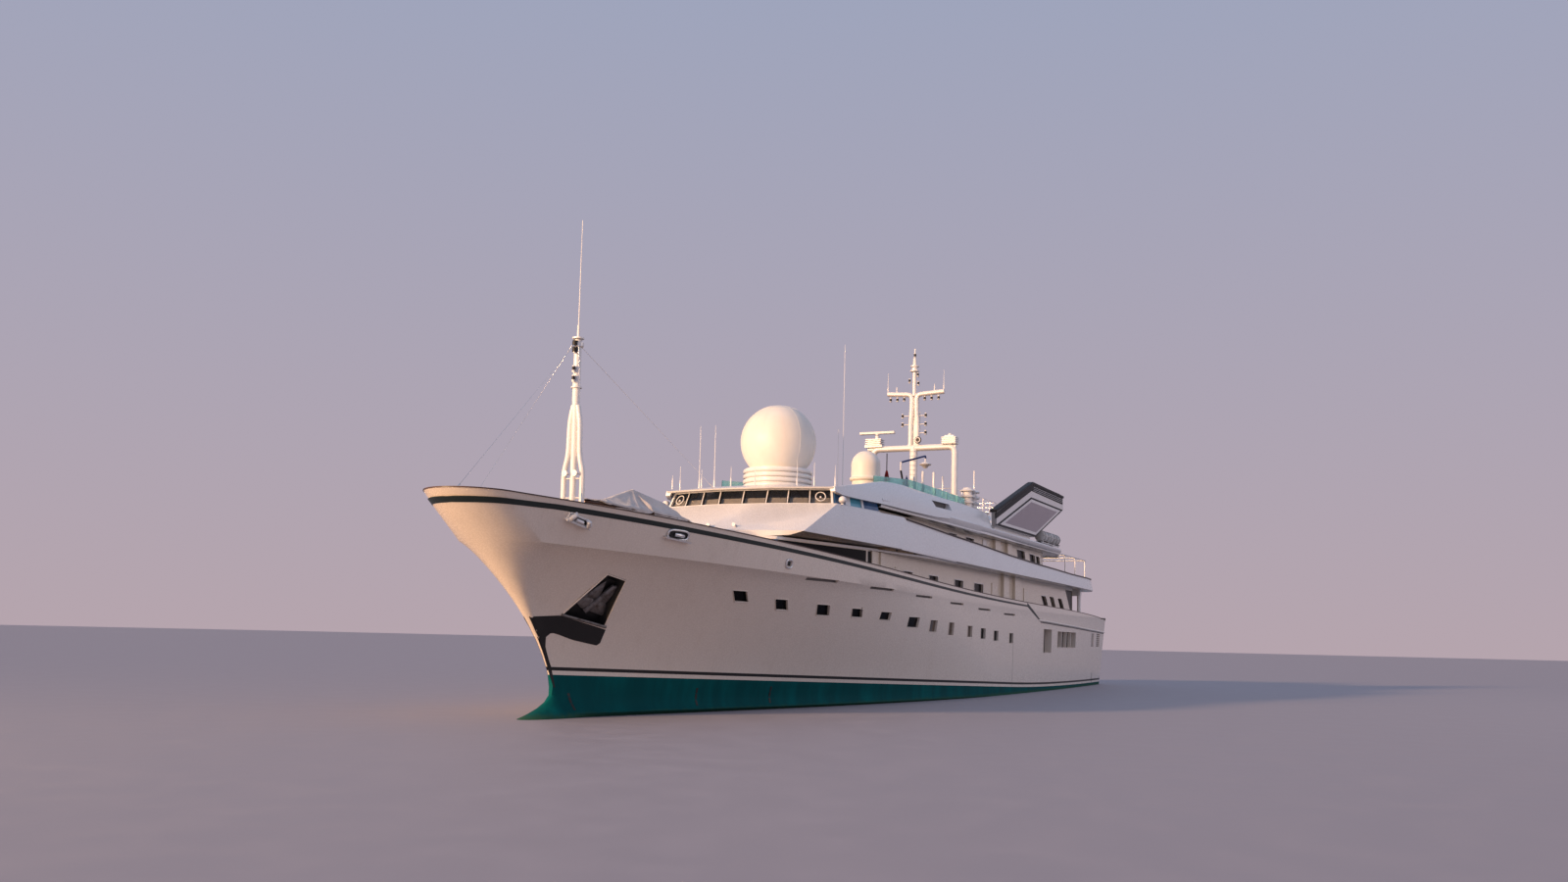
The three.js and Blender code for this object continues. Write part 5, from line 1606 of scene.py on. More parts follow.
# %% Console, wheel and back wall
def console():
    form = Shape().loft([[(17.32, 0, BRIDGE_FLOOR), (17.32, 0, 9.9), (15.95, 0, 9.72),
                          (16.25, 0, BRIDGE_FLOOR)],
                         [(17.3, 1.3, BRIDGE_FLOOR), (17.3, 1.3, 9.9), (16.0, 1.3, 9.72),
                          (16.2, 1.3, BRIDGE_FLOOR)],
                         [(16.5, 3.9, BRIDGE_FLOOR), (16.5, 3.9, 9.9), (15.6, 3.9, 9.72),
                          (15.8, 3.9, BRIDGE_FLOOR)]])
    for k in range(5):
        y = 0.35 + k * 0.72
        x = 17.0 - 0.3 * max(0.0, y - 1.3)
        form.box((x - 0.25, x - 0.1), (y - 0.26, y + 0.26), (9.86, 10.2), 1)
    form.mirror()
    form.spin((15.75, 0, 9.35), [(0.20, -0.03), (0.24, 0), (0.20, 0.03), (0.16, 0), (0.20, -0.03)], 24, 2,
              axis="X")
    form.tube([(15.75, 0, 9.35), (16.1, 0, 9.35)], 0.05, 8, 2)
    return form


def window_ledge():
    """The pale ledge and half curtain that run along inside the front panes."""
    return band_bar(0.0, FRONT_END, 10.18, 10.52, -0.3, -0.24, steps=24).mirror()


def interior():
    form = Shape()
    form.box((13.36, 13.42), (-4.3, 4.3), (8.52, 10.88))
    for y in (-2.2, 0.0, 2.2):
        form.box((13.42, 13.48), (y - 0.45, y + 0.45), (8.6, 10.6), 1)
    for y in (-1.4, 1.4):
        form.tube([(14.9, y, 8.51), (14.9, y, 9.15)], 0.07, 8, 2)
        form.box((14.65, 15.15), (y - 0.26, y + 0.26), (9.15, 9.3), 2)
        form.box((14.62, 14.72), (y - 0.26, y + 0.26), (9.3, 9.95), 2)
    return form


make("bridge_console_desk", console(), [joinery_wood, black, steel], replaces=["bridge_console"],
     bevel=0.012)
make("window_ledge", window_ledge(), [cream], sharp=40)
make("wheelhouse_interior", interior(), [joinery_wood, white, rubber], bevel=0.012)


# %% Wheelhouse doors, on their own bodies
def bridge_door(side):
    face = BRIDGE_AFT - 0.004
    hinge, inner = side * 5.33, side * (5.33 - 0.68)
    span = sorted((hinge, inner))
    form = Shape()
    lo, hi = sorted((side * (5.33 - 0.52), side * (5.33 - 0.16)))
    form.box((face - 0.07, face), span, (8.42, 9.5)).box((face - 0.07, face), span, (10.1, 10.3))
    form.box((face - 0.07, face), (span[0], lo), (9.5, 10.1)).box((face - 0.07, face), (hi, span[1]),
                                                                  (9.5, 10.1))
    form.box((face - 0.05, face - 0.03), (lo, hi), (9.5, 10.1), 1)
    y = side * (5.33 - 0.6)
    form.tube([(face - 0.07, y, 9.3), (face - 0.13, y, 9.3), (face - 0.13, y + side * 0.14, 9.3)], 0.016, 6,
              2)
    return form


for side, name in ((1, "port"), (-1, "starboard")):
    make(f"bridge_door_{name}", bridge_door(side), [white, dark_glass, steel],
         body=f"wheelhouse_door_{name}", replaces=[f"wheelhouse_door_{name}"], bevel=0.008)

# %% [markdown]
# ## Sun deck, roof and the swept screens
#
# The wheelhouse roof is cambered and thin at its edge. Abaft it the sun deck has a deep rounded
# edge, and a tall swept screen on each side that rises behind the roof like a shoulder. A pane of
# turquoise glass stands inside the screen.

# %% Roof over the bridge
def bridge_roof():
    """Rings from the front edge aft, each an arch across the ship."""
    rings = []
    for x, half, edge, crown in ((18.62, 1.6, 11.0, 11.02), (18.45, 2.3, 11.02, 11.08),
                                 (17.8, 4.83, 11.03, 11.22),
                                 (17.2, 4.94, 11.05, 11.27), (15, 5.1, 11.06, 11.3),
                                 (12.4, 5.3, 11.06, 11.3)):
        arch = []
        for k in range(17):
            t = -1 + 2 * k / 16
            arch.append((x, half * t, lerp(crown, edge, abs(t) ** 2.2)))
        low = ROOF_LOW + 0.002
        rings.append(arch + [(x - 0.03, half - 0.04, low)] + [(x - 0.03, -half + 0.04, low)])
    return Shape().loft(rings)


make("bridge_roof", bridge_roof(), [white], replaces=["sun_deck"], sharp=40)


# %% Sun deck edge
def sun_deck_edge():
    """The deep edge of the overhang, with a rounded nose; it deepens aft of the pilasters."""
    rings = []
    for x, half, low, high in ((12.85, 5.62, 10.47, 10.95), (7, 5.72, 10.47, 10.97),
                               (2.0, 5.80, 10.42, 11.0),
                               (-4, 5.90, 10.34, 10.98), (-6.8, 5.90, 10.46, 10.96),
                               (-14, 5.92, 10.46, 10.95),
                               (-21.7, 5.90, 10.46, 10.93), (-26.0, 5.86, 10.46, 10.88),
                               (-27.3, 5.5, 10.46, 10.84),
                               (-27.8, 4.9, 10.46, 10.8), (-27.9, 0.0, 10.46, 10.8)):
        out = lambda y, z: (x, max(0.0, y), z)
        rings.append([out(half - 0.9, high), out(half - 0.06, high), out(half, high - 0.09),
                      out(half - 0.03, high - 0.24),
                      out(half - 0.16, low + 0.05), out(half - 0.3, low), out(half - 0.9, low)])
    return Shape().loft(rings).mirror()


def sun_deck_plate():
    half = [(12.85, 0), (12.85, 5.5), (7, 5.6), (-4, 5.8), (-26, 5.75), (-27.5, 4.9), (-27.8, 0)]
    form = Shape().slab(both(half), 10.47, 10.93)
    return form.slab(both([(12.3, 0), (12.3, 5.35), (-25.8, 5.35), (-25.9, 0)]), 10.9, 11.05, 1)


make("sun_deck_edge", sun_deck_edge(), [white], sharp=40)
make("sun_deck_planks", sun_deck_plate(), [white, deck_teak])

# %% Swept screens and windbreaks
# Place along, half-breadth and height of the foot, half-breadth and height of the top
SCREEN = [(17.75, 4.90, 10.80, 4.86, 11.05), (17.2, 5.10, 10.66, 5.0, 11.12),
          (16.2, 5.25, 10.63, 5.03, 11.3),
          (14.23, 5.48, 10.62, 5.02, 11.58), (12.6, 5.66, 10.62, 5.01, 11.85),
          (11.28, 5.70, 10.62, 5.0, 12.04),
          (9.6, 5.74, 10.62, 5.0, 12.15), (8.1, 5.76, 10.63, 5.0, 12.2), (4.6, 5.81, 10.68, 5.0, 12.18),
          (2.2, 5.83, 10.80, 5.0, 12.19), (0.9, 5.74, 10.95, 5.0, 12.2), (-1.2, 5.62, 11.02, 5.0, 12.22),
          (-3.2, 5.5, SUN_DECK_TOP, 5.0, 12.25), (-6.0, 5.46, SUN_DECK_TOP, 5.05, 12.18),
          (-8.0, 5.47, SUN_DECK_TOP, 5.12, 12.07)]


def side_screens():
    """A swept skin that bulges over the deck edge forward and stands on the deck aft."""
    rings = []
    for x, foot, low, top, high in SCREEN:
        rise = high - low
        curve = [(lerp(foot, top, t) + 0.10 * rise * math.sin(math.pi * t) * clamp((foot - 5.3) / 0.4),
                  low + rise * t)
                 for t in (0.0, 0.12, 0.25, 0.4, 0.55, 0.7, 0.85, 0.97)]
        ring = [(x, y, z) for y, z in curve]
        reach = 0.9 if -3 < x < 12.9 else 0.25
        ring += [(x, top - 0.05, high), (x, top - 0.15, high), (x, top - 0.3, high - 0.05),
                 (x, foot - reach, low)]
        rings.append(ring)
    return Shape().loft(rings).mirror()


NICHE = [(1.0, 11.38), (4.1, 11.33), (4.2, 11.72), (0.8, 11.80)]
screens = make("swept_side_screens", side_screens(), [white],
               replaces=pair("sun_deck_screen"))
# The back of the niche is grey painted shade.
carve(screens, recess(NICHE, 5.3, 0.18).mirror(), [white, shadow_grey])


def windbreak_panes():
    glass = [(11.8, 12.3), (9.0, 12.52), (6, 12.75), (1, 12.76), (-4.5, 12.75)]
    return Shape().loft([[(x, 4.7, SUN_DECK_TOP), (x, 4.66, top), (x, 4.62, top), (x, 4.66, SUN_DECK_TOP)]
                         for x, top in glass]).mirror()


def windbreak_fins():
    form = Shape()
    for x in (4.95, 3.54, 1.34, -0.97, -3.2):
        form.profile([(x - 0.45, 11.06), (x + 0.35, 11.06), (x + 0.02, 12.85), (x - 0.06, 12.85)], 4.5, 4.6)
    return form.mirror()


make("windbreak_glass", windbreak_panes(), [sea_glass], replaces=pair("windbreak"))
make("windbreak_fins", windbreak_fins(), [white], bevel=0.015)
print("bridge and sun deck made:", len(pieces))
# %% [markdown]
# ## Domes
#
# The big dome holds a dish for television, the small one a satellite telephone. Both are turned
# forms in moulded shell: fine seams run up between the panels. The big dome stands on a collar of
# five stacked hoops, each with a drip edge, so one profile spun round an axis makes it.

# %% Domes and collar
DOME_X, DOME_Z, DOME_R, COLLAR_R = 14.2, 13.95, 2.05, 1.85
DOME_FOOT = DOME_Z - DOME_R * 0.72
SMALL_DOME_Z = 14.33


def ball(radius, z, start, steps):
    return [(radius * math.cos(a), z + radius * math.sin(a)) for a in
            [math.radians(lerp(start, 90, k / steps)) for k in range(steps + 1)]]


def big_dome():
    profile = [(0.0, DOME_FOOT), (DOME_R * 0.70, DOME_FOOT),
               (DOME_R * 0.72, DOME_FOOT + 0.05)] + ball(DOME_R, DOME_Z, -44, 40)
    return Shape().spin((DOME_X, 0, 0), profile, 96)


def dome_seams(x, z, radius, count, start, thick):
    """Fine raised seams between the panels: meridians, and one ring above the middle."""
    form = Shape()
    for k in range(count):
        turn = 2 * math.pi * k / count
        path = [(x + r * math.cos(turn), r * math.sin(turn), h) for r,
                h in ball(radius + thick * 0.2, z, start, 18)[:-2]]
        form.tube(path, thick, 4, caps=False)
    r, h = radius * math.cos(math.radians(58)), z + radius * math.sin(math.radians(58))
    ring = [(x + r * math.cos(t), r * math.sin(t), h) for t in [2 * math.pi * k / 48 for k in range(49)]]
    return form.tube(ring, thick, 4, caps=False)


def collar_hoops():
    profile = [(0.0, 11.1)]
    top = DOME_FOOT - 0.004
    for k in range(5):
        low, high = lerp(11.1, top, k / 5), lerp(11.1, top, (k + 1) / 5)
        r = COLLAR_R + 0.03
        profile += [(r - 0.02, low + 0.01), (r, low + 0.04), (r + 0.01, high - 0.12),
                    (r - 0.02, high - 0.07),
                    (r - 0.11, high - 0.05), (r - 0.11, high - 0.01)]
    return Shape().spin((DOME_X, 0, 0), profile + [(0.0, top)], 80)


def collar_plating():
    """Access plates and a cable trunk on the aft side of the collar."""
    form = Shape()
    form.box((DOME_X - 2.35, DOME_X - 1.7), (-0.75, 0.75), (11.12, 11.95))
    for k in range(5):
        z = 11.2 + 0.15 * k
        form.box((DOME_X - 2.4, DOME_X - 2.3), (-0.7, 0.7), (z, z + 0.06))
    return form


def small_dome():
    """A capsule with straight sides, on a flange and a round pedestal."""
    profile = [(0.0, SUN_DECK_TOP), (0.95, SUN_DECK_TOP), (0.95, 11.12), (0.86, 11.16), (0.86, 13.3),
               (0.98, 13.36), (1.02, 13.42),
               (1.02, 13.5), (0.98, 13.54), (0.93, 13.55), (0.92, 13.56)]
    return Shape().spin((1.25, 0, 0), profile + ball(0.92, SMALL_DOME_Z, 0, 24), 64)


make("big_dome_shell", big_dome(), [dome_white], replaces=["big_dome"], sharp=60)
make("big_dome_seams", dome_seams(DOME_X, DOME_Z, DOME_R, 12, -42, 0.008), [dome_white],
     sharp=80)
make("dome_collar_hoops", collar_hoops(), [white], replaces=["dome_collar"], sharp=30)
make("collar_cable_trunk", collar_plating(), [white], bevel=0.02)
make("small_dome_shell", small_dome(), [dome_white], replaces=["small_dome"], sharp=35)
make("small_dome_seams", dome_seams(1.25, SMALL_DOME_Z, 0.92, 8, 0, 0.005), [dome_white],
     sharp=80)

# %% [markdown]
# ## Masts
#
# The foremast is a post between two bent legs, with loudspeakers and lights on it. The main mast
# is a goalpost with rounded corners, and carries two arms of aerials, lamps and the radars. Round
# tubes swept along paths with rounded corners make all of it; lamps are small turned forms.

# %% Rounded paths and small fittings
def rounded(path, radius=0.15, steps=4):
    """A path with its corners rounded off."""
    points = [Vector(p) for p in path]
    out = [points[0]]
    for a, b, c in zip(points, points[1:], points[2:]):
        r = min(radius, (b - a).length * 0.45, (c - b).length * 0.45)
        start, end = b + (a - b).normalized() * r, b + (c - b).normalized() * r
        for k in range(steps + 1):
            t = k / steps
            out.append(start * (1 - t) ** 2 + b * 2 * t * (1 - t) + end * t * t)
    return out + [points[-1]]


def lantern(x, y, z, r=0.13, h=0.34):
    """A navigation lamp: a base, a lens and a cap (finishes 0 and 1)."""
    form = Shape().spin((x, y, z), [(0.0, 0.0), (r * 0.9, 0.0), (r, h * 0.12), (r * 0.8, h * 0.2)], 16, 0)
    form.spin((x, y, z), [(r * 0.8, h * 0.2), (r * 0.85, h * 0.5), (r * 0.8, h * 0.78)], 16, 1)
    return form.spin((x, y, z), [(r * 0.8, h * 0.78), (r, h * 0.8), (r * 0.7, h), (0.0, h)], 16, 0)


def whip(x, y, low, high, thick=0.03):
    """An aerial: a thick insulator at the foot and a tapering rod."""
    return Shape().tube([(x, y, low), (x, y, low + 0.5), (x, y, low + 0.55), (x, y, high)],
                        [thick * 2, thick * 2, thick, thick * 0.45], 8)


# %% Foremast
def foremast():
    x = 33.9
    form = Shape()
    for s in (1, -1):
        path = [(x, s * 0.45, 6.9), (x, s * 0.45, 9.97), (x, s * 0.27, 10.7), (x, s * 0.24, 12.1),
                (x, s * 0.1, 12.75)]
        form.tube(rounded(path, 0.3, 5), 0.115, 16)
        form.spin((x, s * 0.45, 0), [(0.26, 6.95), (0.26, 7.02), (0.14, 7.06)], 20)
    form.tube([(x, 0, 6.9), (x, 0, 12.4), (x, 0, 13.0), (x, 0, 15.6)], [0.13, 0.13, 0.165, 0.15], 20)
    for z in (8.9, 9.7):
        form.tube([(x, -0.4, z), (x, 0.4, z)], 0.03, 8)
    form.spin((x, 0, 0), [(0.17, 15.5), (0.25, 15.54), (0.25, 15.6), (0.0, 15.66)], 20)
    return form.join(whip(x, 0, 15.6, 20.6, 0.03))


def foremast_fittings():
    x = 33.9
    form = Shape()
    for s in (1, -1):
        form.tube([(x, s * 0.24, 9.9), (x + 0.14, s * 0.24, 9.9), (x + 0.3, s * 0.24, 9.9)],
                  [0.04, 0.06, 0.13], 12, 0)
    for z in (15.05, 15.33):
        form.spin((x + 0.22, 0, z), [(0.0, -0.1), (0.11, -0.1), (0.12, 0.0), (0.11, 0.1), (0.0, 0.1)], 16,
                  1)
        form.box((x + 0.1, x + 0.3), (-0.03, 0.03), (z - 0.14, z - 0.1), 0)
    for z in (14.3, 13.9):
        form.join(lantern(x + 0.26, 0.0, z - 0.16, 0.08, 0.24))
        form.box((x + 0.12, x + 0.3), (-0.05, 0.05), (z - 0.2, z - 0.16), 0)
    form.spin((x, 0, 13.5), [(0.17, -0.05), (0.23, -0.03), (0.23, 0.03), (0.17, 0.05)], 20, 0)
    return form


def stays():
    x = 33.9
    form = Shape()
    form.spin((x, 0, 15.3), [(0.165, -0.1), (0.24, -0.08), (0.24, 0.08), (0.165, 0.1)], 20)
    for fx, fy, fz in ((41.6, 0, 8.27), (37.3, 2.72, 8.17), (37.3, -2.72, 8.17), (18.05, -1.9, 11.12)):
        share = 0.22 / math.hypot(fx - x, fy)
        head, foot = Vector((lerp(x, fx, share), fy * share, 15.3)), Vector((fx, fy, fz))
        way = (foot - head).normalized()
        form.tube([head, head + way * 0.2, head + way * 0.22, foot - way * 0.62, foot - way * 0.6,
                   foot - way * 0.1, foot],
                  [0.026, 0.026, 0.008, 0.008, 0.026, 0.026, 0.02], 6)
    return form


make("foremast_tubes", foremast(), [white], replaces=["foremast"], sharp=50)
make("foremast_lamps", foremast_fittings(), [white, black], sharp=40)
make("foremast_wire_stays", stays(), [steel], replaces=["foremast_stays"], sharp=50)

# %% Main mast
MAST_X = -7.65


def mast_frame():
    x = MAST_X
    form = Shape()
    goal = [(x, 2.95, SUN_DECK_TOP), (x, 2.95, 16.65), (x, -2.95, 16.65), (x, -2.95, SUN_DECK_TOP)]
    form.tube(rounded(goal, 0.45, 6), 0.22, 18)
    form.tube([(x, -3.35, 16.65), (x, 3.05, 16.65)], 0.15, 14)
    form.tube([(x, 0, SUN_DECK_TOP), (x, 0, 16.7)], 0.27, 18)
    for s in (1, -1):
        arm_end = -1.95 if s < 0 else 2.17
        tube = [(x, s * 1.6, 16.66), (x, s * 0.24, 16.68), (x, s * 0.24, 18.4), (x, s * 0.17, 19.3),
                (x, s * 0.17, 20.38),
                (x, arm_end, 20.5)]
        form.tube(rounded(tube, 0.35, 6), 0.17, 14)
    form.box((x - 0.2, x - 0.05), (-0.3, 0.40), (16.7, 19.2)).box((x - 0.18, x - 0.05), (-0.24, 0.30),
                                                                  (19.2, 20.4))
    form.tube([(x, 0, 20.3), (x, 0, 22.0)], 0.14, 14)
    form.spin((x, 0, 0), [(0.2, 21.95), (0.32, 22.0), (0.32, 22.08), (0.2, 22.12), (0.2, 22.3),
                          (0.3, 22.33), (0.3, 22.4),
                          (0.14, 22.46), (0.12, 22.9), (0.06, 23.0), (0.05, 23.6), (0.0, 23.62)], 20)
    for k in range(16):
        z = 11.6 + 0.32 * k
        form.tube(rounded([(x + 0.2, -0.16, z), (x + 0.42, -0.16, z), (x + 0.42, 0.16, z),
                           (x + 0.2, 0.16, z)], 0.05, 2),
                  0.015, 5)
    return form


def mast_gear():
    """Boxes, lamps, horns and small aerials of the main mast."""
    x = MAST_X
    form = Shape()
    form.box((x - 0.34, x + 0.34), (-3.5, -2.25),
             (16.78, 16.95)).box((x - 0.3, x + 0.3), (-3.35, -2.4), (16.95, 17.38))
    form.tube([(x, -2.7, 17.36), (x, -2.7, 17.6)], 0.14, 14)
    for s in (1, -1):
        for z in (17.7, 18.3, 18.9) if s > 0 else (18.3, 18.9):
            form.tube([(x, s * 0.3, z), (x, s * 0.86, z)], 0.035, 6)
            form.join(lantern(x, s * 0.84, z - 0.14, 0.1, 0.3))
        for y in (0.75, 1.25, 1.75):
            form.tube([(x, s * y, 20.32), (x, s * y, 20.2)], 0.03, 6)
            form.join(lantern(x, s * y, 19.95, 0.1, 0.28))
    for y, z in ((0.34, 21.0), (-0.3, 21.2), (0.3, 21.6)):
        form.box((x - 0.03, x + 0.2), (y - 0.03, y + 0.03), (z - 0.03, z + 0.01))
        form.join(lantern(x + 0.2, y, z, 0.09, 0.28))
    form.join(lantern(x, 0, 23.0, 0.1, 0.3))
    for y, top in ((-1.95, 22.0), (2.12, 22.0), (-1.3, 21.0), (1.45, 21.1)):
        form.join(whip(x, y, 20.42, top, 0.025))
    form.tube([(x + 0.2, 0.42, 17.15), (x + 0.34, 0.42, 17.15), (x + 0.36, 0.42, 17.15),
               (x + 0.42, 0.42, 17.15)],
              [0.1, 0.24, 0.25, 0.21], 20, 1)
    form.spin((x + 0.43, 0.42, 17.15), [(0.13, 0.0), (0.17, 0.02), (0.2, 0.0)], 20, 0, axis="X")
    return form.tube([(x, 0.42, 17.15), (x + 0.2, 0.42, 17.15)], 0.06, 8)


def radar_louvres():
    """Thin plates stacked round each radar's housing."""
    form = Shape()
    for k in range(4):
        z = 16.9 + 0.13 * k
        form.box((MAST_X - 0.4, MAST_X + 0.4), (-3.45, -2.3), (z, z + 0.07))
        form.box((MAST_X - 0.37, MAST_X + 0.37), (2.08, 3.12), (z - 0.04, z + 0.02))
    return form


def radar_unit():
    x = MAST_X
    form = Shape().box((x - 0.33, x + 0.33), (2.12, 3.08), (16.81, 17.3))
    form.box((x - 0.22, x + 0.22), (2.25, 2.95), (17.3, 17.43))
    form.spin((x, 2.6, 17.4), [(0.0, 0.0), (0.15, 0.0), (0.13, 0.16), (0.0, 0.2)], 18)
    return form


def radar_bar():
    """The turning scanner: a long box with a rounded back and a slotted face, on its boss."""
    x, y, z, half = MAST_X, -2.7, 17.8, 1.3
    section = [(-0.13, -0.09), (0.02, -0.1), (0.13, -0.06), (0.14, 0.08), (0.04, 0.12), (-0.1, 0.1),
               (-0.14, 0.02)]
    rings = [[(x + a * s, at, z + 0.01 + b * s) for a, b in section] for at, s in
             ((y - half, 0.7), (y - half + 0.04, 1), (y + half - 0.04, 1), (y + half, 0.7))]
    form = Shape().loft(rings)
    form.spin((x, y, 0), [(0.0, z - 0.186), (0.13, z - 0.186), (0.15, z - 0.16), (0.12, z - 0.05)], 20)
    return form


make("main_mast_frame", mast_frame(), [white], replaces=["main_mast"], sharp=45)
make("main_mast_fittings", mast_gear(), [white, black], sharp=40)
make("radar_louvres", radar_louvres(), [white], bevel=0.01)
make("radar_box", radar_unit(), [white], replaces=["radar_unit"], bevel=0.03)
make("radar_bar", radar_bar(), [white], body="radar_scanner", replaces=["radar_scanner"],
     sharp=35)

# %% Whips, flagstaffs and stubs on the bridge roof
def roof_aerials():
    form = Shape()
    for x, y, top in ((17.0, -3.3, 14.6), (17.0, -2.4, 14.6), (9.6, 1.9, 20.2), (12.0, 2.6, 14.9),
                      (17.6, -4.6, 11.9),
                      (17.3, -4.3, 12.4), (17.4, -1.2, 12.3), (17.4, 0.2, 12.2), (17.0, 3.4, 12.4),
                      (16.6, 4.4, 12.3),
                      (17.3, -3.0, 12.2), (16.5, 2.2, 12.6)):
        form.join(whip(x, y, 11.15, top, 0.018 if top < 13 else 0.024))
    return form


make("roof_aerials", roof_aerials(), [white], sharp=60)
print("masts made:", len(pieces))
# %% [markdown]
# ## Funnels
#
# A pair of funnels leans aft and outwards from the sun deck like wings. Each is a slab whose
# outer face carries a big panel in a black frame, with a black band above it, and whose upper
# end is closed by louvres. The slab is a side view sheared outwards, so that one helper can lay
# every panel and band on the sloping face.

# %% Funnels
FUNNEL_FOOT, FUNNEL_CANT = 11.3, 0.16
FUNNEL = [(-8.8, 11.3), (-18.9, 11.3), (-26.0, 14.0), (-25.1, 14.9), (-16.0, 15.0), (-8.1, 12.3)]
PANEL = [(-8.6, 11.32), (-18.85, 11.32), (-25.7, 13.97), (-16.13, 13.98)]
WING_THICKNESS = 0.36
# The trunk behind the wing is lower, and hidden by it from the bow
TRUNK = [(-10.2, 11.3), (-18.9, 11.3), (-22.8, 12.8), (-22.4, 13.3), (-16.0, 13.3)]


def canted(outline, inside, outside, base=5.6):
    """A plate on the sloping outer face of a funnel, between two distances from that face."""
    at = lambda z, out: base + FUNNEL_CANT * (z - FUNNEL_FOOT) + out
    return Shape().loft([[(x, at(z, inside), z) for x, z in outline],
                         [(x, at(z, outside), z) for x, z in outline]])


def shrunk(outline, by):
    """An outline whose edges are all moved inwards by a distance."""
    points = [Vector(p) for p in outline]
    area = sum(a.x * b.y - b.x * a.y for a, b in zip(points, points[1:] + points[:1]))
    side = math.copysign(1, area)
    out = []
    for before, here, after in zip(points[-1:] + points[:-1], points, points[1:] + points[:1]):
        first, second = (here - before).normalized(), (after - here).normalized()
        inward = [Vector((-way.y, way.x)) * side for way in (first, second)]
        middle = (inward[0] + inward[1]).normalized()
        p = here + middle * by / max(0.1, middle.dot(inward[0]))
        out.append((p.x, p.y))
    return out


def funnel_body():
    """The leaning slab and its foot on the deck."""
    form = canted(FUNNEL, -WING_THICKNESS, 0.0).join(canted(TRUNK, -2.3, -WING_THICKNESS))
    form.box((-18.6, -9.2), (3.3, 5.3), (SUN_DECK_TOP, 11.4))
    return form


def funnel_panels():
    """A black line, a pale border and a grey panel, one inside the other, and the black band above them;
    the panel's grey is its paint and partly painted shade.
    """
    form = Shape()
    for inset, out, shade in ((0.0, 0.03, 1), (0.13, 0.045, 0), (0.33, 0.06, 2)):
        plate = canted(shrunk(PANEL, inset) if inset else PANEL, -0.05, out)
        plate.finishes = [shade] * len(plate.faces)
        form.join(plate)
    slope = [canted([(-8.22, 12.14), (-8.0, 12.05), (-8.27, 11.72), (-8.5, 11.8), (-15.9, 14.42),
                     (-15.98, 14.82)], -0.04, 0.03)]
    slope.append(canted([(-15.98, 14.82), (-15.9, 14.42), (-25.35, 14.36), (-25.05, 14.84)], -0.04, 0.03))
    for band in slope:
        band.finishes = [1] * len(band.faces)
        form.join(band)
    top_strip = canted([(-25.1, 15.0), (-15.96, 15.055), (-8.0, 12.305), (-7.99, 12.325), (-15.95, 15.08),
                        (-25.1, 15.025)],
                       -WING_THICKNESS, 0.0)
    top_strip.finishes = [1] * len(top_strip.faces)
    form.join(top_strip)
    for k in range(3):
        low = 14.47 + 0.12 * k
        form.join(canted([(-16.3, low), (-16.3, low + 0.03), (-25.1, low + 0.03), (-25.1, low)], 0.0, 0.05))
    return form


def funnel_louvres():
    """Black slats across the aft end and the aft part of the top."""
    form = Shape()
    for k in range(6):
        t = (k + 0.5) / 6
        x, z = lerp(-25.95, -25.2, t), lerp(14.1, 14.85, t)
        form.join(canted([(x - 0.12, z - 0.02), (x + 0.35, z - 0.06), (x + 0.35, z + 0.02),
                          (x - 0.12, z + 0.05)], -WING_THICKNESS, -0.05))
    for k in range(9):
        x = -24.4 + 0.8 * k
        form.join(canted([(x, 14.9), (x + 0.5, 14.9), (x + 0.62, 15.08), (x + 0.12, 15.08)],
                         -WING_THICKNESS, -0.05))
    return form


def funnel_trim():
    """The slab that closes the top and the sloping front edge."""
    return canted([(-25.3, 14.84), (-16.0, 14.84), (-8.05, 12.14), (-7.95, 12.3), (-15.95, 15.06),
                   (-25.2, 15.0)],
                  -WING_THICKNESS - 0.06, 0.06)


for s, side in ((1, "port"), (-1, "starboard")):
    for name, form, finishes, gone in (("body", funnel_body(), [white], [f"funnel_{side}"]),
                                       ("panels", funnel_panels(), [white, black, funnel_grey_with_painted_shade], []),
                                       ("louvres", funnel_louvres(), [black], []),
                                       ("upper_slab", funnel_trim(), [black], [])):
        form.corners = [(x, s * y, z) for x, y, z in form.corners]
        make(f"funnel_{name}_{side}", form, finishes, replaces=gone, bevel=0.02)

# %% [markdown]
# ## Casing, ventilators and life rafts
#
# Between the funnels a sloping casing covers the engine room's trunk. The ventilators are stacks
# of round plates that keep rain out. The life rafts are canisters in pairs of half shells, banded
# together and strapped down on sloping racks at the deck edge.

# %% Casing and ventilators
def casing():
    form = Shape().slab(both([(-8.9, 0), (-8.95, 2.5), (-9.1, 2.6), (-19.3, 2.6), (-19.4, 2.4),
                              (-19.4, 0)]), SUN_DECK_TOP, 12.9)
    form.slab(both([(-8.8, 0), (-8.8, 2.7), (-19.5, 2.7), (-19.5, 0)]), 12.86, 12.96)
    for k in range(5):
        x = -10.5 - k * 1.9
        form.slab(both([(x, 0), (x, 1.7), (x - 1.1, 1.7), (x - 1.1, 0)]), 12.96, 13.06, 0)
    return form


def ventilator_stack(x, y):
    profile = [(0.0, 12.15), (0.32, 12.15), (0.32, 12.25)]
    for k in range(4):
        z = 12.22 + 0.4 * k
        profile += [(0.30, z), (0.50, z - 0.04), (0.52, z + 0.02), (0.36, z + 0.14), (0.30, z + 0.16)]
    return Shape().spin((x, y, 0), profile + [(0.30, 13.62), (0.0, 13.7)], 28)


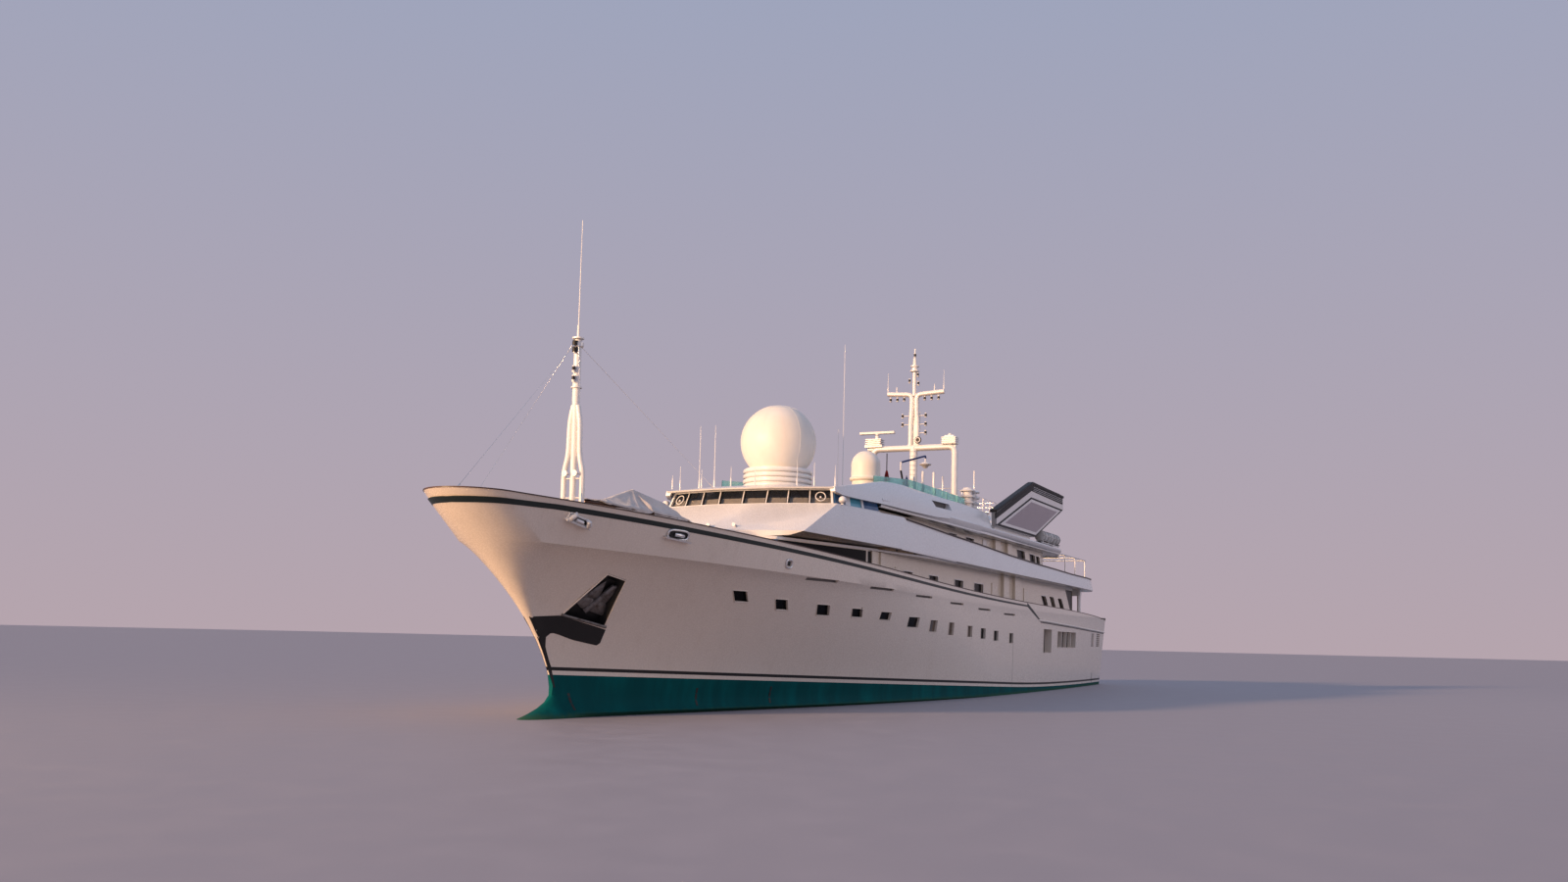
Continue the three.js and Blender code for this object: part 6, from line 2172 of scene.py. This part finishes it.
def ventilators():
    form = Shape().box((-7.9, -5.8), (3.7, 4.85), (SUN_DECK_TOP, 12.2))
    for x in (-7.35, -6.35):
        form.join(ventilator_stack(x, 4.3))
    # Grey strips on the inboard face stand for the dark louvre gaps: painted shade.
    for k in range(4):
        z = 11.35 + 0.2 * k
        form.box((-7.7, -6.0), (3.66, 3.7), (z, z + 0.09), 1)
    return form


make("engine_casing", casing(), [white], replaces=["casing"], bevel=0.03)
for s, side in ((1, "port"), (-1, "starboard")):
    form = ventilators()
    form.corners = [(x, s * y, z) for x, y, z in form.corners]
    make(f"plate_ventilators_{side}", form, [white, shadow_grey],
         replaces=[f"ventilators_{side}"], sharp=35)


# %% Life rafts
def raft(x, y, z):
    """A canister: two half shells with a flanged joint, ribs and two bands."""
    profile = [(0.0, -0.78), (0.24, -0.76), (0.36, -0.70), (0.41, -0.58)]
    for k in range(7):
        c = -0.54 + k * 0.18
        profile += [(0.42, c - 0.05), (0.405, c), (0.42, c + 0.05)]
    profile += [(0.41, 0.58), (0.36, 0.70), (0.24, 0.76), (0.0, 0.78)]
    form = Shape().spin((x, y, z), profile, 26, 0, axis="X")
    form.box((x - 0.76, x + 0.76), (y - 0.44, y + 0.44), (z - 0.02, z + 0.02), 0)
    for band in (-0.4, 0.4):
        form.spin((x + band, y, z), [(0.425, -0.03), (0.435, -0.03), (0.435, 0.03), (0.425, 0.03)], 26, 1,
                  axis="X")
        form.box((x + band - 0.06, x + band + 0.06), (y - 0.4, y + 0.4), (z - 0.47, z - 0.40), 2)
    return form


def raft_rack():
    form = Shape()
    for y in (5.1, 5.5):
        form.tube([(-26.6, y, 11.12), (-21.2, y, 11.12)], 0.05, 8)
    for x in (-26.3, -25.0, -24.6, -23.2, -22.8, -21.5):
        form.tube([(x, 5.05, SUN_DECK_TOP), (x, 5.05, 11.25), (x, 5.55, 11.25), (x, 5.55, SUN_DECK_TOP)],
                  0.035, 6)
    return form


for s, side in ((1, "port"), (-1, "starboard")):
    form = Shape()
    for x in (-25.7, -23.9, -22.1):
        form.join(raft(x, 5.3, 11.62))
    rack = raft_rack()
    for part in (form, rack):
        part.corners = [(x, s * y, z) for x, y, z in part.corners]
    make(f"raft_canisters_{side}", form, [raft_white, black, galvanised],
         replaces=[f"life_rafts_{side}"], sharp=40)
    make(f"raft_rack_{side}", rack, [white], sharp=50)

# %% [markdown]
# ## After decks
#
# Polished tubes carry an awning over the open end of the upper deck; its canvas is stowed. Below,
# two faired columns hold the deck up, and glass screens keep the wind off the saloon's doors.

# %% Awning frame and columns
def awning():
    form = Shape()
    y, z = 5.35, 10.65
    for x in (-29.5, -33.0, -36.6):
        hoop = [(x, y, 8.305), (x, y, z), (x, -y, z), (x, -y, 8.305)]
        form.tube(rounded(hoop, 0.25, 5), 0.055, 12)
        for s in (1, -1):
            form.spin((x, s * y, 0), [(0.12, 8.305), (0.12, 8.34), (0.06, 8.37)], 16)
    for s in (1, -1):
        form.tube([(-36.7, s * y, z), (-28.2, s * y, z)], 0.05, 10)
    return form


ROLL_TURNS, ROLL_INNER, ROLL_OUTER, ROLL_LENGTH = 3.25, 0.03, 0.125, 10.0


def roll_section(y, swell):
    """The spiral of a rolled sheet at one place across the ship."""
    ring = []
    for k in range(53):
        t = k / 52
        turn, r = 2 * math.pi * ROLL_TURNS * t, lerp(ROLL_INNER, ROLL_OUTER, t) * swell
        ring.append((-28.6 + r * math.cos(turn), y, 10.5 + r * math.sin(turn) - 0.012 * math.sin(y * 3.1)))
    return ring


def stowed_awning():
    """The awning rolled up under the first hoop: one sheet in a spiral, drawn in where it is tied."""
    places = [lerp(-ROLL_LENGTH / 2, ROLL_LENGTH / 2, k / 60) for k in range(61)]
    rings = [roll_section(y, 1.0 - 0.16 * max(0.0, math.cos(math.pi * y)) ** 8) for y in places]
    return Shape().loft(rings, loop=False, caps=False)


def awning_ties():
    """Short bands round the roll, one at every metre or two."""
    form = Shape()
    for k in range(5):
        y = -4.0 + 2 * k
        form.spin((-28.6, y, 10.5), [(0.112, -0.03), (0.122, -0.03), (0.122, 0.03), (0.112, 0.03)], 20,
                  axis="Y")
    return form


def columns():
    form = Shape()
    for s in (1, -1):
        rings = []
        for z, wide in ((4.6, 0.34), (5.0, 0.28), (7.4, 0.26), (7.85, 0.36)):
            rings.append([(-36.4 + a * wide, s * 4.9 + b * 0.15, z) for a, b in
                          ((1, 0), (0.7, 0.8), (0, 1), (-0.7, 0.8), (-1, 0), (-0.7, -0.8), (0, -1),
                           (0.7, -0.8))])
        form.loft(rings)
    form.box((-36.7, -36.1), (-5.05, 5.05), (7.6, 8.096))
    return form


make("awning_tubes", awning(), [steel], replaces=["awning_frame"], sharp=50)
furled = make("furled_awning", stowed_awning(), [canvas], sharp=80)
ties = make("awning_ties", awning_ties(), [black])
roll_width = sum(math.dist(a, b) for a, b in zip(roll_section(0.5, 1.0), roll_section(0.5, 1.0)[1:]))
make("aft_deck_columns", columns(), [white], replaces=["aft_columns"], sharp=40)


# %% Stern door, on its own body
def stern_door():
    face = lambda z, back=0.0: transom(z) + 0.05 + back
    return Shape().loft([[(face(3.9), y, 3.9), (face(0.9), y, 0.9), (face(0.9, 0.22), y, 0.9),
                          (face(3.9, 0.22), y, 3.9)]
                         for y in (-2.2, 2.2)])


make("stern_door_leaf", stern_door(), [ivory], body="stern_door", replaces=["stern_door"],
     bevel=0.03)

# %% [markdown]
# ## Running gear
#
# Each propeller has four blades of real twisted section: the pitch angle falls from the root to
# the tip, and the outline is widest two thirds of the way out. Sections are lofted from hub to tip.

# %% Propellers
def blade(turn, hand):
    rings = []
    for k in range(9):
        r = lerp(0.24, 1.10, k / 8)
        wide = 0.52 * math.sin(math.pi * clamp(0.18 + 0.80 * k / 8)) ** 0.6 if k < 8 else 0.10
        thick = lerp(0.055, 0.012, k / 8)
        pitch = math.atan2(1.9, 2 * math.pi * r)
        section = [(-1, 0), (-0.5, 1), (0.1, 1.1), (0.7, 0.7), (1, 0), (0.7, -0.2), (0.1, -0.3),
                   (-0.5, -0.2)]
        ring = []
        for a, b in section:
            chord, rise = a * wide, b * thick
            along_x = chord * math.sin(pitch) + rise * math.cos(pitch)
            around = (chord * math.cos(pitch) - rise * math.sin(pitch)) * hand
            angle = turn + around / r * 0.9
            ring.append((-37.4 + along_x - 0.05 * (r - 0.24), r * math.cos(angle), r * math.sin(angle)))
        rings.append(ring)
    return Shape().loft(rings)


def propeller(hand):
    form = Shape().spin((-37.4, 0, 0), [(0.0, -0.5), (0.1, -0.48), (0.2, -0.35), (0.28, -0.2), (0.30, 0.0),
                                        (0.30, 0.345),
                                        (0.0, 0.345)], 32, axis="X")
    for k in range(4):
        form.join(blade(k * math.pi / 2, hand))
    return form


for s, side in ((1, "port"), (-1, "starboard")):
    form = propeller(s).copy(0, s * 2.4, -3.75)
    make(f"four_blade_propeller_{side}", form, [bronze], body=f"propeller_{side}",
         replaces=[f"propeller_{side}"],
         sharp=40)


# %% Shafts, rudders and fins
def shaft_line():
    y, z = 2.4, -3.75
    form = Shape().tube([(-24.0, y, z), (-37.04, y, z)], 0.17, 18)
    form.spin((-36.4, y, z), [(0.0, -0.5), (0.26, -0.5), (0.31, -0.4), (0.31, 0.4), (0.26, 0.5),
                              (0.0, 0.5)], 24, 1, axis="X")
    for side in (-1, 1):
        root, tip = Vector((-36.4, y + side * 0.9, -1.9)), Vector((-36.4, y, z))
        across = (tip - root).cross(Vector((1, 0, 0))).normalized()
        foil = [(0.34, 0), (0.2, 0.06), (0, 0.075), (-0.34, 0.0), (0, -0.075), (0.2, -0.06)]
        form.loft([[p + Vector((a, 0, 0)) + across * b for a, b in foil] for p in (root, tip)], 1)
    form.spin((-24.3, y, z), [(0.0, -0.4), (0.24, -0.4), (0.3, 0.2), (0.36, 1.2)], 24, 1, axis="X")
    return form


def foil_ring(front, chord, thick, z, points=18):
    """A symmetric foil section seen from above."""
    ring = []
    for k in range(points):
        t = k / points
        u = 0.5 * (1 + math.cos(2 * math.pi * t))
        half = 5 * thick * (0.2969 * math.sqrt(1 - u + 1e-9) - 0.1260 * (1 - u) - 0.3516 * (1 - u) ** 2
                            + 0.2843 * (1 - u) ** 3 - 0.1015 * (1 - u) ** 4)
        ring.append((front - chord * (1 - u), half if t < 0.5 else -half, z))
    return ring


def rudder(side):
    x, y = -40.6, side * 2.4
    rings = []
    for z, chord, front in ((-4.75, 1.95, 0.55), (-4.7, 2.05, 0.62), (-3.4, 2.1, 0.65), (-2.3, 2.1, 0.65)):
        rings.append([(x + u, y + v, w) for u, v, w in foil_ring(front, chord, 0.3, z)])
    form = Shape().loft(rings)
    return form.tube([(x, y, -2.6), (x, y, -2.05)], 0.19, 20)


def fin():
    rings = [[(u, v, z) for u, v, z in foil_ring(0.51 - 0.1 * k, 1.7 - 0.12 * k, 0.23, 0.2 + 1.7 * k / 4)]
             for k in range(5)]
    form = Shape().loft(rings)
    form.tube([(0, 0, 0.026), (0, 0, 0.5)], 0.105, 16)
    turn = Matrix.Rotation(-math.radians(125), 4, "X")
    form.corners = [tuple(turn @ Vector(c) + Vector((4.5, 5.15, -3.55))) for c in form.corners]
    return form


for s, side in ((1, "port"), (-1, "starboard")):
    shaft, fin_form = shaft_line(), fin()
    for part in (shaft, fin_form):
        part.corners = [(x, s * y, z) for x, y, z in part.corners]
    make(f"propeller_shaft_{side}", shaft, [bronze, antifouling], replaces=[f"shaft_{side}"],
         sharp=40)
    make(f"rudder_blade_{side}", rudder(s), [antifouling], body=f"rudder_{side}",
         replaces=[f"rudder_{side}"],
         sharp=60)
    make(f"fin_blade_{side}", fin_form, [antifouling], body=f"stabiliser_fin_{side}",
         replaces=[f"stabiliser_fin_{side}"], sharp=60)
print("after part made:", len(pieces))
# %% [markdown]
# ## The covered tender on the foredeck
#
# A small boat lies in chocks on the foredeck, under a grey-white cover. A ridge pole with one
# prop holds the cover up, and folds run down from the prop. Folds like these come out wrong when
# they are drawn by hand, so the cover is a flat sheet that falls onto the boat in a cloth
# simulation. The sheet is simulated at full size, because cloth behaves best near a metre.

# %% Boat and chocks
TENDER_MIDDLE = -1.05  # place across the ship
BOAT = [  # place along, half-breadth, height of the keel and of the gunwale
    (23.05, 0.60, 7.90, 8.86), (23.6, 0.85, 7.50, 8.92), (25.0, 0.98, 7.25, 8.95), (27.0, 1.00, 7.10, 8.97),
    (29.0, 0.95, 7.15, 9.00), (30.3, 0.72, 7.35, 9.05), (31.1, 0.38, 7.75, 9.10), (31.55, 0.08, 8.30, 9.12)]


def boat_hull():
    rings = []
    for x, half, low, top in BOAT:
        side = [(0, low), (0.5 * half, low + 0.1), (0.86 * half, lerp(low, top, 0.45)), (half, top - 0.16),
                (half + 0.05, top - 0.1), (half, top - 0.03), (half - 0.06, top - 0.03),
                (half - 0.06, top - 0.3)]
        ring = side + [(-y, z) for y, z in reversed(side[1:])]
        rings.append([(x, TENDER_MIDDLE + y, z) for y, z in ring])
    shades = [0, 0, 0, 1, 1, 0, 0, 0, 0, 0, 1, 1, 0, 0, 0]
    return Shape().loft(rings, shades)


def chocks():
    form = Shape()
    for x in (24.6, 29.2):
        outline = [(-0.75, 6.43), (0.75, 6.43), (0.75, 7.75), (0.6, 7.75), (0.35, 7.32), (-0.35, 7.32),
                   (-0.6, 7.75),
                   (-0.75, 7.75)]
        form.loft([[(x + end, TENDER_MIDDLE + y, z) for y, z in outline] for end in (-0.12, 0.12)])
    return form


boat = make("tender_hull", boat_hull(), [buff, rail_teak], replaces=["covered_tender"], sharp=50)
make("tender_chocks", chocks(), [white], bevel=0.02)

# %% The cover: a flat sheet that falls over the ridge
RIDGE = [(22.95, 8.98), (23.43, 9.37), (23.99, 9.48), (24.63, 9.65), (25.78, 9.78), (26.81, 9.88),
         (27.56, 9.96),
         (28.0, 9.86), (28.98, 9.56), (29.77, 9.30), (30.78, 9.17), (31.6, 9.08)]
PROP = (27.56, 9.96)  # place along and height of the prop that lifts the cover
SKIRT, CLOTH_STEP, CLOTH_FRAMES = 0.17, 0.085, 48


def across_boat(x, column):
    """Half-breadth or height of the boat at a place along, read from its table."""
    return along([(row[0], row[column]) for row in BOAT], x)


def loose_mesh(name, corners, faces):
    mesh = bpy.data.meshes.new(name)
    mesh.from_pydata([tuple(c) for c in corners], [], faces)
    obj = bpy.data.objects.new(name, mesh)
    scene.collection.objects.link(obj)
    return obj


def ridge_former():
    """What lies under the cover: gunwales, ridge pole and prop, as one skin at full size."""
    rings = []
    for x, top in RIDGE:
        half, rail = across_boat(x, 1), across_boat(x, 3)
        peak = max(top - 0.03, rail + 0.01)
        side = [(half, rail - 0.5), (half, rail), (0.5 * half, lerp(rail, peak, 0.5) - 0.1), (0.04, peak)]
        rings.append([(x, TENDER_MIDDLE + y, z) for y, z in side + [(-y, z) for y, z in reversed(side)]])
    form = Shape().loft(rings)
    former = loose_mesh("former", form.corners, form.faces)
    work = bmesh.new()
    work.from_mesh(former.data)
    bmesh.ops.remove_doubles(work, verts=work.verts, dist=1e-4)
    bmesh.ops.recalc_face_normals(work, faces=work.faces)
    work.to_mesh(former.data)
    work.free()
    former.modifiers.new("solid", "COLLISION")
    former.collision.thickness_outer, former.collision.cloth_friction = 0.012, 30
    return former


def flat_cover():
    """The cut of the cover, laid flat just above the prop: rows of corners, from aft to forward."""
    runs = [(0.0, RIDGE[0][0])]
    for (xa, za), (xb, zb) in zip(RIDGE, RIDGE[1:]):
        runs.append((runs[-1][0] + math.hypot(xb - xa, zb - za), xb))
    prop_run = next(run for run, x in runs if x == PROP[0])
    start, end = -SKIRT, runs[-1][0] + SKIRT
    count = round((end - start) / CLOTH_STEP)
    rows = []
    for i in range(count + 1):
        run = lerp(start, end, i / count)
        x = along([(r, place) for r, place in runs], run)
        rise = max(0.0, along(RIDGE, x) - across_boat(x, 3))
        half = math.hypot(across_boat(x, 1) + 0.05, rise) * 1.03 + SKIRT
        rows.append([(PROP[0] + run - prop_run, TENDER_MIDDLE + half * j / 17, PROP[1] + 0.02)
                     for j in range(-17, 18)])
    return rows


def fallen(sheet_rows):
    """The places of the corners after the sheet has fallen and come to rest."""
    wide = len(sheet_rows[0])
    corners = [c for row in sheet_rows for c in row]
    faces = [(i * wide + j, i * wide + j + 1, (i + 1) * wide + j + 1, (i + 1) * wide + j)
             for i in range(len(sheet_rows) - 1) for j in range(wide - 1)]
    former, cloth = ridge_former(), loose_mesh("falling sheet", corners, faces)
    held = cloth.vertex_groups.new(name="held")
    held.add([k for k, c in enumerate(corners) if math.hypot(c[0] - PROP[0], c[1] - TENDER_MIDDLE) < 0.1],
             1.0, "REPLACE")
    drop = cloth.modifiers.new("drop", "CLOTH")
    settings = drop.settings
    settings.quality, settings.mass, settings.air_damping = 7, 0.35, 3.0
    settings.tension_stiffness = settings.compression_stiffness = 30
    settings.shear_stiffness, settings.bending_stiffness = 10, 0.25
    settings.vertex_group_mass = "held"
    drop.collision_settings.distance_min = 0.012
    drop.point_cache.frame_start, drop.point_cache.frame_end = 1, CLOTH_FRAMES
    for frame_number in range(1, CLOTH_FRAMES + 1):
        scene.frame_set(frame_number)
    result = bpy.data.meshes.new_from_object(cloth.evaluated_get(bpy.context.evaluated_depsgraph_get()))
    places = [tuple(v.co) for v in result.vertices]
    for obj in (cloth, former):
        bpy.data.objects.remove(obj)
    scene.frame_set(1)
    return places, faces


rows = flat_cover()
places, cover_faces = fallen(rows)
cover = make("tender_cover", Shape().put(places, cover_faces), [canvas], sharp=180, merge=False)
cover.modifiers.new("smooth cloth", "SUBSURF").render_levels = 1

# %% [markdown]
# ## Windlass and deck fittings
# The windlass stands ahead of the foremast: a bed, two chain wheels, and two drums for
# rope. Bollards are welded pairs of short posts with caps. The camera is too low to see them.
# to see them, but the part is looked at from above as well.


# %% Windlass
def chain_run(start, end):
    """Links along a line, each turned a quarter from the last."""
    start, end = Vector(start), Vector(end)
    way = (end - start).normalized()
    across = way.orthogonal().normalized()
    form = Shape()
    count = int((end - start).length / 0.2)
    for k in range(count):
        centre = start + way * (0.1 + 0.2 * k)
        flat = across if k % 2 else way.cross(across)
        oval = [centre + way * 0.13 * math.cos(t) + flat * 0.075 * math.sin(t)
                for t in [2 * math.pi * i / 12 for i in range(13)]]
        form.tube(oval, 0.026, 6, caps=False)
    return form


def windlass():
    form = Shape().box((35.6, 37.3), (-1.5, 1.5), (6.9, 7.05)).box((35.9, 37.0), (-0.2, 0.2), (7.05, 7.9))
    for s in (1, -1):
        form.box((36.1, 36.75), sorted((s * 0.52, s * 0.66)), (7.05, 7.85))
        form.box((36.05, 36.8), sorted((s * 1.32, s * 1.42)), (7.05, 7.9))
        wheel = [(0.06, -0.16), (0.42, -0.16), (0.42, -0.11), (0.27, -0.04), (0.27, 0.04), (0.42, 0.11),
                 (0.42, 0.16),
                 (0.06, 0.16)]
        form.spin((36.4, s * 0.36, 7.75), wheel, 32, 1, axis="Y")
        drum = [(0.06, -0.3), (0.40, -0.3), (0.40, -0.26), (0.24, -0.22), (0.22, 0.0), (0.24, 0.22),
                (0.40, 0.26),
                (0.40, 0.3), (0.06, 0.3)]
        form.spin((36.4, s * 0.98, 7.75), drum, 32, 1, axis="Y")
        head = [(0.0, 0.0), (0.20, 0.0), (0.15, s * 0.08), (0.15, s * 0.16), (0.22, s * 0.22),
                (0.0, s * 0.24)]
        form.spin((36.4, s * 1.42, 7.75), head, 24, 1, axis="Y")
        form.tube([(36.4, s * 0.2, 7.75), (36.4, s * 1.45, 7.75)], 0.07, 12, 1)
    return form


def chains():
    form = chain_run((36.75, 0.36, 7.98), (38.3, 0.62, 7.32))
    return form.mirror()


def bitts(x, y):
    """A pair of bollards on one plate, at deck height."""
    z = deck(x)
    form = Shape().box((x - 0.55, x + 0.55), (y - 0.22, y + 0.22), (z - 0.05, z + 0.05))
    for end in (-0.32, 0.32):
        form.spin((x + end, y, z), [(0.15, 0.04), (0.15, 0.48), (0.19, 0.5), (0.19, 0.56), (0.0, 0.58)], 20)
    return form


def deck_fittings():
    form = Shape()
    for x, y in ((39.3, 0.95), (33.0, 3.05), (31.0, 3.35), (-41.2, 4.6), (-39.4, 4.75)):
        form.join(bitts(x, y))
    form.mirror()
    for x, y, half in ((32.6, 0.0, 0.45), (34.9, 1.35, 0.35), (34.9, -1.35, 0.35)):
        z = deck(x) + 0.05
        form.box((x - half, x + half), (y - half, y + half), (z, z + 0.3))
        form.box((x - half - 0.05, x + half + 0.05), (y - half - 0.05, y + half + 0.05),
                 (z + 0.3, z + 0.38))
    return form


def mushroom_vents():
    form = Shape()
    for x, y in ((38.3, 1.35), (33.9, 1.9), (24.0, 3.4)):
        z = deck(x)
        form.spin((x, y, z), [(0.1, 0.0), (0.1, 0.45), (0.2, 0.46), (0.22, 0.52), (0.14, 0.6), (0.0, 0.62)],
                  20)
    return form.mirror()


make("mooring_windlass", windlass(), [white, galvanised], replaces=["windlass"], bevel=0.015)
make("anchor_chains", chains(), [galvanised], sharp=60)
make("bollards_and_hatches", deck_fittings(), [white], bevel=0.015)
make("mushroom_vents", mushroom_vents(), [white], sharp=40)

# %% [markdown]
# ## Small things on the sun deck
#
# A lamp on a bent arm, two furled parasols, stanchions and a guard rail round the casing stand
# against the sky, so each of them shows although it is small.


# %% Lamp, stanchions and guard rail
def deck_lamp():
    x, y = 3.05, 3.0
    form = Shape().tube([(2.6, y, 11.05), (2.63, y, 12.98), (x, y, 13.7)], 0.06, 10, 2)
    form.tube([(x, y, 13.7), (x, y, 14.25)], 0.05, 10, 0)
    form.tube(rounded([(x, y, 14.2), (-1.45, y, 15.18), (-1.5, y, 15.0)], 0.1, 4), 0.06, 10, 1)
    form.tube([(-1.45, y, 15.02), (-1.45, y, 14.8)], 0.045, 8, 0)
    return form.spin((-1.45, y, 0), [(0.05, 14.84), (0.4, 14.64), (0.38, 14.6), (0.2, 14.52), (0.12, 14.4),
                                     (0.0, 14.38)], 28, 0)


def stanchions():
    form = Shape()
    for x, top, thick in ((-7.45, 14.9, 0.05), (-0.78, 13.75, 0.06), (0.97, 13.8, 0.08), (3.0, 13.6, 0.09),
                          (4.57, 13.1, 0.06)):
        form.tube([(x, 4.4, 11.06), (x, 4.4, 11.4), (x, 4.4, 11.5), (x, 4.4, top)],
                  [thick * 1.8, thick * 1.6, thick, thick], 12)
    return form.mirror()


def casing_rail():
    """Three rails on posts round the roof of the engine casing."""
    corners = [(-8.95, -2.5), (-8.95, 2.5), (-19.3, 2.5), (-19.3, -2.5), (-8.95, -2.5)]
    form = Shape()
    for z in (13.3, 13.62, 13.95):
        form.tube(rounded([(x, y, z) for x, y in corners], 0.15, 3), 0.022, 6)
    for (xa, ya), (xb, yb) in zip(corners, corners[1:]):
        count = max(1, round(math.dist((xa, ya), (xb, yb)) / 1.7))
        for k in range(count):
            x, y = lerp(xa, xb, k / count), lerp(ya, yb, k / count)
            form.tube([(x, y, 12.95), (x, y, 13.96)], 0.028, 8)
    return form


def bridge_lamps():
    """A ball lamp at the corner of the bridge and a small lamp low on its front."""
    form = Shape()
    ball_lamp = [(0.2 * math.cos(a), 0.2 * math.sin(a)) for a in [math.radians(lerp(-90, 90, k / 12))
                                                                  for k in range(13)]]
    form.spin((17.3, 5.12, 10.4), ball_lamp, 20)
    form.tube([(17.3, 5.12, 10.16), (17.3, 5.12, 10.3)], 0.07, 10)
    low = Vector(APEX).lerp(Vector(FOOT), 0.10).lerp(Vector(CREASE).lerp(Vector(CORNER), 0.10), 0.16)
    form.tube([low - Vector((0.1, 0, 0)), low + Vector((0.1, 0, 0.03)), low + Vector((0.22, 0, 0.03))],
              [0.05, 0.06, 0.1], 12)
    return form.mirror()


make("sun_deck_lamp", deck_lamp(), [white, signal_blue, black], sharp=40)
make("sun_deck_stanchions", stanchions(), [white], sharp=40)
make("casing_guard_rail", casing_rail(), [steel], sharp=60)
make("bridge_lamps", bridge_lamps(), [white], sharp=40)


# %% Furled parasols
def furled_cloth(x, y, high, low, inner, outer):
    """A folded parasol: pleats that hang round the pole, as one sheet with a seam."""
    rings = []
    for k in range(9):
        t = k / 8
        spread = [lerp(0.05, outer, t**0.7) if i % 2 else lerp(0.045, inner, t**0.7) for i in range(17)]
        rings.append([(x + r * math.cos(2 * math.pi * i / 16.4), y + r * math.sin(2 * math.pi * i / 16.4),
                       lerp(high, low, t) - (0.03 * t if i % 2 else 0)) for i, r in enumerate(spread)])
    return rings


def parasol(name, colour, x, high, low, top):
    y = 3.0
    pole = make(f"{name}_pole", Shape().tube([(x, y, 11.05), (x, y, top)], 0.03, 8), [black])
    rings = furled_cloth(x, y, high, low, 0.07, 0.18)
    cloth = make(name, Shape().loft(rings, loop=False, caps=False), [colour], sharp=180)


parasol("red_parasol", signal_red, 5.47, 13.4, 12.75, 14.43)
parasol("blue_parasol", signal_blue, 2.02, 13.4, 12.8, 13.5)
print("deck pieces made:", len(pieces))
# %% [markdown]
# ## Closing the scene
#
# The number of dressed pieces is printed at the end.

# %% Number of pieces
print("pieces:", len(pieces))
